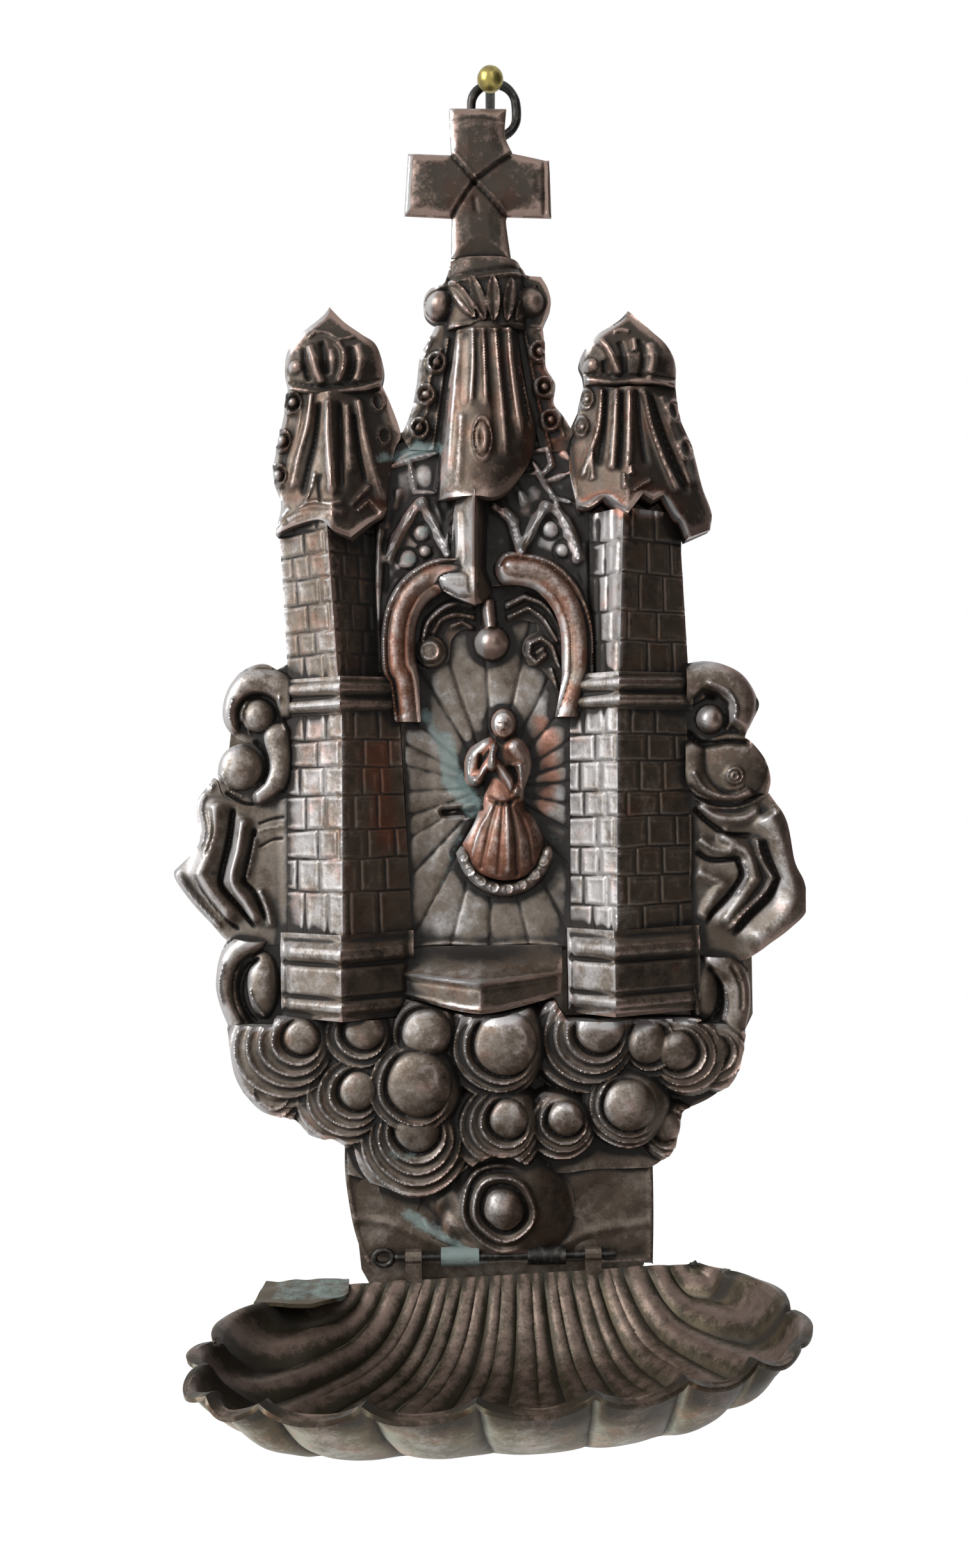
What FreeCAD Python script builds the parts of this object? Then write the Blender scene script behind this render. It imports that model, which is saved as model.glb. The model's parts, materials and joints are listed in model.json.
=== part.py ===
"""Wall-hung holy water stoup of embossed sheet copper, with a hinged scallop basin.

Millimetres.  X runs to the right, the front faces -Y, +Z is up.  The origin lies on the back
plane, at the height of the basin's hinge pin.  Depths are measured forwards from the wall, so
a depth of 16 is at y = -16.
"""
import FreeCAD, Part
import math
import os

V = FreeCAD.Vector
os.makedirs("parts", exist_ok=True)

# ------------------------------------------------------------------ driving dimensions
PLATE_T = 1.2            # back plate
SHEET_T = 1.0            # embossed sheet of the hollow pieces
FIT_GAP = 0.3            # free gap between pieces that move past each other
RUN_FIT = 0.05           # radial running fit of the hinge pin

# towers, from the wall's centreline
TOWER_OUTER_X = 49.6
TOWER_INNER_X = 20.8
LEFT_ARRIS, RIGHT_ARRIS = 35.4, 31.2
ARRIS_X = {-1: LEFT_ARRIS, 1: RIGHT_ARRIS}
TOWER_DEPTH = 16.0
TOWER_EDGE_DEPTH = 4.0
UPPER_INNER_X = 26.3
UPPER_SPLAY = 1.2
BASE_Z0, BASE_Z1 = 60.4, 81.0
RING_Z0, RING_Z1 = 134.6, 143.4
HEM_Z = 181.0
BASE_OUT = 3.0
BASE_ROLLS = 3
RING_OUT = 2.6
RING_ROLLS = 2
ROLL_GROOVE = 1.0
ROLL_FLAT = (0.25, 0.75)     # between which shares of its height a roll is at its widest
WALL_SLANT = 1.3             # thickness of a slanting wall, measured forwards, in sheets

# roofs and their caps
NECK_Z = 217.0
ROOF_TOP_OUTER_X, ROOF_TOP_INNER_X = 46.6, 26.4
ROOF_MID_Z = 200.0
ROOF_MID_OUTER_X, ROOF_MID_INNER_X = 50.6, 21.8
ROOF_HEM_OUTER_X, ROOF_HEM_INNER_X = 53.4, 22.2
ROOF_TOP_DEPTH, ROOF_MID_DEPTH, ROOF_HEM_DEPTH = 10.5, 13.0, 20.0
ROOF_RIDGES = 4
ROOF_FLUTE = 1.0
HEM_DROP = 4.6
HEM_DAGS = 4
APEX_Z = 234.6
APEX_X = 37.0
CAP_WIDE_SHARE = 0.42
CAP_WIDE_Z = NECK_Z + CAP_WIDE_SHARE * (APEX_Z - NECK_Z)
CAP_OUTER_X, CAP_INNER_X = 47.8, 24.9
CAP_DEPTH = 12.0
CAP_BALL_R = 2.3
CAP_PETAL = 1.6
CAP_PETALS = 2

# centre spire, cap and cross
SPIRE_X = 1.8
SPIRE_TOP_Z, SPIRE_MID_Z, SPIRE_LOW_Z = 229.0, 206.0, 188.0
SPIRE_TOP_HALF, SPIRE_MID_HALF, SPIRE_LOW_HALF = 7.8, 11.8, 13.6
SPIRE_TOP_DEPTH, SPIRE_LOW_DEPTH = 11.5, 14.5
SPIRE_FLUTES = 7
SPIRE_FLUTE = 1.1
SPIRE_STATIONS = ((SPIRE_LOW_HALF, SPIRE_LOW_DEPTH, SPIRE_LOW_Z),
                  (SPIRE_MID_HALF, (SPIRE_TOP_DEPTH + SPIRE_LOW_DEPTH) / 2, SPIRE_MID_Z),
                  (SPIRE_TOP_HALF, SPIRE_TOP_DEPTH, SPIRE_TOP_Z))
SPIRE_EDGE = 0.2             # lowest share of its depth that a half-oval section keeps
SPIRE_CROWN = 1.6            # wall in front of the spire's room, in walls
STRIP_DEPTH = 6.0
STRIP_OUT = 6.0
CROCKET_R = 2.3
# radius and height above the strip along a crocket, from its edge to its middle
CROCKET_PROFILE = ((CROCKET_R, -0.5), (2.2, 0.5), (1.8, 1.2), (1.2, 0.4), (0.9, 0.5), (0.4, 1.1))
CROCKETS = 3
BOSS_HALF_X, BOSS_HALF_Z = 2.4, 4.6
COLLAR_Z0, COLLAR_Z1 = 239.8, 246.6
COLLAR_BOTTOM_HALF, COLLAR_TOP_HALF = 9.6, 7.6
SPIRE_PETAL = 2.0
SPIRE_PETALS = 4
SPIRE_BALL_R = 4.0
SPIRE_BALL_X = 11.0
SPIRE_BALL_Z = 235.4
SPIRE_CAP_DEPTH = 13.5

CROSS_X = 0.5
CROSS_TOP_Z = 282.7
CROSS_ARM_Z = 263.6
CROSS_ARM_HEIGHT = 14.2
CROSS_UPRIGHT = 14.0
CROSS_SPAN = 35.6
CROSS_BACK, CROSS_FRONT = 6.4, 8.9
CROSS_PILLOW = 0.9

# hanging ring, its eye and the nail
RING_X = 4.4
RING_WIRE_R = 1.15
RING_BEND_R = 5.7
RING_STRAIGHT = 1.9
RING_PLANE = 3.9
RING_HINGE_Z = 277.0
EYE_LENGTH = 2.4
EYE_PLAY = 0.45          # free gap round the bent wire in its eye
EYE_WALL = 0.55
STRAP_WIDTH, STRAP_HEIGHT = 5.0, 12.0
NAIL_HEAD_R = 3.3
NAIL_R = 1.2
NAIL_PLAY = 0.5          # free gap between the nail and the ring above it
NAIL_SLOPE = 14.0
NAIL_HEAD_DEPTH = 10.0
NAIL_IN_WALL = 14.0

# niche
ARCH_OUTER_HALF, ARCH_BAND = 24.6, 5.0
ARCH_TOP_Z, ARCH_SPRING_Z = 171.6, 152.0
ARCH_DEPTH = 10.5
ARCH_X = 0.4
ARCH_SHOULDER = 0.74         # share of the width and of the height that the middle of each side passes
LAMB_TOP_Z = 198.0
LAMB_DEPTH = 5.0
LAMB_BAND, LAMB_BAND_RISE = 2.4, 2.6
LAMB_PEAK_X, LAMB_PEAK_Z = 15.0, 187.0
LAMB_VALLEY_X, LAMB_VALLEY_Z = 9.4, 173.6
KEEL_X = -2.2
KEEL_HALF = 5.6
KEEL_DEPTH = 14.5
KEEL_FOOT_Z = 161.5
KEEL_TAPER = 0.7
PENDANT_R = 4.2
PENDANT_DROP = 9.7
PENDANT_Z = KEEL_FOOT_Z - PENDANT_DROP
LEAF_R, LEAF_WIRE_R = 3.6, 1.3
LEAF_X, LEAF_Z = 13.4, 150.6
LEAF_TURNS = (135, 90, 45, 0, -45, -90)
LEAF_REACH, LEAF_WIND = 2.0, 0.3
PANEL_DEPTH = 3.4
PANEL_BOTTOM_Z = 76.6
GLORY_X, GLORY_Z = 1.3, 116.0
GLORY_R = 4.0
RAYS = 11
RAY_RISE = 0.6
TAB_LENGTH, TAB_THICK = 7.6, 1.6
TAB_X, TAB_Z = -6.9, 110.1
LEDGE_SIDE_DEPTH, LEDGE_DEPTH = 8.0, 17.0
LEDGE_LIP_Z, LEDGE_SIDE_FOOT_Z, LEDGE_FOOT_Z = 70.2, 65.2, 62.2
LEDGE_ARRIS_X = -2.7
LEDGE_SILL = 4.8

# figure
FIGURE_X = 3.8
FIGURE_FOOT_Z, FIGURE_WAIST_Z, FIGURE_SHOULDER_Z, FIGURE_HEAD_Z = 97.0, 112.6, 125.0, 131.2
SKIRT_HALF, WAIST_HALF, SHOULDER_HALF = 9.6, 4.6, 6.4
FIGURE_DEPTH = 5.6
HEAD_R = 3.2
SLEEVE_R = 3.0
HANDS_R = 1.7
HEAD_LONG = 1.2              # height of the head over its width
HEM_SHARE, NECK_SHARE = 0.9, 0.7
WAIST_THICK, SHOULDER_THICK, NECK_THICK = 4.5, 5.0, 2.8
CRESCENT_HALF, CRESCENT_DROP, CRESCENT_T = 10.2, 7.4, 4.2
CRESCENT_DEPTH = 7.6

# scrolls and flames
SCROLL_DEPTH = 4.6
VOLUTE_X, VOLUTE_Z, VOLUTE_R = 57.0, 135.4, 7.6
VOLUTE_START, VOLUTE_STEP, VOLUTE_STEPS = 110, 45, 10
VOLUTE_WIRE_R = 1.4
EYE_BOSS_R = 3.9
BULB_X, BULB_Z, BULB_R = 61.2, 121.6, 5.2
SCROLL_TOP_Z, SCROLL_FOOT_Z = 146.4, 113.6
FLAME_DEPTH = 4.4
FLAME_RIDGE_R = 1.5
FLAME_RIDGES = (0.3, 0.62)    # shares of the width at which the ridges start
FLAME_TIP_X, FLAME_TIP_Z = 78.2, 94.0
FLAME_TOP_X, FLAME_TOP_Z = 68.6, 118.4

# clouds
SIDE_CLOUD_X, SIDE_CLOUD_DEPTH = 66.4, 7.0
BANK_DEPTH = 4.6
SEAM_Z = 58.6
BOSS_X, BOSS_Z = 2.1, 12.3
# radius and depth along the boss, from its edge to its middle
BOSS_PROFILE = ((15.5, 2.7), (11.6, 5.3), (10.1, 4.4), (8.6, 6.7), (6.6, 5.0), (5.4, 6.4),
                (4.0, 9.0), (2.0, 10.1))
BANK_LOW = 2.6
PUFF_SHOULDER, PUFF_SWELL = 0.6, 0.72
PUFF_BALL = 1.2
# outline of the bank, from its left upper corner down and round to the right one
BANK_RIM = ((-64.4, 58.6), (-64.4, 54.0), (-61.0, 45.4), (-54.6, 38.4), (-46.0, 35.2),
            (-41.6, 30.6), (-36.0, 26.6), (-34.8, 21.4), (-24.6, 18.6), (-12.6, 17.6),
            (-2.0, 24.4), (8.0, 26.2), (22.0, 21.4), (40.0, 22.0), (45.6, 30.6), (47.2, 37.4),
            (54.4, 38.8), (60.0, 43.8), (61.6, 49.8), (63.6, 58.6), (49.0, 60.4), (18.0, 60.4),
            (-19.0, 60.4), (-49.0, 60.4))
# each puff: x and z of its core, radius of the core and of the whole, sideways wander of the
# circles for each millimetre of radius (x, z), and the depth of its edge and of its top
PUFFS = ((-45.4, 56.7, 2.4, 15.5, -0.50, -0.34, 3.4, 11.0),
         (-58.9, 56.3, 1.6, 7.0, -0.30, -0.50, 3.2, 6.4),
         (-53.2, 43.7, 1.8, 8.6, -0.30, -0.45, 3.2, 7.4),
         (-30.2, 58.3, 2.6, 10.4, -0.42, -0.42, 4.6, 12.2),
         (-31.8, 43.2, 2.6, 13.0, -0.50, -0.22, 3.4, 10.6),
         (-39.1, 35.5, 1.8, 6.4, -0.30, -0.40, 3.0, 7.6),
         (-15.7, 56.2, 5.2, 9.8, -0.36, 0.30, 4.6, 12.6),
         (-18.6, 34.1, 3.0, 15.0, -0.10, -0.52, 2.8, 10.6),
         (-17.4, 44.9, 6.6, 12.8, -0.42, -0.30, 6.0, 13.8),
         (4.5, 36.0, 2.6, 12.6, -0.42, -0.36, 4.0, 11.0),
         (4.8, 54.7, 4.2, 13.2, -0.48, -0.20, 6.0, 13.8),
         (36.8, 53.7, 2.8, 9.0, 0.40, -0.20, 5.0, 12.0),
         (27.4, 58.2, 3.2, 14.0, -0.44, -0.40, 4.6, 13.0),
         (44.1, 51.6, 2.6, 10.6, 0.46, -0.24, 4.0, 11.4),
         (53.7, 51.1, 2.0, 9.0, 0.34, -0.34, 3.0, 8.4),
         (42.1, 32.5, 2.0, 7.5, 0.30, -0.40, 2.8, 7.0),
         (18.2, 35.8, 2.4, 9.2, -0.30, -0.44, 4.0, 10.8),
         (33.3, 38.2, 3.4, 11.2, -0.10, -0.06, 4.4, 12.4))

# basin and its hinge
PIN_R = 1.0
PIN_DEPTH = 3.6
PIN_X0, PIN_X1 = -26.6, 30.0
PIN_EYE_R, PIN_EYE_WIRE = 1.9, 0.8
HINGE_X = 1.8
PLATE_KNUCKLE_IN, PLATE_KNUCKLE_LENGTH = 6.6, 8.8
LUG_AT, LUG_WIDTH = 22.2, 4.0
KNUCKLE_R = 2.4
LUG_R = 2.1
LUG_DROP = 10.0
BASIN_REAR = 4.2
BASIN_RIM_Z = -4.6
BASIN_DEEP = 23.4
BASIN_T = 1.2
BASIN_ROLL = 2.5
# notches of the rim (x, depth), from the left rear corner round the front to the right one
BASIN_NOTCHES = ((-37.0, 4.6), (-53.5, 17.0), (-62.5, 37.0), (-63.6, 54.0), (-59.4, 69.0),
                 (-47.6, 79.0), (-27.3, 86.0), (-4.5, 89.6), (17.3, 88.0), (36.8, 80.2),
                 (52.8, 70.0), (64.0, 56.5), (64.2, 39.5), (56.0, 17.0), (48.0, 4.6))
# how far each lobe swells out between its notches
BASIN_BULGE = (3.6, 3.4, 3.2, 3.2, 3.2, 2.6, 2.4, 2.2, 2.2, 2.6, 3.0, 3.4, 3.2, 2.4)
BASIN_PUSH = 30.0            # how far the ribs run straight forwards from the rear rim
BASIN_SPREAD = 0.1           # share of their sideways way that they go meanwhile
BASIN_FALL = 0.01            # fall of the rim towards the front, per millimetre
BASIN_SIDE_LOBES = 3.6       # lobes at each end over which the bowl reaches its full depth
BASIN_SIDE_POWER = 0.7
BASIN_CREST = 0.93           # share of the way at which the front wall is highest
BASIN_DIP = 2.6              # how far each lobe's lip hangs below that
BASIN_RIB = 2.4
BASIN_RIB_REAR = 0.25        # share of a rib's height that it has at the rear rim
BASIN_RIB_FULL = 0.55        # share of the way at which it has all of it
BASIN_RIB_FADE = (0.62, 0.88)    # between which shares of the way the front ribs die down
BASIN_RIB_SIDE = 0.8         # share that they keep at the sides
BASIN_SIDES = (2.6, 4.6)     # lobes from the middle between which the front turns into a side
BASIN_RIB_LEVEL = 0.45       # share of a rib's height that lies below the plain sheet
BASIN_WIDE_REACH = 40.0      # length from which on a rib has its full height
BASIN_END = 0.15             # where the first and last column of facets lie, in lobes
BASIN_ROWS = (0.0, 0.06, 0.14, 0.26, 0.42, 0.58, 0.74, 0.86, 0.93, 1.0)

# outline of the back plate below the towers and beside them, right half measured outwards
NECK_HALF_TOP, NECK_HALF_FOOT = 38.0, 35.2
NECK_X = 1.6
NECK_TOP_Z, NECK_FOOT_Z = 27.0, -3.4
APRON_HALF, APRON_Z = 24.0, -24.0
PLATE_INSET = 1.4
LEFT_PUFF_X, LEFT_PUFF_Z = 46.0, 32.6
RIGHT_PUFF_X, RIGHT_PUFF_Z = 43.0, 29.6
PUFF_EDGE = {-1: (LEFT_PUFF_X, LEFT_PUFF_Z), 1: (RIGHT_PUFF_X, RIGHT_PUFF_Z)}

# facets of round forms
BALL_SIDES = 12
BALL_LEVELS = 7
DOME_LEVELS = 4
TURN_START = 0.3         # where a round form's first corner lies, in sides
BAR_SIDES = 5            # to the round front of a ridge
BAR_STEPS = 2            # between two points of a ridge
OUTLINE_STEPS = 3        # between two points of a curved outline
ARC_STEPS = 6
PLANE_SLACK = 1e-6
POLE = 75.0              # degrees from the middle to the flat at a pole
WIRE_SIDES = 8
RING_STEPS = 8           # to a half circle


# ------------------------------------------------------------------ helpers
def depth_point(x, depth, z):
    return V(x, -depth, z)


def face_of(points):
    return Part.Face(Part.makePolygon(list(points) + [points[0]]))


def front_prism(points, back, front):
    """Flat outline in X and Z, given depth from back to front."""
    outline = face_of([depth_point(x, back, z) for x, z in points])
    return outline.extrude(V(0, back - front, 0))


def arc(start, middle, end):
    """Points along the arc through three (x, z) points."""
    edge = Part.Arc(*[depth_point(x, 0, z) for x, z in (start, middle, end)]).toShape()
    return [(spot.x, spot.z) for spot in edge.discretize(ARC_STEPS + 1)]


def curve(points, steps):
    """Points along the smooth curve through the given (x, z) points."""
    spline = Part.BSplineCurve()
    spline.interpolate([depth_point(x, 0, z) for x, z in points])
    spots = spline.toShape().discretize(steps * (len(points) - 1) + 1)
    return [(spot.x, spot.z) for spot in spots]


def ruled_solid(levels):
    """Solid through outlines of (x, depth) points, each at its own height."""
    return stacked([[depth_point(x, depth, z) for x, depth in points] for points, z in levels])


def box(x0, x1, back, front, z0, z1):
    return Part.makeBox(x1 - x0, front - back, z1 - z0, V(x0, -front, z0))


def in_front_of(shape, depth):
    """What lies further from the wall than depth."""
    reach = shape.BoundBox.DiagonalLength + abs(depth)
    centre = shape.BoundBox.Center
    return shape.common(Part.makeBox(2 * reach, reach, 2 * reach,
                                     V(centre.x - reach, -depth - reach, centre.z - reach)))


def flat_ring(x, depth, z, radius, sides=BALL_SIDES):
    """Corners of a regular polygon that faces the viewer."""
    turns = [math.tau * (index + TURN_START) / sides for index in range(sides)]
    return [depth_point(x + radius * math.cos(turn), depth, z + radius * math.sin(turn))
            for turn in turns]


def stacked(loops):
    """Solid of flat facets between loops of like corners, closed by its first and last loop."""
    count = len(loops[0])
    faces = [face_of(loops[0]), face_of(loops[-1])]
    for low, high in zip(loops, loops[1:]):
        for index in range(count):
            other = (index + 1) % count
            faces += facets(low[index], low[other], high[other], high[index])
    return closed_solid(faces)


def facets(a, b, c, d):
    """A four-cornered face where its corners lie in one plane, or else two three-cornered."""
    normal = (b - a).cross(c - a)
    if abs(normal.dot(d - a)) < PLANE_SLACK * normal.Length:
        return [face_of([a, b, c, d])]
    return [face_of([a, b, c]), face_of([a, c, d])]


def closed_solid(faces):
    solid = Part.Solid(Part.Shell(faces))
    if solid.Volume < 0:
        solid.reverse()
    return solid


def turned(x, z, profile, sides=BALL_SIDES):
    """Form turned about an axis through the wall, from (radius, depth) pairs, back to front."""
    return stacked([flat_ring(x, depth, z, radius, sides) for radius, depth in profile])


def rod(start, along, profile):
    """Straight round rod from (distance, radius) pairs along its axis, in flat facets."""
    sideways = V(1, 0, 0) if abs(along.x) < abs(along.y) + abs(along.z) else V(0, 1, 0)
    other = along.cross(sideways)
    turns = [math.tau * (index + TURN_START) / BALL_SIDES for index in range(BALL_SIDES)]
    return stacked([[start + along * reach + sideways * (radius * math.cos(turn))
                     + other * (radius * math.sin(turn)) for turn in turns]
                    for reach, radius in profile])


def cross_rod(x0, x1, depth, z, radius):
    """Rod along X."""
    return rod(depth_point(x0, depth, z), V(1, 0, 0), ((0, radius), (x1 - x0, radius)))


def ball(x, depth, z, radius):
    profile = []
    for step in range(BALL_LEVELS):
        lift = math.radians(-POLE + 2 * POLE * step / (BALL_LEVELS - 1))
        profile.append((radius * math.cos(lift), depth + radius * math.sin(lift)))
    return turned(x, z, profile)


def dome(x, z, radius, back, rise):
    """Cap of a sphere, of the given radius at its foot, that stands on depth back."""
    profile = []
    for step in range(DOME_LEVELS):
        lift = math.radians(POLE * step / (DOME_LEVELS - 1))
        profile.append((radius * math.cos(lift), back + rise * math.sin(lift)))
    return turned(x, z, profile)


def oval(x, depth, z, radius, half_z):
    """Egg-like solid, round seen from above."""
    levels = []
    for step in range(BALL_LEVELS):
        lift = math.radians(-POLE + 2 * POLE * step / (BALL_LEVELS - 1))
        levels.append((oval_level(x, depth, radius * math.cos(lift), radius * math.cos(lift)),
                       z + half_z * math.sin(lift)))
    return ruled_solid(levels)


def oval_level(x, depth, half_x, half_depth):
    """Corners (x, depth) of a flat oval."""
    turns = [math.tau * index / BALL_SIDES for index in range(BALL_SIDES)]
    return [(x + half_x * math.cos(turn), depth + half_depth * math.sin(turn))
            for turn in turns]


def wire_loop(path, depth, radius):
    """Closed wire along the (x, z) points of a flat loop, mitred at every point."""
    count = len(path)
    spots = [depth_point(x, depth, z) for x, z in path]
    rings = []
    for index in range(count):
        here, after = spots[index], spots[(index + 1) % count]
        step_in, step_out = here - spots[index - 1], after - here
        along = step_in.normalize() + step_out.normalize()
        widen = 2 / along.Length
        sideways = V(0, 1, 0).cross(along.normalize())
        rings.append([here + sideways * (widen * radius * math.cos(turn))
                      + V(0, radius * math.sin(turn), 0)
                      for turn in [math.tau * side / WIRE_SIDES for side in range(WIRE_SIDES)]])
    faces = []
    for index in range(count):
        here, there = rings[index], rings[(index + 1) % count]
        for side in range(WIRE_SIDES):
            other = (side + 1) % WIRE_SIDES
            faces += facets(here[side], here[other], there[other], there[side])
    return closed_solid(faces)


def joined(shapes):
    first, rest = shapes[0], shapes[1:]
    return first.multiFuse(rest).removeSplitter() if rest else first


def half_round_bar(points, back, radius):
    """Ridge along a curve in the plane of depth back, rounded in front and flat behind."""
    spots = [depth_point(x, back, z) for x, z in curve(points, BAR_STEPS)]
    last = len(spots) - 1
    loops = []
    for index, spot in enumerate(spots):
        along = spots[min(index + 1, last)] - spots[max(index - 1, 0)]
        along.normalize()
        across = V(0, -1, 0).cross(along)
        loops.append([spot + across * (radius * math.cos(turn))
                      + V(0, -radius * math.sin(turn), 0)
                      for turn in [math.pi * side / BAR_SIDES for side in range(BAR_SIDES + 1)]])
    return stacked(loops)


def mirrored(side, points):
    return [(side * x, z) for x, z in points]


def keep(name, shape):
    """Writes one node, and says what it holds."""
    shape = shape if shape.ShapeType == "Compound" else Part.makeCompound(shape.Solids)
    solids = shape.Solids
    assert solids, name
    for solid in solids:
        assert solid.isValid(), name
    out = solids[0] if len(solids) == 1 else Part.makeCompound(solids)
    out.exportStep("parts/" + name + ".step")
    limits = out.optimalBoundingBox()
    print("%-22s %2d solids %9.1f mm3  x %6.1f..%6.1f  depth %5.1f..%5.1f  z %6.1f..%6.1f"
          % (name, len(solids), out.Volume, limits.XMin, limits.XMax, -limits.YMax,
             -limits.YMin, limits.ZMin, limits.ZMax))
    return out


SIDES = {"left": -1, "right": 1}
FACE = PLATE_T           # depth of the back plate's front


# ------------------------------------------------------------------ back plate
def back_plate():
    """Sheet that lies on the wall and carries every embossed piece."""
    def side_points(side):
        def edge(x):
            return x - PLATE_INSET
        return [
            (APRON_HALF, APRON_Z), (NECK_HALF_FOOT, NECK_FOOT_Z),
            (NECK_HALF_TOP, NECK_TOP_Z), (PUFF_EDGE[side][0], PUFF_EDGE[side][1]),
            (edge(SIDE_CLOUD_X) - SCROLL_DEPTH, SEAM_Z - BANK_DEPTH - SCROLL_DEPTH),
            (edge(SIDE_CLOUD_X), SEAM_Z), (edge(SIDE_CLOUD_X), BASE_Z1 - BASE_OUT),
            (edge(FLAME_TIP_X) - BASE_OUT, FLAME_TIP_Z),
            (edge(FLAME_TOP_X), FLAME_TOP_Z - 2 * BASE_OUT),
            (edge(BULB_X + BULB_R), BULB_Z), (edge(VOLUTE_X + VOLUTE_R), VOLUTE_Z),
            (VOLUTE_X, SCROLL_TOP_Z - 2 * PLATE_INSET), (edge(TOWER_OUTER_X), RING_Z1),
            (edge(TOWER_OUTER_X) + UPPER_SPLAY, HEM_Z),
            (edge(ROOF_MID_OUTER_X), ROOF_MID_Z), (edge(ROOF_TOP_OUTER_X), NECK_Z),
            (edge(CAP_OUTER_X), CAP_WIDE_Z - PLATE_INSET), (APEX_X, APEX_Z - 2 * PLATE_INSET),
            (CAP_INNER_X + PLATE_INSET, CAP_WIDE_Z - PLATE_INSET),
            (ROOF_TOP_INNER_X + PLATE_INSET, NECK_Z), (ROOF_MID_INNER_X, SPIRE_MID_Z - PLATE_INSET),
        ]
    right = side_points(1)
    spire_right = [(SPIRE_X + SPIRE_MID_HALF + STRIP_OUT - PLATE_INSET, SPIRE_MID_Z),
                   (SPIRE_X + SPIRE_TOP_HALF + STRIP_OUT / 2 - PLATE_INSET, SPIRE_TOP_Z),
                   (SPIRE_X + COLLAR_TOP_HALF - PLATE_INSET, COLLAR_Z1 - PLATE_INSET)]
    spire_left = [(2 * SPIRE_X - x, z) for x, z in reversed(spire_right)]
    left = mirrored(-1, side_points(-1))
    shift = [(x + NECK_X if z <= NECK_TOP_Z else x, z) for x, z in right]
    shift_left = [(x + NECK_X if z <= NECK_TOP_Z else x, z) for x, z in left]
    return front_prism(shift + spire_right + spire_left + shift_left[::-1], 0, PLATE_T)


# ------------------------------------------------------------------ towers
def prow(side, outer, inner, arris, depth, edge_depth, back=FACE):
    """Two-faced section: a side return, two slanting faces that meet at the arris."""
    loop = [(outer, back), (outer, edge_depth), (arris, depth), (inner, edge_depth),
            (inner, back)]
    return [(side * x, d) for x, d in loop]


def folded(side, stations, wall=SHEET_T):
    """Hollow folded sheet through stations of (outer, inner, arris, depth, edge, z)."""
    skin = ruled_solid([(prow(side, o, i, a, d, e), z) for o, i, a, d, e, z in stations])
    room = ruled_solid([(prow(side, o - wall, i + wall, a, d - WALL_SLANT * wall, e - wall / 3,
                              FACE - wall), z) for o, i, a, d, e, z in stations])
    return skin.cut(room)


def tower_wall(side, upper):
    arris = ARRIS_X[side]
    if upper:
        return folded(side, [
            (TOWER_OUTER_X, UPPER_INNER_X, arris, TOWER_DEPTH, TOWER_EDGE_DEPTH, RING_Z1),
            (TOWER_OUTER_X + UPPER_SPLAY, UPPER_INNER_X + UPPER_SPLAY, arris + UPPER_SPLAY,
             TOWER_DEPTH, TOWER_EDGE_DEPTH, HEM_Z)])
    return folded(side, [
        (TOWER_OUTER_X, TOWER_INNER_X, arris, TOWER_DEPTH, TOWER_EDGE_DEPTH, BASE_Z1),
        (TOWER_OUTER_X, TOWER_INNER_X, arris, TOWER_DEPTH, TOWER_EDGE_DEPTH, RING_Z0)])


def moulded(side, z0, z1, rolls, out, inner):
    """Stack of rolls that runs round the tower: each swells out and draws in again."""
    stations = []
    pitch = (z1 - z0) / rolls
    for index in range(rolls):
        stations.append((out - ROLL_GROOVE, z0 + index * pitch))
        for share in ROLL_FLAT:
            stations.append((out, z0 + (index + share) * pitch))
    stations.append((out - ROLL_GROOVE, z1))
    return folded(side, [(TOWER_OUTER_X + swell - ROLL_GROOVE, inner - swell + ROLL_GROOVE,
                          ARRIS_X[side], TOWER_DEPTH + swell, TOWER_EDGE_DEPTH + swell, z)
                         for swell, z in stations])


# ------------------------------------------------------------------ roofs
def fluted_prow(side, outer, inner, arris, depth, edge_depth, flute, ridges=ROOF_RIDGES):
    """Prow section whose two faces carry raised ridges."""
    loop = [(outer, FACE), (outer, edge_depth)]
    for start, end in (((outer, edge_depth), (arris, depth)), ((arris, depth), (inner, edge_depth))):
        steps = 2 * ridges
        for step in range(1, steps):
            share = step / steps
            rise = flute if step % 2 else 0.0
            loop.append((start[0] + share * (end[0] - start[0]),
                         start[1] + share * (end[1] - start[1]) + rise))
        loop.append(end)
    loop.append((inner, FACE))
    return [(side * x, d) for x, d in loop]


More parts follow.
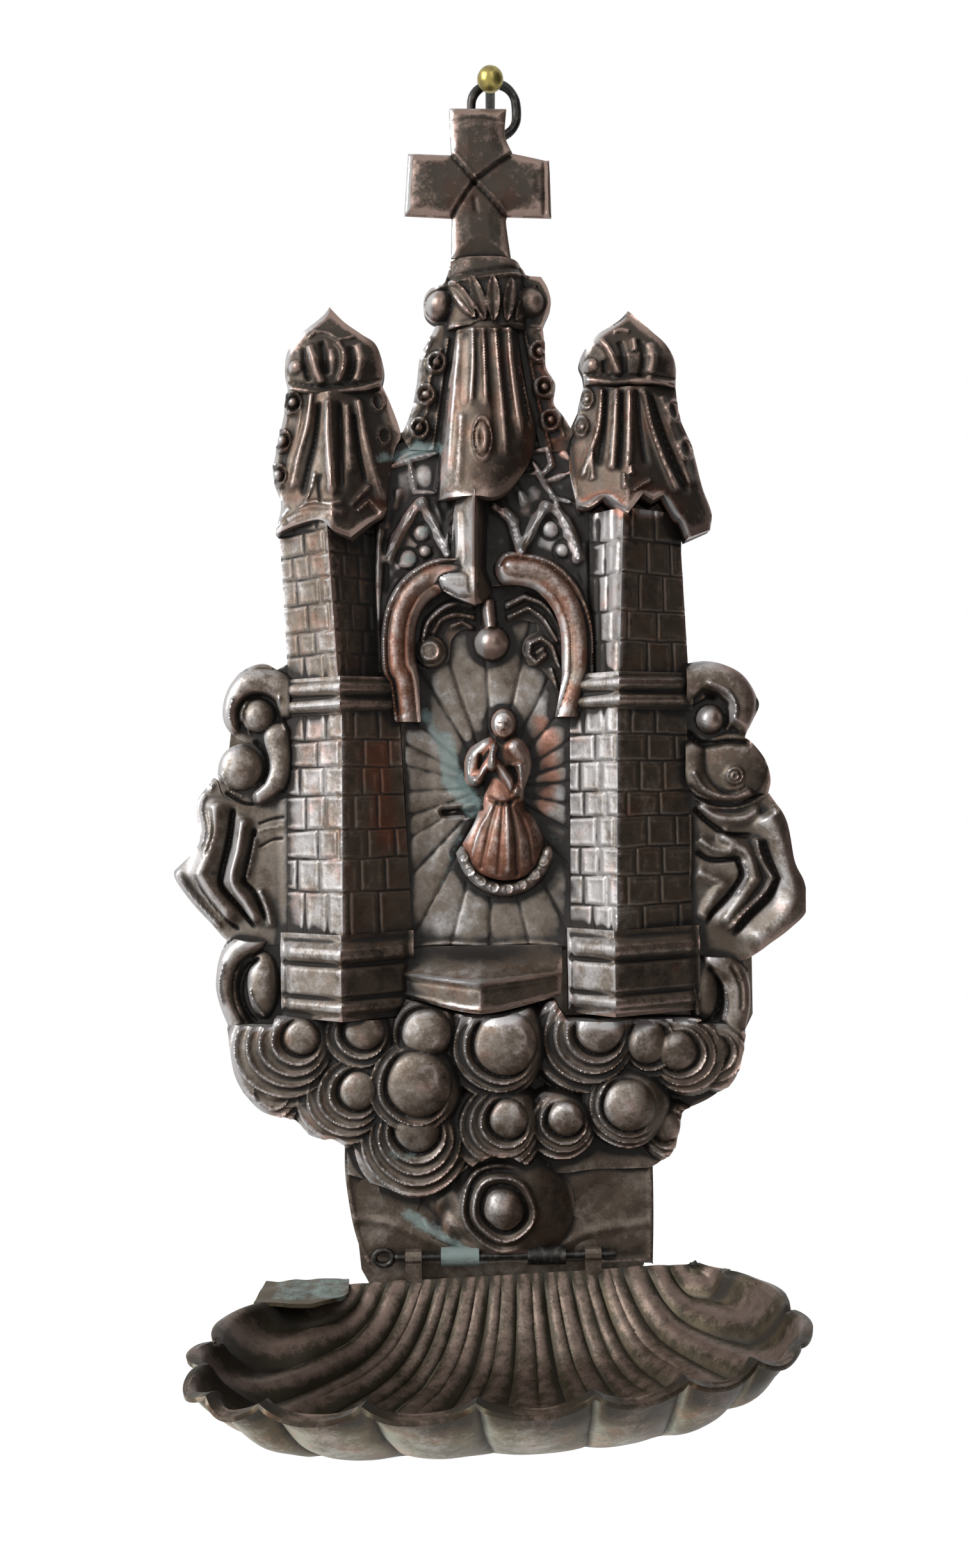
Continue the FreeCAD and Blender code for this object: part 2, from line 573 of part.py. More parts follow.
def tower_roof(side):
    arris = ARRIS_X[side] + UPPER_SPLAY
    foot_z = HEM_Z - HEM_DROP
    stations = [
        (ROOF_TOP_OUTER_X, ROOF_TOP_INNER_X, arris, ROOF_TOP_DEPTH, TOWER_EDGE_DEPTH, NECK_Z,
         ROOF_FLUTE / 2),
        (ROOF_MID_OUTER_X, ROOF_MID_INNER_X, arris, ROOF_MID_DEPTH, TOWER_EDGE_DEPTH, ROOF_MID_Z,
         ROOF_FLUTE),
        (ROOF_HEM_OUTER_X, ROOF_HEM_INNER_X, arris, ROOF_HEM_DEPTH,
         TOWER_EDGE_DEPTH + BASE_OUT, foot_z, ROOF_FLUTE)]
    skin = ruled_solid([(fluted_prow(side, o, i, a, d, e, f), z)
                        for o, i, a, d, e, z, f in stations])
    room = ruled_solid([(prow(side, o - SHEET_T, i + SHEET_T, a, d - WALL_SLANT * SHEET_T,
                              e - SHEET_T / 3, FACE - SHEET_T),
                         z - (SHEET_T if z == NECK_Z else 0)) for o, i, a, d, e, z, f in stations])
    # the hem hangs in dags in front of the wall, and stops at the wall's top behind them
    reach = (ROOF_HEM_OUTER_X - ROOF_HEM_INNER_X) / HEM_DAGS
    dags = [(ROOF_HEM_INNER_X - reach, foot_z - HEM_DROP)]
    for index in range(HEM_DAGS + 1):
        dags.append((ROOF_HEM_INNER_X + (index - 0.5) * reach, foot_z))
        dags.append((ROOF_HEM_INNER_X + index * reach, foot_z + HEM_DROP / 2))
    dags.append((ROOF_HEM_OUTER_X + reach, foot_z - HEM_DROP))
    under = front_prism(mirrored(side, dags), 0, 2 * ROOF_HEM_DEPTH)
    wall_room = ruled_solid([(prow(side, TOWER_OUTER_X + UPPER_SPLAY + FIT_GAP,
                                   UPPER_INNER_X - FIT_GAP, arris, TOWER_DEPTH + FIT_GAP,
                                   TOWER_EDGE_DEPTH + FIT_GAP, 0), z)
                             for z in (foot_z - HEM_DROP, HEM_Z)])
    return skin.cut(room).cut(under).cut(wall_room)


def roof_cap(side):
    """Petalled cap: drawn in at the neck, swollen, then hipped up to the apex."""
    middle = ARRIS_X[side] + UPPER_SPLAY
    swell_z = NECK_Z + (CAP_WIDE_Z - NECK_Z) / 3
    levels = []
    for outer, inner, arris, depth, z, petal in (
            (ROOF_TOP_OUTER_X - SHEET_T, ROOF_TOP_INNER_X + SHEET_T, middle,
             CAP_DEPTH - 2 * SHEET_T, NECK_Z, CAP_PETAL / 4),
            (CAP_OUTER_X, CAP_INNER_X, middle, CAP_DEPTH, swell_z, CAP_PETAL),
            (CAP_OUTER_X - SHEET_T, CAP_INNER_X + SHEET_T, middle, CAP_DEPTH - SHEET_T,
             CAP_WIDE_Z, CAP_PETAL / 2),
            (APEX_X + SHEET_T, APEX_X - SHEET_T, APEX_X, TOWER_EDGE_DEPTH + SHEET_T, APEX_Z, 0)):
        levels.append((fluted_prow(1, outer, inner, arris, depth, TOWER_EDGE_DEPTH, petal,
                                   CAP_PETALS), z))
    bead = ball(CAP_OUTER_X - CAP_BALL_R / 3, TOWER_EDGE_DEPTH + CAP_BALL_R / 4, swell_z,
                CAP_BALL_R)
    cap = in_front_of(joined([ruled_solid(levels), bead]), FACE)
    return cap if side > 0 else cap.mirror(V(0, 0, 0), V(1, 0, 0))


# ------------------------------------------------------------------ spire, cap and cross
def fluted_half(centre, half, depth, z, flute, flutes=SPIRE_FLUTES):
    """Half-oval section with raised flutes."""
    loop = [(centre - half, FACE)]
    steps = 2 * flutes
    for step in range(steps + 1):
        angle = math.pi * step / steps
        rise = flute if step % 2 else 0.0
        loop.append((centre - (half - flute + rise) * math.cos(angle),
                     FACE + (depth - FACE - flute + rise) * max(math.sin(angle), SPIRE_EDGE)))
    loop.append((centre + half, FACE))
    return loop, z


def centre_spire():
    skin = spire_block()
    wall = SHEET_T + SPIRE_FLUTE
    room = ruled_solid([([(SPIRE_X - half + wall, FACE - wall),
                          (SPIRE_X - half / 2, depth / 2),
                          (SPIRE_X, depth - SPIRE_CROWN * wall),
                          (SPIRE_X + half / 2, depth / 2),
                          (SPIRE_X + half - wall, FACE - wall)],
                         z - (SHEET_T if z == SPIRE_TOP_Z else 0))
                        for half, depth, z in SPIRE_STATIONS])
    boss = oval(SPIRE_X, (SPIRE_TOP_DEPTH + SPIRE_LOW_DEPTH) / 2, SPIRE_MID_Z - BOSS_HALF_Z,
                BOSS_HALF_X, BOSS_HALF_Z)
    return joined([skin, boss]).cut(room)


def crocket_strip(side):
    """Leafy strip beside the spire, set with small rings."""
    top = SPIRE_X + side * (SPIRE_TOP_HALF + STRIP_OUT / 2)
    foot = SPIRE_X + side * (SPIRE_MID_HALF + STRIP_OUT)
    knee = SPIRE_X + side * (SPIRE_TOP_HALF + STRIP_OUT)
    low_z = SPIRE_MID_Z - STRIP_OUT
    knee_z = SPIRE_TOP_Z - STRIP_OUT
    strip = front_prism([(SPIRE_X, low_z), (foot, low_z), (foot, SPIRE_MID_Z), (knee, knee_z),
                         (top, SPIRE_TOP_Z), (SPIRE_X, SPIRE_TOP_Z)], FACE, STRIP_DEPTH)
    rings = []
    for index in range(CROCKETS):
        share = (index + 0.5) / CROCKETS
        z = knee_z + share * (low_z - knee_z) + CROCKET_R / 2
        x = knee + share * (foot - knee) - side * STRIP_OUT / 2
        rings.append(turned(x, z, [(radius, STRIP_DEPTH + height)
                                   for radius, height in CROCKET_PROFILE]))
    shape = joined([strip] + rings).cut(spire_block())
    return Part.makeCompound([max(shape.Solids, key=lambda solid: solid.Volume)])


def spire_block():
    """The spire made solid, which also cuts its neighbours back to its skin."""
    return ruled_solid([fluted_half(SPIRE_X, half, depth, z, SPIRE_FLUTE)
                        for half, depth, z in SPIRE_STATIONS])


def spire_cap():
    """Collar over a ring of petals and two side balls, which sits on the spire's top."""
    belly_z = SPIRE_TOP_Z + (COLLAR_Z0 - SPIRE_TOP_Z) / 3
    levels = [fluted_half(SPIRE_X, half, depth, z, petal, SPIRE_PETALS)
              for half, depth, z, petal in (
                  (SPIRE_TOP_HALF, SPIRE_TOP_DEPTH - SHEET_T, SPIRE_TOP_Z, SPIRE_FLUTE / 2),
                  (COLLAR_BOTTOM_HALF, SPIRE_CAP_DEPTH, belly_z, SPIRE_PETAL),
                  (COLLAR_BOTTOM_HALF - SHEET_T, SPIRE_CAP_DEPTH - SHEET_T, COLLAR_Z0,
                   SPIRE_PETAL / 3),
                  (COLLAR_TOP_HALF, CROSS_FRONT + SHEET_T, COLLAR_Z1, SPIRE_FLUTE / 6))]
    balls = [ball(SPIRE_X + side * SPIRE_BALL_X, FACE + SPIRE_BALL_R + SHEET_T, SPIRE_BALL_Z,
                  SPIRE_BALL_R) for side in (-1, 1)]
    return in_front_of(joined([ruled_solid(levels)] + balls), FACE)


def cross_outline(inset=0.0):
    half, span = CROSS_UPRIGHT / 2 - inset, CROSS_SPAN / 2 - inset
    arm_low = CROSS_ARM_Z - CROSS_ARM_HEIGHT / 2 + inset
    arm_high = CROSS_ARM_Z + CROSS_ARM_HEIGHT / 2 - inset
    top, foot = CROSS_TOP_Z - inset, COLLAR_Z1 + inset
    return [(CROSS_X + x, z) for x, z in
            ((-half, foot), (half, foot), (half, arm_low), (span, arm_low), (span, arm_high),
             (half, arm_high), (half, top), (-half, top), (-half, arm_high),
             (-span, arm_high), (-span, arm_low), (-half, arm_low))]


def cross():
    """Four pillowed arms with folded sides, open at the back like a tray."""
    tray = front_prism(cross_outline(), CROSS_BACK, CROSS_FRONT - CROSS_PILLOW)
    crown_inset = 2 * CROSS_PILLOW
    pillow = stacked([[depth_point(x, depth, z) for x, z in loop]
                      for depth, loop in ((CROSS_FRONT - CROSS_PILLOW, cross_outline()),
                                          (CROSS_FRONT, cross_outline(crown_inset)))])
    pocket = front_prism(cross_outline(SHEET_T), CROSS_BACK + SHEET_T / 2,
                         CROSS_FRONT - CROSS_PILLOW)
    return joined([tray, pillow]).cut(pocket)


# ------------------------------------------------------------------ hanging ring
def hanging_ring():
    """Oval of wire: two half circles and two short straight legs."""
    low_z = RING_HINGE_Z + RING_BEND_R
    high_z = low_z + RING_STRAIGHT
    path = []
    for middle_z, first in ((low_z, math.pi), (high_z, 0.0)):
        for step in range(RING_STEPS + 1):
            turn = first + math.pi * step / RING_STEPS
            path.append((RING_X + RING_BEND_R * math.cos(turn),
                         middle_z + RING_BEND_R * math.sin(turn)))
    return wire_loop(path, RING_PLANE, RING_WIRE_R)


def hanging_eye():
    """Strap on the back of the cross, bent round the ring's wire."""
    bore = RING_WIRE_R + EYE_PLAY
    outside = bore + EYE_WALL
    strap_front = CROSS_BACK
    strap = box(RING_X - STRAP_WIDTH / 2, RING_X + STRAP_WIDTH / 2, strap_front - SHEET_T,
                strap_front, RING_HINGE_Z - STRAP_HEIGHT, RING_HINGE_Z + outside)
    start = RING_X - EYE_LENGTH / 2
    loop = cross_rod(start, start + EYE_LENGTH, RING_PLANE, RING_HINGE_Z, outside)
    hole = cross_rod(start - EYE_LENGTH, start + 2 * EYE_LENGTH, RING_PLANE, RING_HINGE_Z, bore)
    return joined([strap, loop]).cut(hole)


def hanging_nail():
    """Ball head and steel shank of the picture nail, which slants down into the wall."""
    slope = math.radians(NAIL_SLOPE)
    along = V(0, math.cos(slope), -math.sin(slope))
    shank_z = (RING_HINGE_Z + 2 * RING_BEND_R + RING_STRAIGHT - RING_WIRE_R
               - (NAIL_R + NAIL_PLAY) / math.cos(slope))
    head = depth_point(RING_X - RING_WIRE_R + FIT_GAP, NAIL_HEAD_DEPTH,
                       shank_z + (NAIL_HEAD_DEPTH - RING_PLANE) * math.tan(slope))
    length = NAIL_HEAD_DEPTH / math.cos(slope) + NAIL_IN_WALL
    shank = rod(head, along, ((0, NAIL_R), (length - NAIL_R, NAIL_R),
                              (length + NAIL_R, NAIL_R / 4)))
    return ball(head.x, NAIL_HEAD_DEPTH, head.z, NAIL_HEAD_R).cut(shank), shank


# ------------------------------------------------------------------ niche
def arch_outline(inset, foot_z):
    """Pointed arch on straight legs, drawn inset from its outer line."""
    half = ARCH_OUTER_HALF - inset
    top = ARCH_TOP_Z - inset
    left, right = ARCH_X - half, ARCH_X + half
    shoulder_z = ARCH_SPRING_Z + ARCH_SHOULDER * (top - ARCH_SPRING_Z)
    rise = arc((left, ARCH_SPRING_Z), (ARCH_X - ARCH_SHOULDER * half, shoulder_z), (ARCH_X, top))
    fall = arc((ARCH_X, top), (ARCH_X + ARCH_SHOULDER * half, shoulder_z), (right, ARCH_SPRING_Z))
    return [(left, foot_z)] + rise + fall[1:] + [(right, foot_z)]


def arch_moulding(keel):
    foot_z = RING_Z1
    crown = front_prism(arch_outline(0, foot_z), FACE, ARCH_DEPTH)
    step = front_prism(arch_outline(ARCH_BAND / 3, foot_z), FACE, ARCH_DEPTH)
    hollow = front_prism(arch_outline(ARCH_BAND, foot_z - ARCH_BAND), 0, 2 * ARCH_DEPTH)
    rim = front_prism(arch_outline(0, foot_z), FACE, ARCH_DEPTH - SHEET_T)
    band = joined([rim, step.common(crown)]).cut(hollow)
    return band.cut(keel).cut(box(-KEEL_HALF + KEEL_X, KEEL_HALF + KEEL_X, FACE,
                                  2 * ARCH_DEPTH, ARCH_TOP_Z, LAMB_TOP_Z))


def lambrequin_keel():
    """Prow-like keel over the arch, which ends in the keystone."""
    return ruled_solid([([(KEEL_X - half, FACE), (KEEL_X - half, FACE + depth / 2),
                          (KEEL_X, depth), (KEEL_X + half, FACE + depth / 2),
                          (KEEL_X + half, FACE)], z)
                        for half, depth, z in ((KEEL_TAPER * KEEL_HALF, KEEL_DEPTH, KEEL_FOOT_Z),
                                               (KEEL_HALF, KEEL_DEPTH, ARCH_TOP_Z),
                                               (KEEL_HALF, SPIRE_LOW_DEPTH, SPIRE_LOW_Z))])


def lambrequin(keel, arch_fill):
    """Panel between the towers over the niche, with a raised double-peaked border."""
    left, right = -UPPER_INNER_X - UPPER_SPLAY, UPPER_INNER_X + UPPER_SPLAY
    panel = front_prism([(-UPPER_INNER_X, RING_Z1), (UPPER_INNER_X, RING_Z1),
                         (right, HEM_Z), (right, LAMB_TOP_Z - STRIP_OUT), (left, LAMB_TOP_Z - STRIP_OUT),
                         (left, HEM_Z)], FACE, LAMB_DEPTH)
    bands = []
    for side in (-1, 1):
        points = [(side * UPPER_INNER_X, RING_Z1 + ARCH_DEPTH),
                  (side * LAMB_PEAK_X, LAMB_PEAK_Z), (side * LAMB_VALLEY_X, LAMB_VALLEY_Z),
                  (side * KEEL_HALF / 2, SPIRE_LOW_Z)]
        for start, end in zip(points, points[1:]):
            length = math.hypot(end[0] - start[0], end[1] - start[1])
            across = ((end[1] - start[1]) / length * LAMB_BAND / 2,
                      -(end[0] - start[0]) / length * LAMB_BAND / 2)
            bands.append(front_prism([(start[0] + across[0], start[1] + across[1]),
                                      (end[0] + across[0], end[1] + across[1]),
                                      (end[0] - across[0], end[1] - across[1]),
                                      (start[0] - across[0], start[1] - across[1])],
                                     FACE, LAMB_DEPTH + LAMB_BAND_RISE))
    whole = joined([panel] + bands).cut(keel).cut(arch_fill).cut(spire_block())
    for side in (-1, 1):
        whole = whole.cut(tower_block(side)).cut(crocket_block(side))
    return Part.makeCompound([solid for solid in whole.Solids if solid.Volume > PLATE_T ** 3])


def tower_block(side):
    """Upper wall and roof of one tower made solid, to cut the panel back to them."""
    arris = ARRIS_X[side]
    wall = ruled_solid([
        (prow(side, TOWER_OUTER_X, UPPER_INNER_X, arris, TOWER_DEPTH, TOWER_EDGE_DEPTH), RING_Z1),
        (prow(side, TOWER_OUTER_X + UPPER_SPLAY, UPPER_INNER_X + UPPER_SPLAY,
              arris + UPPER_SPLAY, TOWER_DEPTH, TOWER_EDGE_DEPTH), HEM_Z)])
    roof = box(min(side * (ROOF_MID_INNER_X - FIT_GAP), side * ROOF_HEM_OUTER_X),
               max(side * (ROOF_MID_INNER_X - FIT_GAP), side * ROOF_HEM_OUTER_X),
               FACE, ROOF_HEM_DEPTH, HEM_Z - HEM_DROP, NECK_Z)
    return wall.fuse(roof)


def crocket_block(side):
    foot = SPIRE_X + side * (SPIRE_MID_HALF + STRIP_OUT)
    return box(min(SPIRE_X, foot), max(SPIRE_X, foot), FACE, 2 * STRIP_DEPTH,
               SPIRE_MID_Z - STRIP_OUT, SPIRE_TOP_Z)


def arch_leaf(side):
    """Leaf curl that ends in a volute beside the pendant."""
    turns = []
    for step, degrees in enumerate(LEAF_TURNS):
        angle = math.radians(degrees)
        radius = LEAF_R + LEAF_REACH - step * LEAF_WIND
        turns.append((ARCH_X + side * (LEAF_X + radius * math.cos(angle)),
                      LEAF_Z + radius * math.sin(angle)))
    curl = half_round_bar(turns, PANEL_DEPTH, LEAF_WIRE_R)
    knob = dome(ARCH_X + side * LEAF_X, LEAF_Z, LEAF_R, PANEL_DEPTH, LEAF_R - SHEET_T)
    return joined([knob, curl])


def pendant_ball(keel_foot_z):
    """Ball on a short stem under the keystone."""
    x = KEEL_X + PENDANT_R
    depth = PANEL_DEPTH + PENDANT_R - SHEET_T / 2
    hang = ball(x, depth, PENDANT_Z, PENDANT_R)
    stem = rod(depth_point(x - PENDANT_R / 2, depth, PENDANT_Z), V(0, 0, 1),
               ((0, PENDANT_R / 3), (keel_foot_z - PENDANT_Z, PENDANT_R / 3)))
    return in_front_of(joined([hang, stem]), PANEL_DEPTH)


def panel_outline(back, front):
    """Niche floor: between the lower walls, and inside the arch above them."""
    low = front_prism([(-TOWER_INNER_X, PANEL_BOTTOM_Z), (TOWER_INNER_X, PANEL_BOTTOM_Z),
                       (TOWER_INNER_X, RING_Z0), (-TOWER_INNER_X, RING_Z0)], back, front)
    high = front_prism(arch_outline(ARCH_BAND, RING_Z0 - SHEET_T), back, front)
    return joined([low, high])


def ray_panel(keel):
    """Embossed glory behind the figure, slotted for the figure's tab."""
    panel = panel_outline(FACE, PANEL_DEPTH - RAY_RISE)
    reach = ARCH_TOP_Z - PANEL_BOTTOM_Z
    rays = []
    for index in range(RAYS):
        start = math.tau * (index - 1 / 4) / RAYS
        end = math.tau * (index + 1 / 4) / RAYS
        rays.append(front_prism([
            (GLORY_X + radius * math.cos(angle), GLORY_Z + radius * math.sin(angle))
            for radius, angle in ((GLORY_R, start), (reach, start), (reach, end), (GLORY_R, end))],
            PANEL_DEPTH - RAY_RISE, PANEL_DEPTH))
    raised = joined(rays).common(panel_outline(PANEL_DEPTH - RAY_RISE, PANEL_DEPTH))
    slot = box(TAB_X - TAB_LENGTH / 2, TAB_X + TAB_LENGTH / 2, 0, 2 * PANEL_DEPTH,
               TAB_Z - TAB_THICK / 2, TAB_Z + TAB_THICK / 2)
    panel = joined([panel, raised]).cut(slot).cut(keel)
    for side in (-1, 1):
        panel = panel.cut(moulding_block(side, RING_Z0, RING_Z1, RING_OUT, TOWER_INNER_X))
        panel = panel.cut(moulding_block(side, BASE_Z0, BASE_Z1, BASE_OUT, TOWER_INNER_X))
    return panel


def niche_ledge():
    """Sloping sill with a two-faced front."""
    def station(x, depth, foot_z):
        points = [(FACE, PANEL_BOTTOM_Z), (LEDGE_SILL, PANEL_BOTTOM_Z), (depth, LEDGE_LIP_Z),
                  (depth, foot_z), (FACE, foot_z)]
        return [depth_point(x, d, z) for d, z in points]
    inner = TOWER_INNER_X - BASE_OUT + ROLL_GROOVE - FIT_GAP
    halves = []
    for outer_x in (-inner, inner):
        halves.append(stacked([station(outer_x, LEDGE_SIDE_DEPTH, LEDGE_SIDE_FOOT_Z),
                               station(LEDGE_ARRIS_X, LEDGE_DEPTH, LEDGE_FOOT_Z)]))
    return joined(halves)


# ------------------------------------------------------------------ figure
def figure():
    """Robed figure with joined hands, in low relief on the niche floor."""
    back = PANEL_DEPTH
    axis_depth = back + SHEET_T
    body = []
    for half, thick, z in (
            (HEM_SHARE * SKIRT_HALF, HEM_SHARE * FIGURE_DEPTH, FIGURE_FOOT_Z),
            (SKIRT_HALF, FIGURE_DEPTH, FIGURE_FOOT_Z + SLEEVE_R),
            (WAIST_HALF, WAIST_THICK, FIGURE_WAIST_Z),
            (SHOULDER_HALF, SHOULDER_THICK, FIGURE_SHOULDER_Z - SLEEVE_R),
            (NECK_SHARE * HEAD_R, NECK_THICK, FIGURE_HEAD_Z - HEAD_R)):
        body.append((oval_level(FIGURE_X, axis_depth, half, thick), z))
    robe = ruled_solid(body)
    head = oval(FIGURE_X, axis_depth + SHEET_T, FIGURE_HEAD_Z, HEAD_R, HEAD_LONG * HEAD_R)
    sleeves = [oval(FIGURE_X + side * (SHOULDER_HALF - SHEET_T), axis_depth + SLEEVE_R / 2,
                    (FIGURE_WAIST_Z + FIGURE_SHOULDER_Z) / 2 + SHEET_T, SLEEVE_R,
                    2 * SLEEVE_R) for side in (-1, 1)]
    hands = oval(FIGURE_X - HANDS_R, axis_depth + FIGURE_DEPTH, FIGURE_SHOULDER_Z - HANDS_R,
                 HANDS_R, 2 * HANDS_R)
    return in_front_of(joined([robe, head, hands] + sleeves), back)


def crescent(figure_shape):
    """Cloud crescent under the figure."""
    high = FIGURE_FOOT_Z + SHEET_T
    low = high - CRESCENT_DROP
    tips = (FIGURE_X - CRESCENT_HALF, high), (FIGURE_X + CRESCENT_HALF, high)
    outer = arc(tips[0], (FIGURE_X, low), tips[1])
    inner = arc(tips[1], (FIGURE_X, low + CRESCENT_T), tips[0])
    shape = front_prism(outer + inner[1:-1], PANEL_DEPTH, CRESCENT_DEPTH)
    return shape.cut(figure_shape)


# ------------------------------------------------------------------ scrolls and flames
def scroll(side):
    """Side bracket: an upper volute that winds into its eye, and a lower bulb."""
    wall_x = TOWER_OUTER_X
    edge = [(wall_x, SCROLL_TOP_Z), (VOLUTE_X, SCROLL_TOP_Z - PLATE_T),
            (VOLUTE_X + VOLUTE_R, VOLUTE_Z), (BULB_X + BULB_R / 3, (VOLUTE_Z + BULB_Z) / 2),
            (BULB_X + BULB_R, BULB_Z), (BULB_X, SCROLL_FOOT_Z),
            (wall_x, SCROLL_FOOT_Z + BASE_OUT)]
    plate = front_prism(curve(mirrored(side, edge), OUTLINE_STEPS), FACE, SCROLL_DEPTH)
    turns = []
    for step in range(VOLUTE_STEPS + 1):
        angle = math.radians(VOLUTE_START - VOLUTE_STEP * step)
        radius = VOLUTE_R - (VOLUTE_R - EYE_BOSS_R) * step / VOLUTE_STEPS
        turns.append((side * (VOLUTE_X + radius * math.cos(angle)),
                      VOLUTE_Z + radius * math.sin(angle)))
    winding = half_round_bar(turns, SCROLL_DEPTH - SHEET_T, VOLUTE_WIRE_R)
    eye = dome(side * VOLUTE_X, VOLUTE_Z, EYE_BOSS_R, SCROLL_DEPTH - PLATE_T, EYE_BOSS_R)
    bulb = dome(side * BULB_X, BULB_Z, BULB_R, SCROLL_DEPTH - PLATE_T, BULB_R)
    limit = box(min(side * wall_x, side * 2 * wall_x), max(side * wall_x, side * 2 * wall_x),
                FACE, TOWER_DEPTH, 0, SCROLL_TOP_Z + VOLUTE_R)
    ring_room = moulding_block(side, RING_Z0, RING_Z1, RING_OUT, TOWER_INNER_X)
    return joined([plate, winding, eye, bulb]).common(limit).cut(ring_room).cut(tower_block(side))


def moulding_block(side, z0, z1, out, inner):
    """Room that a moulding takes up, with its free gap."""
    return ruled_solid([(prow(side, TOWER_OUTER_X + out - ROLL_GROOVE,
                              inner - out + ROLL_GROOVE, ARRIS_X[side], TOWER_DEPTH + out,
                              TOWER_EDGE_DEPTH + out, 0), z) for z in (z0, z1)])


def flame(side, scroll_shape):
    """Flame-edged side bracket under the scroll, with two curling ridges."""
    wall_x = TOWER_OUTER_X
    back_x = BASE_OUT
    outer = [(FLAME_TOP_X, FLAME_TOP_Z), (FLAME_TOP_X + back_x, FLAME_TOP_Z - 2 * back_x),
             (FLAME_TOP_X + back_x, (FLAME_TOP_Z + FLAME_TIP_Z) / 2), (FLAME_TIP_X, FLAME_TIP_Z),
             (FLAME_TIP_X - back_x, FLAME_TIP_Z - 3 * back_x),
             (SIDE_CLOUD_X - PLATE_T, BASE_Z1 - back_x)]
    heel_and_shoulder = [(wall_x, BASE_Z1), (wall_x, SCROLL_FOOT_Z + back_x)]
    plate = front_prism(mirrored(side, curve(outer, OUTLINE_STEPS) + heel_and_shoulder), FACE,
                        FLAME_DEPTH)
    ridges = []
    span = FLAME_TIP_X - wall_x
    for share in FLAME_RIDGES:
        x = wall_x + share * span
        ridges.append(half_round_bar(mirrored(side, [
            (x, SCROLL_FOOT_Z - back_x), (x - PLATE_T, (SCROLL_FOOT_Z + FLAME_TIP_Z) / 2),
            (x - back_x / 2, FLAME_TIP_Z + PLATE_T), (x - PLATE_T, BASE_Z1 + 2 * back_x),
            (x - back_x, BASE_Z1 + back_x)]), FLAME_DEPTH, FLAME_RIDGE_R))
    base_room = moulding_block(side, BASE_Z0, BASE_Z1, BASE_OUT, TOWER_INNER_X)
    shape = joined([plate] + ridges).cut(scroll_shape).cut(base_room)
    return Part.makeCompound([max(shape.Solids, key=lambda solid: solid.Volume)])


# ------------------------------------------------------------------ clouds
def side_cloud(side, flame_shape):
    """Cloud cheek beside the tower's base, above the seam."""
    high = BASE_Z1 - BASE_OUT / 2
    inner = TOWER_OUTER_X
    points = [(SIDE_CLOUD_X - BASE_OUT, high), (SIDE_CLOUD_X, (high + SEAM_Z) / 2),
              (SIDE_CLOUD_X - BASE_OUT, SEAM_Z)]
    corners = [(inner, SEAM_Z), (inner, high)]
    cheek = front_prism(mirrored(side, curve(points, OUTLINE_STEPS) + corners), FACE, BANK_DEPTH)
    half = (high - SEAM_Z) / 2
    swell = dome(side * (SIDE_CLOUD_X - half), SEAM_Z + half, half - SHEET_T / 2, BANK_DEPTH,
                 SIDE_CLOUD_DEPTH - BANK_DEPTH)
    base_room = moulding_block(side, BASE_Z0 - SHEET_T, BASE_Z1, BASE_OUT, TOWER_INNER_X)
    shape = joined([cheek, swell]).cut(base_room).cut(flame_shape)
    return Part.makeCompound([max(shape.Solids, key=lambda solid: solid.Volume)])


def bottom_boss():
    """Mound, ring and ball in the middle of the neck plate."""
    mound = turned(BOSS_X, BOSS_Z, ((BOSS_PROFILE[0][0], FACE),) + BOSS_PROFILE, 2 * BALL_SIDES)
    reach = BOSS_PROFILE[0][0]
    below = box(BOSS_X - reach, BOSS_X + reach, 0, 2 * reach, BOSS_Z - 2 * reach,
                KNUCKLE_R + FIT_GAP)
    return mound.cut(below)


def puff(values, inset):
    """One puff: circles that wander to one side as they grow, with a small ball on top."""
    x, z, core, reach, lean_x, lean_z, low, top = values
    back = FACE - inset
    shoulder = core + PUFF_SHOULDER * (reach - core)
    rings = [(reach, back), (reach, low), (shoulder, low + PUFF_SWELL * (top - low)), (core, top)]
    if not inset:
        rings.append((core / 2, top + PUFF_BALL))
    loops = []
    for radius, depth in rings:
        wander = max(radius - core, 0.0)
        front = depth - inset if depth > back else back
        loops.append(flat_ring(x + lean_x * wander, front, z + lean_z * wander, radius - inset))
    return stacked(loops)


def cloud_bank(boss):
    """Bank of puffs under the towers, hollow behind."""
    slab = front_prism(BANK_RIM, FACE, BANK_LOW)
    middle_x = sum(x for x, z in BANK_RIM) / len(BANK_RIM)
    middle_z = sum(z for x, z in BANK_RIM) / len(BANK_RIM)
    shrink = 1 - 2 * SHEET_T / (SEAM_Z - middle_z)
    inner = [(middle_x + shrink * (x - middle_x), middle_z + shrink * (z - middle_z))
             for x, z in BANK_RIM]
    puffs = joined([slab] + [puff(values, 0) for values in PUFFS])
    hollows = joined([front_prism(inner, 0, BANK_LOW - SHEET_T)]
                     + [puff(values, SHEET_T) for values in PUFFS])
    front = 2 * LEDGE_DEPTH
    shape = puffs.common(front_prism(BANK_RIM, 0, front))
    shape = shape.cut(hollows.common(front_prism(inner, 0, front)))
    lid = box(-2 * SIDE_CLOUD_X, 2 * SIDE_CLOUD_X, 0, front, SEAM_Z, 2 * SEAM_Z)
    crown = box(-TOWER_OUTER_X, TOWER_OUTER_X, 0, front, SEAM_Z, BASE_Z0)
    shape = shape.cut(lid.cut(crown)).cut(boss)
    return Part.makeCompound([max(shape.Solids, key=lambda solid: solid.Volume)])


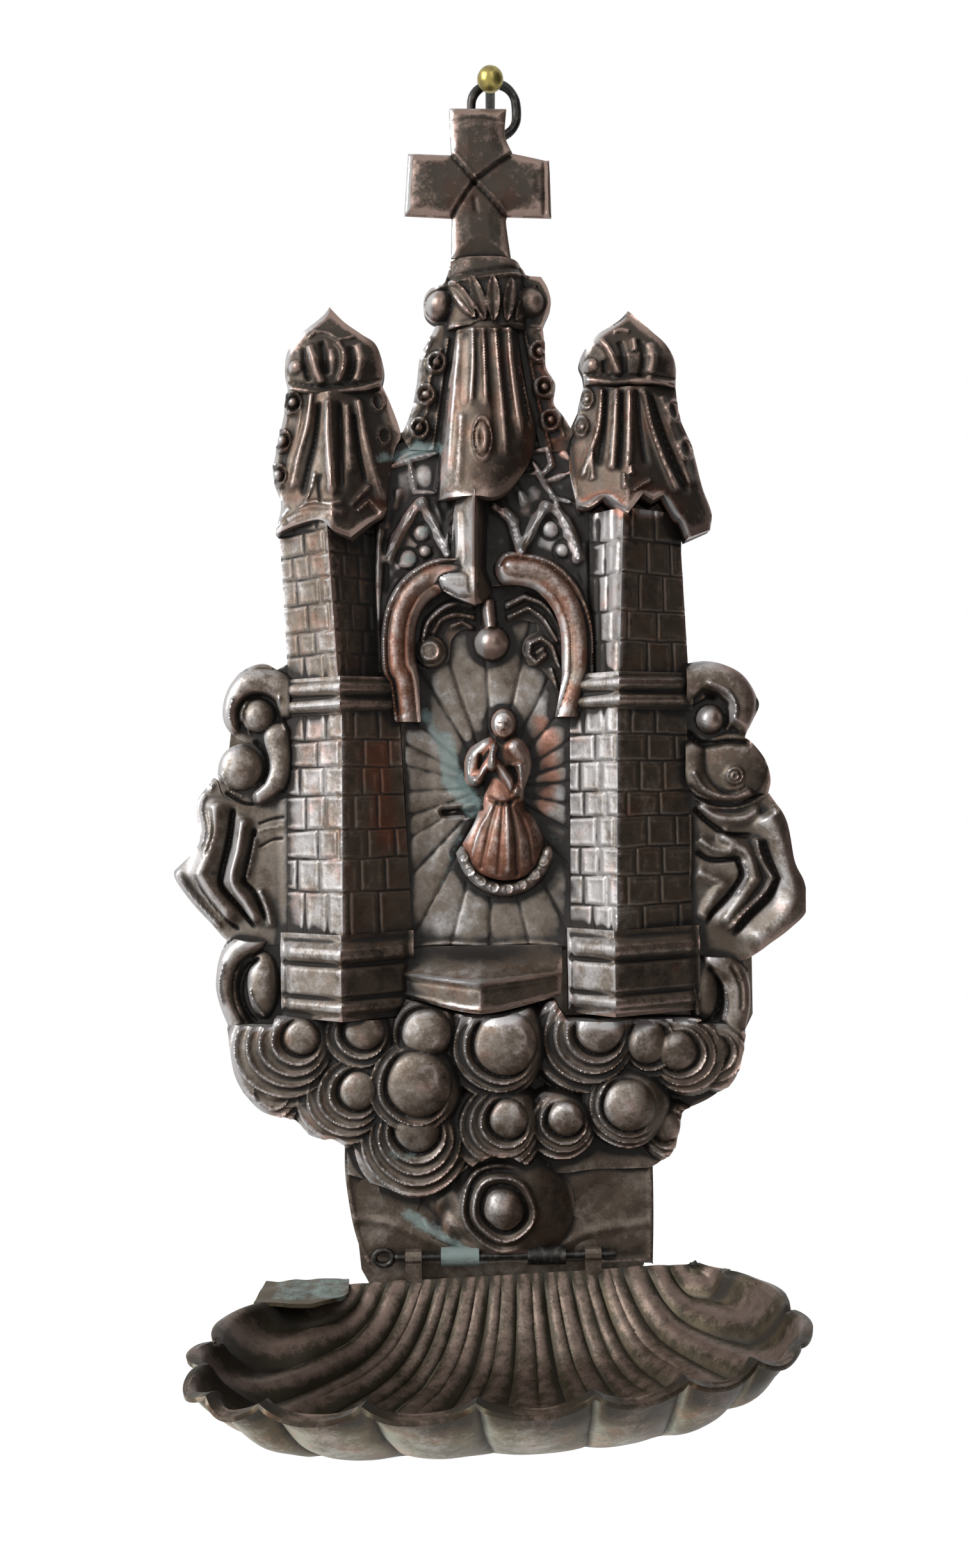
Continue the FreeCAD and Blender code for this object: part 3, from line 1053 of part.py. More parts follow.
# ------------------------------------------------------------------ hinge and basin
def tube_block(x0, x1, radius, bore, back):
    """Knuckle: a tube about the pin, squared off at the back where it is given a seat."""
    shape = cross_rod(x0, x1, PIN_DEPTH, 0, radius)
    if back is not None:
        shape = joined([shape, box(x0, x1, back, PIN_DEPTH, -radius, radius)])
    return shape.cut(cross_rod(x0, x1, PIN_DEPTH, 0, bore))


def plate_knuckles():
    """Two knuckles soldered to the plate."""
    knuckles = []
    for side in (-1, 1):
        near = HINGE_X + side * PLATE_KNUCKLE_IN
        far = near + side * PLATE_KNUCKLE_LENGTH
        knuckles.append(tube_block(min(near, far), max(near, far), KNUCKLE_R, PIN_R + RUN_FIT,
                                   FACE))
    return Part.makeCompound(knuckles)


def hinge_pin():
    shank = cross_rod(PIN_X0, PIN_X1, PIN_DEPTH, 0, PIN_R)
    turns = [math.tau * step / (2 * RING_STEPS) for step in range(2 * RING_STEPS)]
    eye = wire_loop([(PIN_X0 - PIN_EYE_R + PIN_EYE_R * math.cos(turn),
                      PIN_EYE_R * math.sin(turn)) for turn in turns], PIN_DEPTH, PIN_EYE_WIRE)
    return joined([shank, eye])


def rim_plan(s):
    """Point (x, depth) of the scalloped rim; s counts the lobes from the left rear corner."""
    index = min(int(s), len(BASIN_BULGE) - 1)
    share = s - index
    (ax, ad), (bx, bd) = BASIN_NOTCHES[index], BASIN_NOTCHES[index + 1]
    out_x, out_d = bd - ad, ax - bx
    length = math.hypot(out_x, out_d)
    middle = BASIN_NOTCHES[len(BASIN_NOTCHES) // 2][1] / 2
    if out_x * (ax + bx) + out_d * (ad + bd - 2 * middle) < 0:
        length = -length
    swell = BASIN_BULGE[index] * math.sin(math.pi * share) / length
    return ax + (bx - ax) * share + out_x * swell, ad + (bd - ad) * share + out_d * swell


def eased(value, start, end):
    share = min(1.0, max(0.0, (value - start) / (end - start)))
    return share * share * (3 - 2 * share)


def bowl_point(s, t):
    """Point of the outside of the sheet, and the height of the rib there; t runs forwards."""
    lobes = len(BASIN_BULGE)
    start_x = BASIN_NOTCHES[0][0] + (BASIN_NOTCHES[-1][0] - BASIN_NOTCHES[0][0]) * s / lobes
    end_x, end_d = rim_plan(s)
    reach = math.hypot(end_x - start_x, end_d - BASIN_REAR)
    push = min(BASIN_PUSH, reach / 2)
    bend_x = start_x + BASIN_SPREAD * (end_x - start_x)
    bend_d = BASIN_REAR + push
    x = (1 - t) ** 2 * start_x + 2 * t * (1 - t) * bend_x + t * t * end_x
    depth = (1 - t) ** 2 * BASIN_REAR + 2 * t * (1 - t) * bend_d + t * t * end_d
    edge = min(s, lobes - s) / BASIN_SIDE_LOBES
    deep = BASIN_DEEP * min(1.0, edge) ** BASIN_SIDE_POWER
    swing = min(t / BASIN_CREST, 1.0)
    lobe = abs(math.sin(math.pi * s))
    z = (BASIN_RIM_Z - BASIN_FALL * depth - deep * (1 - abs(2 * swing - 1) ** 3)
         - BASIN_DIP * lobe * eased(t, BASIN_CREST, 1.0))
    side = eased(abs(s - lobes / 2), *BASIN_SIDES)
    rib = BASIN_RIB * min(1.0, reach / BASIN_WIDE_REACH)
    rib *= BASIN_RIB_REAR + (1 - BASIN_RIB_REAR) * eased(t, 0.0, BASIN_RIB_FULL)
    rib *= 1 - (1 - BASIN_RIB_SIDE * side) * eased(t, *BASIN_RIB_FADE)
    return depth_point(x, depth, z), rib * (lobe - BASIN_RIB_LEVEL)


def basin_bowl():
    """Scallop shell of even thickness, drawn as a net of flat facets."""
    lobes = len(BASIN_BULGE)
    columns = [BASIN_END] + [index / 2 for index in range(1, 2 * lobes)] + [lobes - BASIN_END]
    plain = [[bowl_point(s, t) for t in BASIN_ROWS] for s in columns]
    last_column, last_row = len(columns) - 1, len(BASIN_ROWS) - 1
    outside, inside = [], []
    for i in range(last_column + 1):
        outer_line, inner_line = [], []
        for j in range(last_row + 1):
            across = (plain[min(i + 2, last_column)][j][0] - plain[max(i - 2, 0)][j][0])
            along = plain[i][min(j + 1, last_row)][0] - plain[i][max(j - 1, 0)][0]
            up = across.cross(along)
            up.normalize()
            up = up if up.z > 0 else up * -1
            point = plain[i][j][0] + up * plain[i][j][1]
            outer_line.append(point)
            inner_line.append(point + up * BASIN_T)
        outside.append(outer_line)
        inside.append(inner_line)
    faces = []
    for i in range(last_column):
        for j in range(last_row):
            for net in (outside, inside):
                faces += facets(net[i][j], net[i + 1][j], net[i + 1][j + 1], net[i][j + 1])
        for j in (0, last_row):
            faces += facets(outside[i][j], outside[i + 1][j], inside[i + 1][j], inside[i][j])
    for j in range(last_row):
        for i in (0, last_column):
            faces += facets(outside[i][j], outside[i][j + 1], inside[i][j + 1], inside[i][j])
    return closed_solid(faces)


def rolled(shape):
    shape = shape.copy()
    shape.rotate(depth_point(HINGE_X, PIN_DEPTH, BASIN_RIM_Z), V(0, 1, 0), -BASIN_ROLL)
    return shape


def basin_lugs(bowl):
    """Two straps on the bowl's back, each rolled round the pin."""
    lugs = []
    for side in (-1, 1):
        middle = HINGE_X + side * LUG_AT
        x0, x1 = middle - LUG_WIDTH / 2, middle + LUG_WIDTH / 2
        tube = tube_block(x0, x1, LUG_R, PIN_R + RUN_FIT, None)
        strap = box(x0, x1, PIN_DEPTH - LUG_R, PIN_DEPTH + LUG_R, BASIN_RIM_Z - LUG_DROP,
                    -PIN_R - RUN_FIT)
        bore = cross_rod(x0, x1, PIN_DEPTH, 0, PIN_R + RUN_FIT)
        piece = joined([tube, strap.cut(bore)]).cut(bowl)
        lugs.append(max(piece.Solids, key=lambda solid: solid.Volume))
    return Part.makeCompound(lugs)


# ------------------------------------------------------------------ assembly
def build():
    keep("back_plate", back_plate())
    keel = lambrequin_keel()
    arch_fill = front_prism(arch_outline(0, RING_Z0), 0, 2 * ARCH_DEPTH)
    keep("centre_spire", centre_spire())
    keep("spire_cap", spire_cap())
    keep("cross", cross())
    keep("hanging_eye", hanging_eye())
    keep("hanging_ring", hanging_ring())
    for name, piece in zip(("nail_head", "nail_shank"), hanging_nail()):
        keep(name, piece)
    keep("lambrequin", lambrequin(keel, arch_fill))
    keep("lambrequin_keel", keel)
    keep("arch_moulding", arch_moulding(keel))
    keep("pendant_ball", pendant_ball(KEEL_FOOT_Z))
    keep("ray_panel", ray_panel(keel))
    keep("niche_ledge", niche_ledge())
    figure_shape = figure()
    keep("figure", figure_shape)
    keep("figure_crescent", crescent(figure_shape))
    for name, side in SIDES.items():
        keep(name + "_upper_wall", tower_wall(side, True))
        keep(name + "_lower_wall", tower_wall(side, False))
        keep(name + "_tower_ring", moulded(side, RING_Z0, RING_Z1, RING_ROLLS, RING_OUT,
                                           TOWER_INNER_X))
        keep(name + "_tower_base", moulded(side, BASE_Z0, BASE_Z1, BASE_ROLLS, BASE_OUT,
                                           TOWER_INNER_X))
        keep(name + "_tower_roof", tower_roof(side))
        keep(name + "_roof_cap", roof_cap(side))
        keep(name + "_crocket_strip", crocket_strip(side))
        keep(name + "_arch_leaf", arch_leaf(side))
        scroll_shape = scroll(side)
        keep(name + "_scroll", scroll_shape)
        flame_shape = flame(side, scroll_shape)
        keep(name + "_flame", flame_shape)
        keep(name + "_side_cloud", side_cloud(side, flame_shape))
    boss = bottom_boss()
    keep("bottom_boss", boss)
    keep("cloud_bank", cloud_bank(boss))
    keep("plate_knuckles", plate_knuckles())
    keep("hinge_pin", hinge_pin())
    bowl = rolled(basin_bowl())
    keep("basin", bowl)
    keep("basin_lugs", basin_lugs(bowl))


build()
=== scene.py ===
# %% [markdown]
# # A holy water stoup in embossed copper
#
# The plaque is one of those little fortress chapels that were stamped and chased out of sheet
# copper: two brick towers, a fluted canopy with a spire and a cross, a niche with a praying
# figure, scrolls, flames and a bank of clouds. Below it hangs a fluted scallop basin. The
# frame gives every piece its place, and this script gives each one its shape and its skin.

# %% Load the frame
import json
import math

import bmesh
import bpy
import numpy as np
from mathutils import Matrix, Vector, noise
from mathutils.geometry import delaunay_2d_cdt

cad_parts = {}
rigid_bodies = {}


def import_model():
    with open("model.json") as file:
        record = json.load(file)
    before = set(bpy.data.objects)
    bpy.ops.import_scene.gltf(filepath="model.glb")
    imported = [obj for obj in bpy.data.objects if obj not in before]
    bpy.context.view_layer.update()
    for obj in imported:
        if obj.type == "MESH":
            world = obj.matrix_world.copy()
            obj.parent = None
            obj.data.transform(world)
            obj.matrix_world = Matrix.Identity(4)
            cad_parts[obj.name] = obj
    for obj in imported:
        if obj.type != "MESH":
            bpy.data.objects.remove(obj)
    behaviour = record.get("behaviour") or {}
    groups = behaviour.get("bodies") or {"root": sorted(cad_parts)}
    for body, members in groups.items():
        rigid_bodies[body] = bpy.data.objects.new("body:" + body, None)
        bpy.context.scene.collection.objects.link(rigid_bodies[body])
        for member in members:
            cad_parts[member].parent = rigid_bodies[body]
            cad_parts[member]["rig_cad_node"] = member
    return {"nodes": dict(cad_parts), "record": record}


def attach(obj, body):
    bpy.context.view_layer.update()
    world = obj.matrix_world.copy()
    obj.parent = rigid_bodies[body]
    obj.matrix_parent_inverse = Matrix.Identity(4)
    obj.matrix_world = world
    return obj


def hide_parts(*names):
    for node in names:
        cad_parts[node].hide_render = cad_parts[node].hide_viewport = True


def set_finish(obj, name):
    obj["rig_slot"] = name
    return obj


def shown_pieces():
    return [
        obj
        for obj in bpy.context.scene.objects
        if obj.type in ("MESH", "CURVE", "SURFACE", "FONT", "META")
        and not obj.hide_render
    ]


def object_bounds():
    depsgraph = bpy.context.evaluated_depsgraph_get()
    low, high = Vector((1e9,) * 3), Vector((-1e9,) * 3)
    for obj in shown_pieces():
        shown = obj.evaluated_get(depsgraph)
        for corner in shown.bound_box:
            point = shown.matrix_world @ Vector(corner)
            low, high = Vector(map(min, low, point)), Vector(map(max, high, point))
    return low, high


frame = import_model()
CAD_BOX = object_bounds()

# %% [markdown]
# ## How an embossed sheet is drawn
#
# Embossed work is a height over the plate: every point of the front has one depth. So each
# relief piece is given an outline, and a rule that says how far its skin stands from the wall.
# All lengths below are millimetres, x to the right, z up, and depth forwards from the wall.

# %% Small tools for outlines
MM = 0.001
GRAIN = 0.5          # spacing of the points of a line
FINE = 0.4           # spacing of the points of a relief
ROW_PITCH = 0.87     # rows of points lie this share of the spacing apart
FOOT = 0.9           # depth at which the reliefs end, just inside the plate
LEAST_SKIN = 0.15    # a relief stands at least this far off its foot
PLATE_FACE = 1.2     # front of the plate
CORNER_TURN = math.radians(48)


def spline_run(points, step):
    """Smooth line through the points of one run, with a point every step."""
    if len(points) < 3:
        length = np.linalg.norm(points[1] - points[0])
        count = max(1, int(round(length / step)))
        return [points[0] + (points[1] - points[0]) * i / count for i in range(count)]
    padded = [2 * points[0] - points[1]] + list(points) + [2 * points[-1] - points[-2]]
    run = []
    for a, b, c, d in zip(padded, padded[1:], padded[2:], padded[3:]):
        count = max(1, int(round(np.linalg.norm(c - b) / step)))
        for i in range(count):
            t = i / count
            run.append(0.5 * (2 * b + (c - a) * t + (2 * a - 5 * b + 4 * c - d) * t * t
                              + (3 * b - a - 3 * c + d) * t ** 3))
    return run


def flowing(points, closed=False, step=GRAIN):
    """Line through the points that is smooth but for its sharp corners."""
    points = [np.array(p, float) for p in points]
    count = len(points)
    corners = [] if closed else [0, count - 1]
    for i in range(count) if closed else range(1, count - 1):
        before = points[i] - points[i - 1]
        after = points[(i + 1) % count] - points[i]
        turn = math.atan2(before[0] * after[1] - before[1] * after[0], before.dot(after))
        if abs(turn) > CORNER_TURN:
            corners.append(i)
    corners = sorted(corners) or [0]
    if closed:
        corners.append(corners[0] + count)
    line = []
    for start, end in zip(corners, corners[1:]):
        line += spline_run([points[i % count] for i in range(start, end + 1)], step)
    if not closed:
        line.append(points[-1])
    return np.array(line)


def inside(spots, rim):
    """Which spots lie inside a closed line."""
    hit = np.zeros(len(spots), bool)
    x, z = spots[:, 0], spots[:, 1]
    for (ax, az), (bx, bz) in zip(rim, np.roll(rim, -1, 0)):
        if az != bz:
            hit ^= ((az > z) != (bz > z)) & (x < (bx - ax) * (z - az) / (bz - az) + ax)
    return hit


def near(spots, line, closed=False):
    """Distance of each spot from a line, how far along it lies (0 to 1), and its side."""
    ends = np.vstack([line, line[:1]]) if closed else line
    lengths = np.linalg.norm(np.diff(ends, axis=0), axis=1)
    total = lengths.sum()
    best = np.full(len(spots), 1e9)
    along, side = np.zeros(len(spots)), np.zeros(len(spots))
    run = 0.0
    for a, b, length in zip(ends, ends[1:], lengths):
        if length < 1e-9:
            continue
        d = (b - a) / length
        rel = spots - a
        share = np.clip(rel @ d, 0, length)
        off = rel - share[:, None] * d
        far = np.hypot(off[:, 0], off[:, 1])
        closer = far < best
        best[closer] = far[closer]
        along[closer] = (run + share[closer]) / total
        side[closer] = np.sign(d[0] * rel[closer, 1] - d[1] * rel[closer, 0])
        run += length
    return best, along, side


# %% Strokes of the chasing tool
def round_top(q):
    return np.sqrt(np.clip(1 - q * q, 0, 1))


def soft_top(q):
    return np.exp(-1.6 * q * q)


def fade(t, start, end):
    """0 before start, 1 after end, smooth between."""
    s = np.clip((t - start) / (end - start), 0, 1)
    return s * s * (3 - 2 * s)


def stroke(spots, points, width, height, ends=(0.0, 0.0), top=soft_top, grow=(1.0, 1.0)):
    """A ridge, or with a negative height a groove, along a line."""
    line = flowing(points, step=0.8)
    lo, hi = line.min(0) - 3 * width, line.max(0) + 3 * width
    close = np.all((spots > lo) & (spots < hi), axis=1)
    out = np.zeros(len(spots))
    if not close.any():
        return out
    far, along, _ = near(spots[close], line)
    wide = width * (grow[0] + (grow[1] - grow[0]) * along)
    rise = height * top(far / wide)
    if ends[0]:
        rise *= fade(along, 0, ends[0])
    if ends[1]:
        rise *= fade(1 - along, 0, ends[1])
    out[close] = rise
    return out


def chased(spots, marks, ends=(0.0, 0.0), grow=(1.0, 1.0)):
    """Several strokes together: each mark is a line, a width and a height."""
    return sum(stroke(spots, line, width, height, ends=ends, grow=grow)
               for line, width, height in marks)


def bump(spots, centre, radius, height, top=round_top, stretch=(1.0, 1.0)):
    """A round or oval boss."""
    q = np.hypot((spots[:, 0] - centre[0]) / (radius * stretch[0]),
                 (spots[:, 1] - centre[1]) / (radius * stretch[1]))
    return height * top(q)


def ringlet(spots, centre, radius, width, height, stretch=(1.0, 1.0)):
    """A raised ring."""
    q = np.hypot((spots[:, 0] - centre[0]) / stretch[0], (spots[:, 1] - centre[1]) / stretch[1])
    return height * soft_top((q - radius) / width)


def dents(spots, size, height, seed):
    """Slow unevenness of hand-beaten sheet."""
    return height * np.array([noise.noise((x / size, z / size, seed)) for x, z in spots])


def grid_value(x, levels):
    """Straight-line reading of a table of (position, value)."""
    keys, values = zip(*levels)
    return np.interp(x, keys, values)


# %% Building one relief
RELIEFS = {}


def piece_from(bm, name, mesh_name=None, sharp=50):
    """Turns a bmesh into a smooth piece with sharp edges where it bends by more than sharp."""
    mesh = bpy.data.meshes.new(mesh_name or name)
    bm.to_mesh(mesh)
    bm.free()
    piece = bpy.data.objects.new(name, mesh)
    bpy.context.scene.collection.objects.link(piece)
    mesh.shade_smooth()
    mesh.set_sharp_from_angle(angle=math.radians(sharp))
    return piece


def relief(name, points, height, slot="relief_copper", spacing=FINE, foot=FOOT, creases=(),
           beat=0.10):
    """Closed piece with an embossed front: the outline's points, and a rule for its depth."""
    rim = flowing(points, closed=True, step=spacing)
    lo, hi = rim.min(0), rim.max(0)
    spots = []
    for k, z in enumerate(np.arange(lo[1], hi[1], spacing * ROW_PITCH)):
        row = np.arange(lo[0] + (k % 2) * spacing / 2, hi[0], spacing)
        spots.append(np.c_[row, np.full(len(row), z)])
    spots = np.vstack(spots)
    spots = spots[inside(spots, rim)]
    far, _, _ = near(spots, rim, closed=True)
    spots = spots[far > 0.55 * spacing]
    fixed, edges = [rim], []
    base = len(rim)
    for crease in creases:
        line = flowing(crease, step=spacing)
        line = line[inside(line, rim)]
        line = line[near(line, rim, closed=True)[0] > 0.5 * spacing]
        if len(line) < 2:
            continue
        spots = spots[near(spots, line)[0] > 0.5 * spacing]
        edges += [(base + i, base + i + 1) for i in range(len(line) - 1)]
        base += len(line)
        fixed.append(line)
    every = np.vstack(fixed + [spots])
    found, _, faces, _, _, _ = delaunay_2d_cdt([Vector(p) for p in every], edges,
                                               [list(range(len(rim)))], 1, 1e-5, False)
    flat = np.array([(v.x, v.y) for v in found])
    faces = np.array([f for f in faces if len(set(f)) == 3])
    faces = faces[inside(flat[faces].mean(1), rim)].tolist()
    depth = height(flat)
    if beat:
        depth = depth + dents(flat, 7.0, beat, len(name)) + dents(flat, 2.2, beat * 0.4, 3.1)
    depth = np.maximum(depth, foot + LEAST_SKIN)
    bm = bmesh.new()
    verts = [bm.verts.new((x * MM, -d * MM, z * MM)) for (x, z), d in zip(flat, depth)]
    for face in faces:
        bm.faces.new([verts[i] for i in face])
    bmesh.ops.recalc_face_normals(bm, faces=bm.faces)
    if sum(f.normal.y for f in bm.faces) > 0:
        bmesh.ops.reverse_faces(bm, faces=bm.faces)
    border = [e for e in bm.edges if e.is_boundary]
    made = bmesh.ops.extrude_edge_only(bm, edges=border)["geom"]
    for v in made:
        if isinstance(v, bmesh.types.BMVert):
            v.co.y = -foot * MM
    loop = [e for e in made if isinstance(e, bmesh.types.BMEdge)]
    bmesh.ops.contextual_create(bm, geom=loop)
    bmesh.ops.recalc_face_normals(bm, faces=bm.faces)
    piece = piece_from(bm, name + "_relief", name)
    settle(piece, "plaque", slot, name)
    RELIEFS[name] = piece
    print("%-20s %6d faces, depth %.1f to %.1f" % (name, len(piece.data.polygons), depth.min(),
                                                  depth.max()))
    return piece


def settle(piece, body, slot, *nodes):
    """Keeps the piece inside the part's box, and puts it in its nodes' place on their body."""
    low, high = CAD_BOX
    for v in piece.data.vertices:
        v.co = [min(max(c, a), b) for c, a, b in zip(v.co, low, high)]
    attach(piece, body)
    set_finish(piece, slot)
    shown = [n for n in nodes if n in frame["nodes"]]
    if shown:
        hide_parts(*shown)

# %% [markdown]
# ## The towers
#
# Each tower is a sheet folded to an arris, with brick courses chased into its two faces. The
# mortar lines are struck in, and the metal beside them swells up a little, so each brick is a
# small pillow. The rings and the base are rolls that follow the same fold.

# %% A folded front
def folded(spots, left, arris, right, curve=1.0):
    """Depth of a sheet folded to an arris: each argument lists (z, x, depth) from low to high."""
    x, z = spots[:, 0], spots[:, 1]

    def read(table):
        keys = [row[0] for row in table]
        return (np.interp(z, keys, [row[1] for row in table]),
                np.interp(z, keys, [row[2] for row in table]))
    (lx, ld), (ax, ad), (rx, rd) = read(left), read(arris), read(right)
    u = np.where(x < ax, (x - lx) / (ax - lx), (rx - x) / (rx - ax))
    edge = np.where(x < ax, ld, rd)
    u = np.clip(u, 0, 1)
    return edge + (ad - edge) * u ** curve, u, x < ax, np.where(x < ax, ax - lx, rx - ax)


MORTAR_W, MORTAR_DEEP = 0.34, 0.42
BRICK_SWELL, BRICK_LIP = 0.24, 0.95


def brickwork(spots, share, on_left, width, levels, joints, seed):
    """Mortar grooves and swelling bricks in running bond."""
    z = spots[:, 1]
    rng = np.random.default_rng(seed)
    drift = dents(spots, 6.0, 0.5, seed + 0.5)
    far = np.full(len(z), 9.0)
    for level in levels:
        far = np.minimum(far, np.abs(z - level + drift * 0.6))
    course = np.searchsorted(-np.array(levels), -z)
    for k in range(len(levels) + 1):
        for flag, sets in ((True, joints[0]), (False, joints[1])):
            here = (course == k) & (on_left == flag)
            for share_at in sets[k % len(sets)]:
                at = share_at + rng.uniform(-0.05, 0.05)
                gap = np.abs(share[here] - at) * width[here] + drift[here] * 0.3
                far[here] = np.minimum(far[here], np.abs(gap))
    groove = -MORTAR_DEEP * np.exp(-(far / MORTAR_W) ** 2)
    swell = BRICK_SWELL * np.exp(-((far - BRICK_LIP) / 0.5) ** 2)
    return groove + swell


BRICK_JOINTS = (((0.30, 0.74), (0.52, 0.93), (0.22, 0.62)),
                ((0.42, 0.85), (0.20, 0.62), (0.34, 0.72)))

# %% The four brick walls
WALLS = {
    "left_lower_wall": dict(
        rim=[(-49.3, 135.4), (-35.0, 135.4), (-21.6, 135.4), (-19.3, 80.4), (-35.5, 80.4),
             (-50.1, 80.4)],
        left=[(80, -50.0, 4), (136, -49.1, 4)], arris=[(80, -35.6, 16), (136, -34.8, 16)],
        right=[(80, -19.3, 4.6), (136, -21.8, 6)],
        levels=(128.3, 121.7, 114.8, 106.4, 99.4, 91.4)),
    "left_upper_wall": dict(
        rim=[(-50.6, 183.0), (-37.5, 183.0), (-27.0, 183.0), (-26.4, 143.0), (-35.6, 143.0),
             (-48.9, 143.0)],
        left=[(143, -48.8, 4), (183, -50.5, 4)], arris=[(143, -35.6, 16), (183, -37.8, 16)],
        right=[(143, -26.4, 5), (183, -27.2, 5)],
        levels=(179.2, 173.5, 167.8, 161.4, 154.8, 149.2)),
    "right_lower_wall": dict(
        rim=[(20.6, 135.4), (31.4, 135.4), (49.4, 135.4), (49.9, 79.0), (30.4, 79.0),
             (19.8, 79.0)],
        left=[(79, 19.8, 5), (136, 20.8, 5)], arris=[(79, 30.4, 16), (136, 31.5, 16)],
        right=[(79, 49.8, 4), (136, 49.2, 4)],
        levels=(128.5, 122.1, 114.6, 108.6, 101.1, 94.1, 86.8)),
    "right_upper_wall": dict(
        rim=[(26.2, 183.0), (33.6, 183.0), (48.4, 183.0), (50.2, 142.0), (32.0, 142.0),
             (25.6, 142.0)],
        left=[(142, 25.6, 6), (183, 26.4, 6)], arris=[(142, 32.0, 16), (183, 33.7, 16)],
        right=[(142, 50.1, 4), (183, 48.5, 4)],
        levels=(175.5, 167.4, 158.3, 151.1)),
}


def wall_height(parts, seed):
    def height(spots):
        depth, share, on_left, width = folded(spots, parts["left"], parts["arris"],
                                              parts["right"])
        return depth + brickwork(spots, share, on_left, width, parts["levels"], BRICK_JOINTS,
                                 seed)
    return height


for number, (wall_name, parts) in enumerate(WALLS.items()):
    arris_line = [(row[1], row[0]) for row in parts["arris"]]
    relief(wall_name, parts["rim"], wall_height(parts, number), slot="brick_copper",
           spacing=0.38, creases=(arris_line,), beat=0.16)

# %% Rings and bases: rolls round the fold
RING_ROLLS = [(134.2, 0.1), (135.0, 0.3), (135.6, 1.7), (136.6, 2.6), (137.6, 2.2), (138.2, 0.9),
              (138.8, 0.5), (139.4, 1.2), (140.4, 2.3), (141.6, 2.1), (142.4, 0.8), (143.0, 0.9),
              (143.8, 0.3)]
BASE_ROLLS = [(60.4, 0.8), (61.6, 0.9), (62.3, 1.5), (63.1, 2.5), (64.2, 2.7), (65.0, 2.1),
              (65.6, 1.1), (66.2, 1.2), (66.9, 2.1), (72.5, 2.2), (73.2, 1.7), (73.8, 0.5),
              (74.6, 1.5), (75.6, 2.7), (76.7, 3.0), (77.7, 2.6), (78.7, 1.4), (79.6, 0.1),
              (81.4, 0.2)]


def roll_height(rolls, left, arris, right, top_lean):
    def height(spots):
        leaned = spots.copy()
        leaned[:, 1] += top_lean * (spots[:, 0] - arris[0][1])
        swell = grid_value(leaned[:, 1], rolls)
        depth, share, _, _ = folded(spots, left, arris, right)
        return depth + swell * (0.55 + 0.45 * fade(share, 0, 0.12))
    return height


ROLLS = {
    "left_tower_ring": (RING_ROLLS, (-51.0, -20.4), (-49.6, 4), (-35.1, 16), (-21.6, 5),
                        134.4, 143.6, 0.0),
    "right_tower_ring": (RING_ROLLS, (20.0, 51.0), (20.9, 5), (31.8, 16), (50.0, 4),
                         134.4, 143.6, -0.012),
    "left_tower_base": (BASE_ROLLS, (-51.8, -19.0), (-51.0, 5), (-35.9, 16.5), (-20.2, 5.5),
                        60.5, 81.2, 0.0),
    "right_tower_base": (BASE_ROLLS, (18.9, 51.5), (19.6, 6), (29.6, 16.5), (50.8, 5),
                         60.5, 81.2, 0.0),
}
for roll_name, (rolls, ends, left, arris, right, low, high, lean) in ROLLS.items():
    box = [(ends[0], low), (arris[0], low), (ends[1], low), (ends[1], high), (arris[0], high),
           (ends[0], high)]
    tables = [[(low, x, d), (high, x, d)] for x, d in (left, arris, right)]
    relief(roll_name, box, roll_height(rolls, *tables, lean), spacing=0.42,
           creases=([(arris[0], low), (arris[0], high)],))

# %% [markdown]
# ## Roofs and caps
#
# The roofs flare like skirts: flutes fan out from a drawn-in neck and end in a dagged hem. Small
# rings climb their outer edges. The caps are hipped to a point over a ring of petals, with a
# ball at each shoulder.

# %% The left roof
HEM_LEFT = [(-51.0, 179.0), (-46.3, 180.5), (-39.4, 181.3), (-35.9, 178.3), (-31.9, 176.7),
    (-27.8, 180.6), (-23.9, 184.0)]


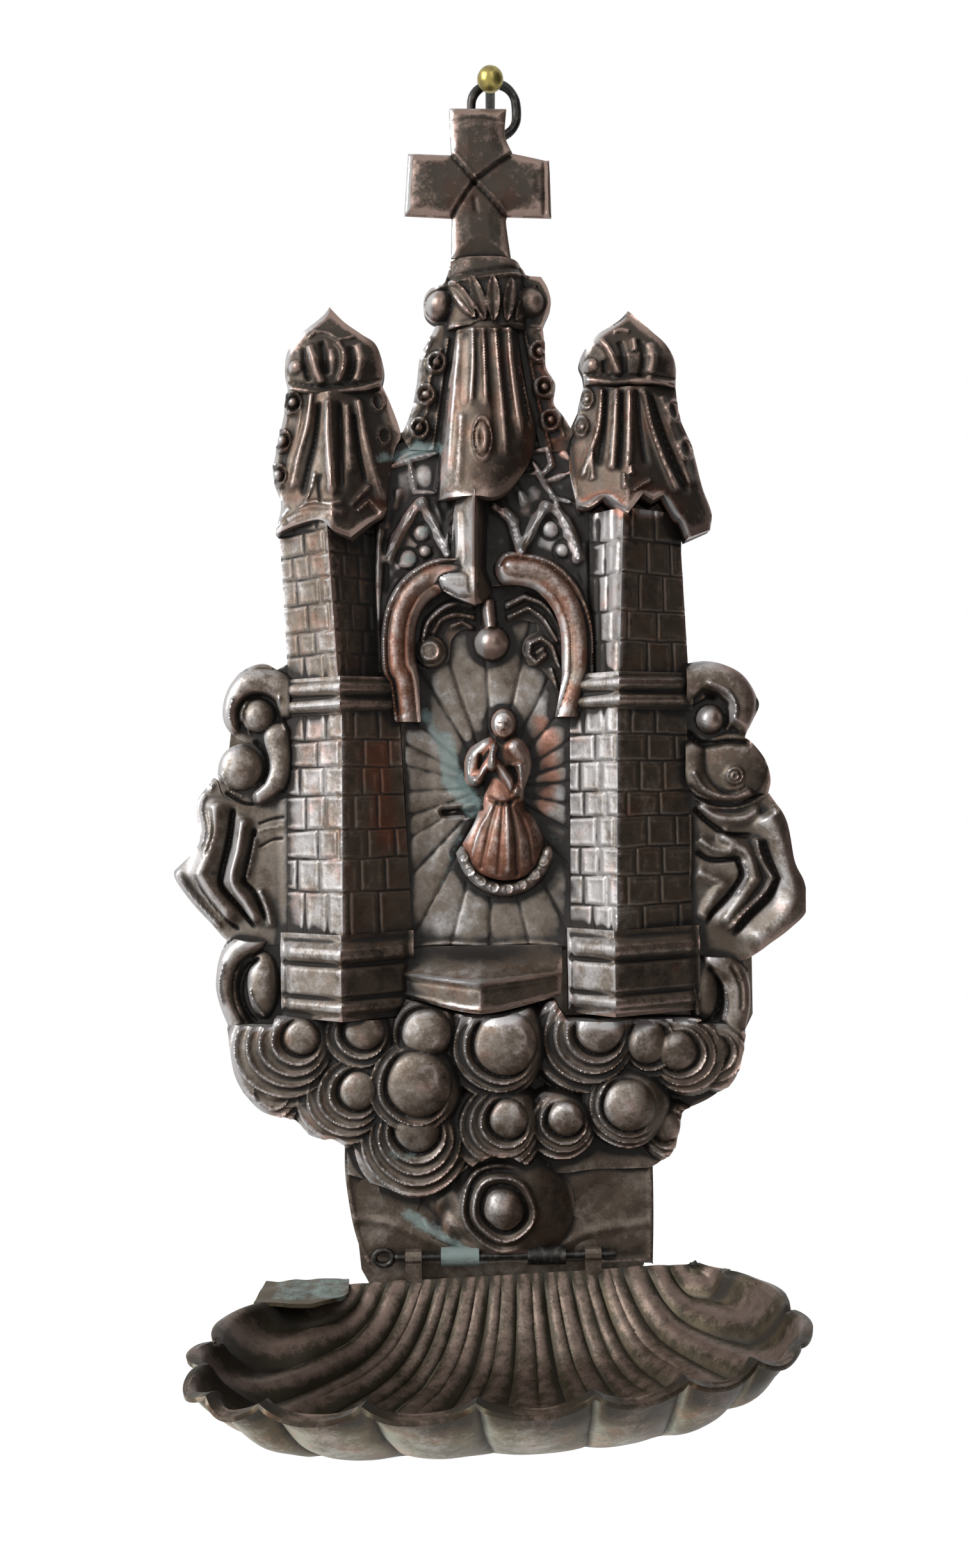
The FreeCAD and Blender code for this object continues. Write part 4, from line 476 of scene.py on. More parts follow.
def left_roof_height(spots):
    depth, _, _, _ = folded(
        spots,
        [(176, -51.5, 7), (187, -50.2, 5.5), (200, -50.4, 4.5), (218, -48.0, 4)],
        [(176, -36.4, 19.4), (184, -36.2, 16.2), (200, -36.4, 13.2), (218, -37.4, 10.4)],
        [(176, -23.0, 10), (187, -23.2, 7), (200, -21.0, 5), (218, -25.0, 4.5)], curve=0.8)
    depth += chased(spots, (
        ([(-41.4, 214.0), (-42.6, 205.6), (-44.9, 197.9), (-47.3, 188.6)], 1.4, 1.5),
        ([(-43.7, 211.8), (-45.1, 204.1), (-47.1, 197.6), (-48.8, 190.1)], 0.9, 0.9),
        ([(-39.5, 211.2), (-40.5, 202.2), (-42.4, 194.5), (-44.1, 187.4)], 0.9, -1.5),
        ([(-37.2, 211.6), (-37.4, 202.0), (-36.9, 194.2), (-36.1, 187.1)], 1.5, 1.7),
        ([(-34.6, 211.2), (-34.4, 200.4), (-34.3, 188.0)], 0.9, -1.4),
        ([(-32.6, 210.8), (-32.2, 200.5), (-31.6, 192.2)], 1.1, 0.9),
        ([(-31.3, 208.3), (-30.2, 199.0), (-28.5, 190.2)], 0.6, -1.2),
        ([(-30.1, 212.5), (-28.1, 200.7), (-25.5, 190.7), (-23.7, 185.0)], 1.4, 1.4),
        ([(-43.3, 185.5), (-41.6, 189.8), (-40.6, 193.8)], 0.6, 0.9),
        ([(-39.2, 185.4), (-39.8, 190.1), (-39.1, 193.2)], 0.5, -0.8),
        ([(-31.8, 184.7), (-29.6, 187.7), (-27.1, 190.5)], 0.7, 1.0),
        ([(-30.6, 183.4), (-27.5, 186.5), (-25.4, 184.3), (-23.8, 183.0)], 0.7, 1.3),
        ([(-45.4, 184.9), (-41.1, 186.1), (-36.8, 185.1), (-33.1, 185.9)], 0.8, 0.9),
        ([(-48.6, 182.2), (-43.9, 183.7), (-37.7, 183.2), (-32.2, 183.2)], 1.6, 0.8),
        ([(-51.2, 179.6), (-49.3, 183.6), (-47.1, 185.7)], 0.8, 1.0)), grow=(0.7, 1.3),
            ends=(0.05, 0.12))
    for centre in ((-46.2, 211.5), (-49.0, 202.2), (-50.2, 193.8)):
        rho = np.hypot(*(spots - np.array(centre)).T)
        depth = np.maximum(depth, 6.2 + 1.5 * round_top(rho / 3.2))
        depth += ringlet(spots, centre, 2.3, 0.45, 1.1, stretch=(0.9, 1.15))
        depth -= ringlet(spots, centre, 1.5, 0.4, 0.9)
        depth += bump(spots, centre, 1.1, 1.0)
    for centre in ((-25.3, 211.6), (-23.9, 203.1)):
        depth += ringlet(spots, centre, 1.7, 0.5, 1.0, stretch=(0.8, 1.25))
    depth += stroke(spots, HEM_LEFT, 0.9, 0.7)
    return depth


relief("left_tower_roof", [(-47.5, 215.5), (-48.4, 209.8), (-50.0, 202.6), (-51.4, 195.9),
    (-51.0, 191.1), (-49.7, 186.3)] + HEM_LEFT
       + [(-23.0, 192.0), (-21.5, 199.8), (-20.0, 203.5), (-22.4, 211.1), (-24.7, 216.3),
           (-30.0, 214.7), (-39.2, 213.2)],
       left_roof_height, spacing=0.42, creases=([(-37.4, 212.7), (-36.7, 199.1), (-36.1, 178.6)],))

# %% The right roof
HEM_RIGHT = [(55.7, 178.5), (49.6, 175.9), (48.0, 179.9), (46.5, 181.3), (43.6, 186.2),
    (41.0, 184.7), (38.4, 186.2), (34.5, 181.0), (32.0, 183.3), (29.4, 185.8), (25.9, 183.7),
    (23.1, 184.3)]


def right_roof_height(spots):
    depth, _, _, _ = folded(
        spots,
        [(176, 21.5, 10), (187, 23.0, 8), (200, 22.0, 5.5), (217, 25.0, 4)],
        [(176, 34.6, 19.4), (184, 34.8, 17.0), (200, 35.4, 13.2), (217, 36.2, 10.4)],
        [(176, 56.0, 7), (184, 56.0, 6), (200, 51.6, 5), (217, 48.0, 4)], curve=0.75)
    depth += chased(spots, (
        ([(29.5, 214.0), (28.6, 204.3), (26.6, 198.2), (24.0, 190.4)], 1.0, 1.2),
        ([(30.9, 213.6), (29.8, 202.8), (28.4, 193.5)], 0.7, -1.2),
        ([(33.0, 213.4), (32.2, 202.5), (31.1, 191.7)], 1.1, 1.4),
        ([(34.5, 212.8), (34.0, 200.7), (33.2, 191.5)], 0.7, -1.3),
        ([(36.0, 212.8), (35.8, 200.7), (35.1, 193.0)], 1.0, 0.9),
        ([(38.0, 213.0), (38.4, 204.0), (39.8, 193.1)], 0.8, -1.1),
        ([(39.5, 212.9), (41.2, 203.9), (43.9, 195.5), (47.7, 186.7)], 0.9, 2.0),
        ([(41.4, 212.3), (43.7, 203.9), (47.0, 194.5), (50.5, 186.7)], 0.8, -1.4),
        ([(44.1, 212.1), (47.3, 201.1), (51.4, 188.6)], 1.5, 1.0),
        ([(33.9, 191.4), (34.2, 187.4)], 0.7, 1.2), ([(35.7, 193.2), (35.9, 191.0)], 0.7, 1.1),
        ([(36.3, 187.0), (38.8, 188.8), (41.0, 190.0)], 0.5, 0.8),
        ([(26.8, 198.0), (26.7, 190.2)], 0.8, 0.9)), grow=(0.7, 1.3), ends=(0.05, 0.1))
    for centre in ((25.9, 211.3), (24.5, 204.4)):
        depth += ringlet(spots, centre, 1.9, 0.5, 1.2, stretch=(0.8, 1.25))
        depth += bump(spots, centre, 0.9, 0.9)
    for centre in ((47.3, 207.8), (50.0, 198.4)):
        depth += ringlet(spots, centre, 2.0, 0.7, 0.9, stretch=(0.85, 1.2))
    depth += stroke(spots, HEM_RIGHT[1:], 0.8, 1.2)
    depth += stroke(spots, [(23.3, 183.9), (28.0, 185.6), (34.7, 181.5)], 0.9, 1.0)
    return depth


relief("right_tower_roof", [(25.6, 215.5), (24.3, 211.1), (23.7, 207.4), (22.4, 203.5),
    (21.4, 194.3)] + HEM_RIGHT[::-1]
       + [(56.2, 182.9), (54.0, 189.2), (51.8, 199.3), (48.8, 206.6), (48.0, 214.7),
           (40.1, 213.5), (32.4, 213.4)],
       right_roof_height, spacing=0.42, creases=([(36.1, 213.2), (35.7, 197.8), (34.5, 181.5)],))

# %% The caps of the roofs
def cap_height(apex, centre, half_x, half_z, petals, ball, dark_ball, neck):
    """Hipped point above, petals and two balls below."""
    def height(spots):
        x, z = spots[:, 0], spots[:, 1]
        hip = np.interp(z, [centre[1] - half_z, centre[1], apex[1] - 2.5, apex[1]],
                        [9.6, 11.0, 6.6, 5.0])
        q = np.clip(np.abs(x - centre[0]) / half_x, 0, 1.3)
        depth = 4.0 + (hip - 4.0) * np.clip(1 - q ** 2.2, 0, 1) ** 0.6
        for line, width, rise in petals:
            depth += stroke(spots, line, width, rise, ends=(0.1, 0.1))
        depth = np.maximum(depth, 3.4 + bump(spots, ball, 2.9, 6.4))
        depth = np.maximum(depth, 3.4 + bump(spots, dark_ball, 2.9, 4.6))
        depth += stroke(spots, neck, 0.8, 0.8) + stroke(spots, [(a, b + 1.6) for a, b in neck],
                                                        0.5, -0.6)
        return depth
    return height


LEFT_NECK = [(-47.2, 215.0), (-39.3, 213.3), (-29.9, 214.1), (-25.0, 215.6)]
relief("left_roof_cap", [(-37.1, 235.5), (-38.4, 233.3), (-40.8, 231.0), (-44.6, 227.9),
    (-47.7, 223.9), (-48.4, 219.4), (-47.5, 214.5), (-39.3, 212.7), (-29.9, 213.5),
    (-24.8, 215.1), (-24.0, 219.9), (-25.6, 225.4), (-29.2, 228.0), (-33.5, 231.3)],
       cap_height((-37.2, 234.8), (-36.0, 221.2), 12.4, 8.0, (
           ([(-42.1, 225.4), (-40.9, 222.0), (-40.0, 218.2), (-38.5, 214.8)], 1.5, 1.9),
           ([(-38.9, 226.3), (-38.1, 221.9), (-37.8, 217.3)], 0.9, -1.4),
           ([(-35.2, 226.2), (-33.4, 222.8), (-33.4, 219.0), (-35.1, 215.0)], 0.8, 1.5),
           ([(-36.2, 224.4), (-35.9, 220.3), (-36.3, 216.3)], 1.3, 0.6),
           ([(-31.9, 224.9), (-31.2, 220.3), (-32.6, 215.3)], 0.8, -1.1),
           ([(-30.2, 225.8), (-29.0, 221.2), (-30.4, 215.3)], 1.2, 0.9),
           ([(-42.6, 226.6), (-40.3, 228.7), (-37.2, 228.1), (-34.4, 226.5),
               (-30.3, 227.3)], 0.6, 0.8),
           ([(-43.2, 225.0), (-43.0, 220.3), (-41.8, 215.9)], 0.8, -1.3)),
           (-44.8, 220.0), (-26.6, 220.2), LEFT_NECK))

RIGHT_NECK = [(25.9, 215.8), (32.6, 214.5), (40.5, 214.7), (47.6, 214.4)]
relief("right_roof_cap", [(36.6, 233.1), (34.8, 230.9), (32.1, 228.9), (29.1, 227.1),
    (25.9, 223.7), (24.3, 220.5), (25.2, 217.6), (25.6, 214.8), (32.6, 213.9), (40.4, 214.1),
    (47.9, 213.8), (48.0, 219.4), (45.8, 223.8), (42.2, 227.3), (39.2, 230.1)],
       cap_height((36.6, 233.1), (36.5, 220.9), 12.2, 8.0, (
           ([(28.7, 225.8), (30.8, 223.2), (32.3, 219.5), (33.8, 215.7)], 1.3, 1.9),
           ([(30.2, 220.1), (30.4, 217.0)], 0.8, -1.3),
           ([(32.5, 227.2), (34.7, 227.8), (36.8, 227.2)], 0.7, 1.0),
           ([(34.0, 225.0), (34.9, 220.7), (35.1, 216.0)], 0.9, -1.2),
           ([(37.4, 225.6), (37.7, 221.9)], 0.8, 1.2),
           ([(39.0, 225.3), (39.8, 219.9), (38.8, 215.3)], 0.8, -1.0),
           ([(41.2, 224.6), (42.3, 219.9), (41.0, 214.9)], 1.2, 0.9),
           ([(31.4, 228.7), (36.8, 232.7), (42.3, 227.6)], 0.6, 0.5)),
           (27.7, 219.2), (44.8, 218.9), RIGHT_NECK))

# %% [markdown]
# ## The spire, its cap and the cross
#
# The canopy over the niche is one tall fluted shaft that fans out downwards, with leafy strips
# of little rings at both sides. On it sits a cap of petals under a dark collar, and the cross
# stands on the collar: a shallow tray with four pillowed arms.

# %% The shaft
def shaft_depth(spots):
    """Half-round section between the shaft's two edges, with an arris that sinks into the keel."""
    x, z = spots[:, 0], spots[:, 1]
    left = np.interp(z, [186, 200, 206, 218, 229], [-11.0, -10.6, -10.0, -8.2, -6.0])
    right = np.interp(z, [186, 200, 206, 218, 229], [10.0, 13.6, 14.2, 11.6, 9.4])
    middle = np.interp(z, [186, 206, 229], [-0.4, 0.6, 1.8])
    top = np.interp(z, [186, 206, 229], [14.2, 13.0, 11.2])
    q = np.where(x < middle, (middle - x) / (middle - left), (x - middle) / (right - middle))
    power = np.where(x < middle, 0.6, 0.75)
    return 5.2 + (top - 5.2) * np.clip(1 - np.clip(q, 0, 1) ** 1.8, 0, 1) ** power


def shaft_height(spots):
    depth = shaft_depth(spots)
    depth += chased(spots, (
        ([(-5.5, 228.0), (-6.0, 220.5), (-7.1, 211.2), (-8.2, 198.8), (-9.3, 189.5)], 1.1, 0.8),
        ([(-1.8, 227.6), (-1.9, 218.6), (-2.8, 207.8)], 0.9, 0.9),
        ([(-3.5, 226.4), (-3.8, 220.2), (-4.0, 214.0), (-4.3, 207.8)], 0.9, -1.3),
        ([(-7.5, 214.1), (-8.7, 204.8), (-9.9, 192.4)], 0.8, -0.6),
        ([(-5.0, 206.3), (-5.6, 198.5), (-6.5, 187.7)], 1.5, 0.7),
        ([(-0.6, 227.3), (-0.6, 218.3), (-1.2, 209.1)], 0.55, -1.0),
        ([(0.8, 227.3), (1.0, 218.3), (1.3, 207.5)], 0.8, 1.0),
        ([(2.1, 227.3), (2.5, 216.7), (3.4, 204.4), (3.8, 195.1)], 0.6, -1.1),
        ([(3.8, 227.2), (4.5, 216.7), (5.5, 204.3), (6.0, 193.5)], 0.8, 0.9),
        ([(5.3, 227.5), (6.2, 215.4), (7.4, 204.5)], 0.6, -1.2),
        ([(7.1, 228.0), (7.7, 218.7), (9.0, 207.8), (10.4, 198.4)], 1.1, 1.6),
        ([(8.7, 223.3), (10.1, 212.4), (11.5, 203.1)], 0.6, -1.1),
        ([(9.6, 218.9), (11.3, 209.5), (12.7, 201.7)], 0.6, 0.8)), grow=(0.8, 1.2),
            ends=(0.0, 0.25))
    gem = (0.1, 200.7)
    depth = np.maximum(depth, shaft_depth(spots) - 0.3
                       + bump(spots, gem, 1.9, 1.7, stretch=(1.0, 2.3)))
    depth += ringlet(spots, gem, 2.3, 0.4, 0.8, stretch=(1.0, 2.2))
    depth -= bump(spots, (gem[0] - 0.3, gem[1]), 1.2, 1.3, top=soft_top, stretch=(0.7, 2.2))
    depth += stroke(spots, [(-5.8, 228.3), (1.6, 227.6), (9.2, 228.0)], 0.6, 0.7)
    return depth


relief("centre_spire", [(-5.8, 229.7), (-6.9, 223.4), (-8.1, 214.8), (-9.7, 205.4),
    (-10.8, 197.3), (-11.3, 187.0), (-2.0, 186.8), (2.8, 186.5), (7.2, 189.5), (12.0, 196.9),
    (13.4, 205.0), (11.1, 213.5), (9.9, 221.5), (9.3, 229.5)],
       shaft_height, spacing=0.42, creases=([(-0.2, 227.6), (-0.3, 213.7), (-1.1, 198.2),
           (-1.9, 187.1)],))

# %% The crocket strips
def strip_height(rings, veins, base, size=1.0):
    def height(spots):
        depth = np.full(len(spots), base) + dents(spots, 3.0, 0.7, 7.7)
        for centre in rings:
            rho = np.hypot(*(spots - np.array(centre)).T)
            depth = np.maximum(depth, base + 1.6 * round_top(rho / (3.0 * size)))
            depth += ringlet(spots, centre, 2.2 * size, 0.5, 1.2, stretch=(0.95, 1.1))
            depth -= ringlet(spots, centre, 1.3 * size, 0.4, 0.8)
            depth += bump(spots, centre, 0.9 * size, 1.0)
        for line in veins:
            depth += stroke(spots, line, 0.6, 0.8)
        return depth
    return height


relief("left_crocket_strip", [(-7.2, 230.4), (-10.8, 230.3), (-12.9, 226.4), (-14.9, 222.5),
    (-15.8, 216.2), (-16.7, 211.5), (-18.1, 207.1), (-19.9, 203.3), (-17.8, 199.8),
    (-10.2, 199.4), (-8.8, 209.4), (-7.0, 222.0), (-5.9, 228.3)],
       strip_height(((-10.8, 220.9), (-13.7, 213.1), (-15.3, 204.9)),
                    ([(-7.9, 226.8), (-9.6, 215.8), (-11.1, 206.3), (-12.1, 200.0)],
                     [(-12.3, 226.9), (-13.9, 222.2)],
                     [(-9.5, 224.4), (-12.4, 217.4), (-13.2, 209.5), (-17.8, 201.7)]), 5.3))
relief("right_crocket_strip", [(9.4, 230.1), (15.4, 230.2), (15.9, 224.8), (16.1, 219.7),
    (18.3, 215.3), (17.9, 210.6), (20.2, 207.4), (22.6, 203.2), (20.7, 198.8), (14.7, 198.6),
    (12.6, 207.5), (10.6, 218.6), (9.6, 226.5)],
       strip_height(((14.6, 223.3), (15.6, 214.5), (17.0, 206.3)),
                    ([(11.1, 228.0), (12.8, 218.5), (14.8, 207.5), (16.9, 199.5)],
                     [(18.3, 209.0), (20.1, 202.6)]), 5.3))

# %% The petalled cap
def petal(spots, root, tip, width, rise):
    """A leaf: widest near its middle, with a raised rim on its left and a hollow heart."""
    root, tip = np.array(root), np.array(tip)
    length = np.linalg.norm(tip - root)
    d = (tip - root) / length
    rel = spots - root
    along = rel @ d / length
    across = (rel[:, 0] * d[1] - rel[:, 1] * d[0]) / width
    swell = np.sin(np.pi * np.clip(along, 0, 1)) ** 0.6
    q = across / np.maximum(swell, 0.05)
    within = (along > 0) & (along < 1) & (np.abs(q) < 1)
    shape = rise * (np.sqrt(np.clip(1 - q * q, 0, 1)) - 0.35 * soft_top(q / 0.35)
                    + 0.35 * soft_top((np.abs(q) - 0.75) / 0.2))
    return np.where(within, shape, 0.0)


def spire_cap_height(spots):
    x, z = spots[:, 0], spots[:, 1]
    body = np.interp(z, [228.6, 230.5, 234, 239.8, 246.8], [9.8, 10.8, 11.2, 10.0, 9.0])
    half = np.interp(z, [228.6, 234, 239.8, 246.8], [9.6, 9.8, 9.4, 8.0])
    q = np.clip(np.abs(x - 1.6) / half, 0, 1)
    depth = 5.0 + (body - 5.0) * np.clip(1 - q ** 2.6, 0, 1) ** 0.6
    for root, tip, width, rise in (
            ((-7.5, 240.7), (-1.1, 230.4), 1.8, 1.5),
            ((-2.0, 241.3), (1.3, 229.7), 1.9, 1.3),
            ((3.4, 241.2), (3.5, 229.3), 2.0, 1.4),
            ((8.1, 240.8), (6.6, 229.6), 1.7, 1.2),
            ((14.0, 240.0), (8.8, 230.2), 1.6, 1.1)):
        depth += petal(spots, root, tip, width, rise)
    depth += stroke(spots, [(-7.2, 239.8), (-4.1, 238.2), (-1.7, 233.8), (0.4, 230.3)], 0.6, 0.9)
    depth = np.maximum(depth, 2.5 + bump(spots, (-9.6, 235.2), 4.1, 7.2))
    depth = np.maximum(depth, 2.5 + bump(spots, (12.3, 235.6), 4.3, 6.4))
    depth += chased(spots, (
        ([(-7.7, 229.5), (-3.8, 228.9), (0.3, 229.9), (4.4, 228.9), (9.7, 229.6),
            (15.0, 229.0)], 0.7, 0.8),
        ([(-10.0, 239.8), (0.3, 240.6), (11.5, 242.3)], 0.7, 0.8),
        ([(-7.5, 241.7), (0.3, 242.5), (10.0, 243.7)], 0.5, -0.5)))
    return np.minimum(depth, 13.2)


relief("spire_cap", [(-6.9, 246.2), (-7.9, 242.6), (-9.1, 240.4), (-11.9, 239.6), (-13.6, 237.2),
    (-13.7, 233.7), (-12.0, 231.6), (-9.2, 230.6), (-8.2, 228.9), (-0.1, 229.1), (6.3, 228.6),
    (15.0, 228.6), (16.0, 231.0), (17.6, 235.1), (16.9, 239.1), (15.3, 242.0), (11.5, 242.3),
    (10.5, 244.2), (7.7, 245.9)],
       spire_cap_height)

# %% The cross
CROSS_RIM = [(-6.7, 283.1), (7.4, 282.7), (7.0, 276.2), (8.7, 271.7), (16.8, 269.8),
    (17.7, 268.8), (18.0, 255.8), (7.1, 256.3), (6.9, 254.3), (7.9, 246.1), (-6.8, 246.3),
    (-6.5, 256.2), (-18.1, 257.0), (-16.9, 272.1), (-6.4, 271.6)]
CROSS_HEART = (-0.7, 264.6)      # where the four folded corners meet


def cross_height(spots):
    rim = flowing(CROSS_RIM, closed=True, step=0.5)
    far, _, _ = near(spots, rim, closed=True)
    depth = 7.3 + 1.5 * np.clip(far / 4.5, 0, 1) ** 0.6
    for corner in ((-6.1, 271.3), (8.2, 271.0), (-6.4, 256.5), (6.8, 256.3)):
        fold = [corner, CROSS_HEART]
        depth += stroke(spots, fold, 0.6, -0.7)
        depth += stroke(spots, [(a, b + 1.2) for a, b in fold], 0.7, 0.25)
    depth += chased(spots, (
        ([(-0.8, 260.4), (-0.4, 257.5)], 0.8, -0.5),
        ([(-16.5, 271.3), (-17.5, 257.8)], 0.6, 0.35),
        ([(16.5, 268.8), (16.4, 256.8)], 0.6, -0.5),
        ([(-6.0, 279.6), (0.2, 280.7), (6.9, 279.4)], 0.5, -0.25)))
    return depth


relief("cross", CROSS_RIM, cross_height, spacing=0.42, foot=6.4, beat=0.22)

# %% [markdown]
# ## The niche
#
# Over the niche hangs a lambrequin with a double-peaked border and a prow-like keel that ends in
# a bright keystone. A pointed arch frames the niche, leaf curls roll up under it, and a ball
# hangs from its crown. Behind the figure a glory of rays spreads over the sheet.

# %% The lambrequin
M_BORDER = (
    [(-23.9, 173.0), (-20.9, 179.2), (-16.7, 185.4), (-14.8, 186.7)],
    [(-15.2, 186.7), (-12.1, 180.6), (-9.1, 173.3)],
    [(-8.8, 173.7), (-7.7, 181.7), (-4.8, 185.2)],
    [(-4.8, 185.4), (-2.9, 186.1)],
    [(-1.5, 186.1), (2.5, 185.4)],
    [(2.8, 185.4), (7.1, 181.4), (8.9, 173.3)],
    [(8.9, 173.3), (12.1, 180.2), (15.4, 185.2)],
    [(15.4, 185.2), (18.5, 183.6), (21.5, 176.9), (23.0, 172.2)],
)
BEADS = (((-15.3, 179.3), 2.0), ((-18.7, 172.9), 2.3), ((-14.5, 174.7), 1.6),
         ((16.7, 179.8), 2.2), ((19.6, 174.4), 1.9), ((-6.8, 179.6), 1.3))


def lambrequin_height(spots):
    depth = 4.4 + 0.5 * np.clip(np.abs(spots[:, 0]) / 26, 0, 1) ** 2
    for line in M_BORDER:
        depth += stroke(spots, line, 1.5, 2.4)
        depth += stroke(spots, line, 0.4, -0.7)
    for centre, radius in BEADS:
        depth = np.maximum(depth, 4.2 + bump(spots, centre, radius, 1.6))
        depth += ringlet(spots, centre, radius + 0.5, 0.4, -0.4)
    # the ledge and the trapezoid bracket above the left peak, a curled one above the right
    depth += chased(spots, (
        ([(-25.5, 194.3), (-17.8, 197.3), (-9.9, 199.1)], 0.8, 1.5),
        ([(-24.2, 195.5), (-17.8, 198.9), (-10.9, 200.0)], 0.7, 0.6),
        ([(-17.9, 196.7), (-16.7, 189.4), (-11.4, 189.0), (-10.0, 196.5)], 0.7, 1.1)))
    depth += bump(spots, (-14.1, 193.0), 3.2, 0.9, top=soft_top)
    depth += chased(spots, (
        ([(7.4, 197.2), (12.2, 198.7), (16.1, 199.5), (17.1, 195.6), (14.6, 192.9),
            (12.4, 196.1)], 0.9, 1.6),
        ([(9.2, 193.0), (13.3, 193.6), (16.7, 188.8), (18.5, 185.3)], 0.8, 1.2),
        ([(15.2, 191.4), (19.9, 192.9), (23.1, 193.9)], 0.8, 1.0),
        ([(17.0, 187.5), (22.7, 185.9), (23.7, 183.6)], 0.8, 1.2)))
    # folds beside the tower walls
    depth += chased(spots, (
        ([(-25.7, 181.3), (-26.3, 164.0), (-26.0, 145.1)], 1.1, 1.6),
        ([(-23.8, 179.7), (-24.4, 165.5)], 0.8, -0.8),
        ([(25.0, 175.7), (25.2, 161.5), (24.5, 147.3)], 1.0, 0.9)))
    # the cloth of the lambrequin hangs in soft folds beside and between the peaks
    depth += chased(spots, (
        ([(-24.3, 190.8), (-23.4, 184.5), (-24.8, 176.6)], 1.6, 1.2),
        ([(-20.8, 190.7), (-21.9, 184.4)], 1.1, 0.8),
        ([(-12.3, 188.1), (-11.1, 184.2), (-9.6, 180.1)], 1.3, 0.9),
        ([(-10.0, 193.7), (-9.5, 188.9), (-8.6, 184.2)], 1.2, 0.9),
        ([(-22.7, 171.8), (-18.3, 170.8), (-13.3, 171.0)], 1.4, 0.8),
        ([(-19.6, 169.9), (-23.8, 164.0), (-25.2, 156.1)], 1.2, 0.9),
        ([(4.1, 188.7), (5.9, 184.6), (9.0, 180.7)], 1.2, 1.0),
        ([(5.1, 193.4), (8.2, 190.2), (10.7, 185.4)], 1.3, 1.2),
        ([(19.8, 183.7), (22.8, 177.3), (24.0, 171.0)], 1.3, 1.0),
        ([(18.8, 199.5), (21.6, 196.3), (22.4, 190.0)], 1.2, 1.0),
        ([(7.0, 176.0), (11.7, 172.5), (17.3, 170.5)], 1.4, 0.8),
        ([(22.1, 169.5), (24.5, 163.1), (25.0, 155.2)], 1.1, 0.9)), ends=(0.2, 0.2))
    return depth


relief("lambrequin", [(-26.1, 200.5), (-17.8, 201.9), (-9.9, 201.8), (15.4, 201.3), (24.1, 201.2),
    (25.0, 190.1), (26.2, 185.3), (27.0, 175.8), (26.4, 142.3), (23.2, 142.4), (23.3, 146.2),
    (22.9, 154.1), (21.3, 160.4), (18.2, 165.7), (13.6, 169.1), (6.9, 170.2), (-2.4, 169.7),
    (-5.7, 169.1), (-11.8, 168.6), (-16.9, 165.5), (-20.1, 160.8), (-21.6, 154.9), (-21.9, 146.6),
    (-22.3, 143.2), (-27.4, 143.3), (-26.8, 176.8), (-26.0, 186.2)],
       lambrequin_height, spacing=0.42, beat=0.2)

# %% The keel and its keystone
KEEL_FRONT = [(-1.9, 187.7), (-2.2, 178.2), (-2.4, 167.4), (-2.5, 161.8)]


def keel_height(spots):
    x, z = spots[:, 0], spots[:, 1]
    ridge = np.interp(z, [b for a, b in KEEL_FRONT[::-1]], [a for a, b in KEEL_FRONT[::-1]])
    left = np.interp(z, [160, 166, 170, 188], [8.4, 9.0, 5.0, 5.4])
    right = np.interp(z, [160, 166, 170, 188], [4.6, 4.2, 2.8, 3.2])
    top = np.interp(z, [160, 164, 171, 188], [9.4, 12.0, 13.2, 14.2])
    q = np.clip(np.abs(x - ridge) / np.where(x < ridge, left, right), 0, 1)
    depth = np.where(x < ridge, 7.4 + (top - 7.4) * (1 - q ** 1.1), 5.4 + (top - 5.4) * (1 - q))
    block = [(-11.2, 167.4), (-8.7, 168.8), (-3.0, 168.7), (-3.1, 162.6), (-6.3, 163.0),
        (-10.0, 165.2)]
    far, _, _ = near(spots, np.array(block), closed=True)
    within = inside(spots, np.array(block))
    depth = np.where(within, np.maximum(depth, 11.2 + 0.9 * np.clip(far / 1.2, 0, 1)), depth)
    depth += chased(spots, (
        ([(-6.3, 183.2), (-6.4, 175.4), (-7.5, 170.1)], 0.6, 0.7),
        ([(-4.8, 183.2), (-4.7, 170.7)], 0.5, -0.5),
        ([(-2.1, 186.1), (-2.3, 170.5)], 0.4, 0.5)))
    return depth


relief("lambrequin_keel", [(-6.2, 188.5), (-7.3, 183.4), (-8.0, 175.6), (-9.0, 171.6),
    (-11.6, 168.5), (-10.4, 165.0), (-6.4, 162.5), (-2.5, 160.8), (0.5, 162.3), (1.8, 165.8),
    (1.6, 172.6), (1.2, 183.2), (0.9, 188.3)],
       keel_height, spacing=0.42, creases=(KEEL_FRONT,))

# %% The arch
ARCH_LEFT = [(-18.8, 132.5), (-19.9, 142.8), (-21.4, 146.3), (-21.4, 154.4), (-19.9, 160.6),
    (-16.7, 165.3), (-11.6, 168.3), (-5.7, 168.8)]
ARCH_RIGHT = [(19.3, 133.1), (22.3, 142.1), (22.7, 145.5), (22.7, 153.6), (21.1, 159.9),
    (18.0, 165.1), (13.4, 168.5), (6.9, 169.8)]


def arch_height(spots):
    depth = np.full(len(spots), 5.4)
    for line, outward in ((ARCH_LEFT, 1), (ARCH_RIGHT, -1)):
        far, _, side = near(spots, flowing(line, step=0.6))
        across = far * side * outward
        depth = np.maximum(depth, 5.4 + 3.6 * np.clip(1 - (far / 4.4) ** 3, 0, 1) ** 0.5)
        depth += 0.8 * soft_top((across - 3.5) / 0.6) - 0.8 * soft_top((across - 2.6) / 0.5)
        depth += 0.5 * soft_top((across - 0.4) / 1.6) - 0.5 * soft_top((across + 1.8) / 0.45)
    return depth


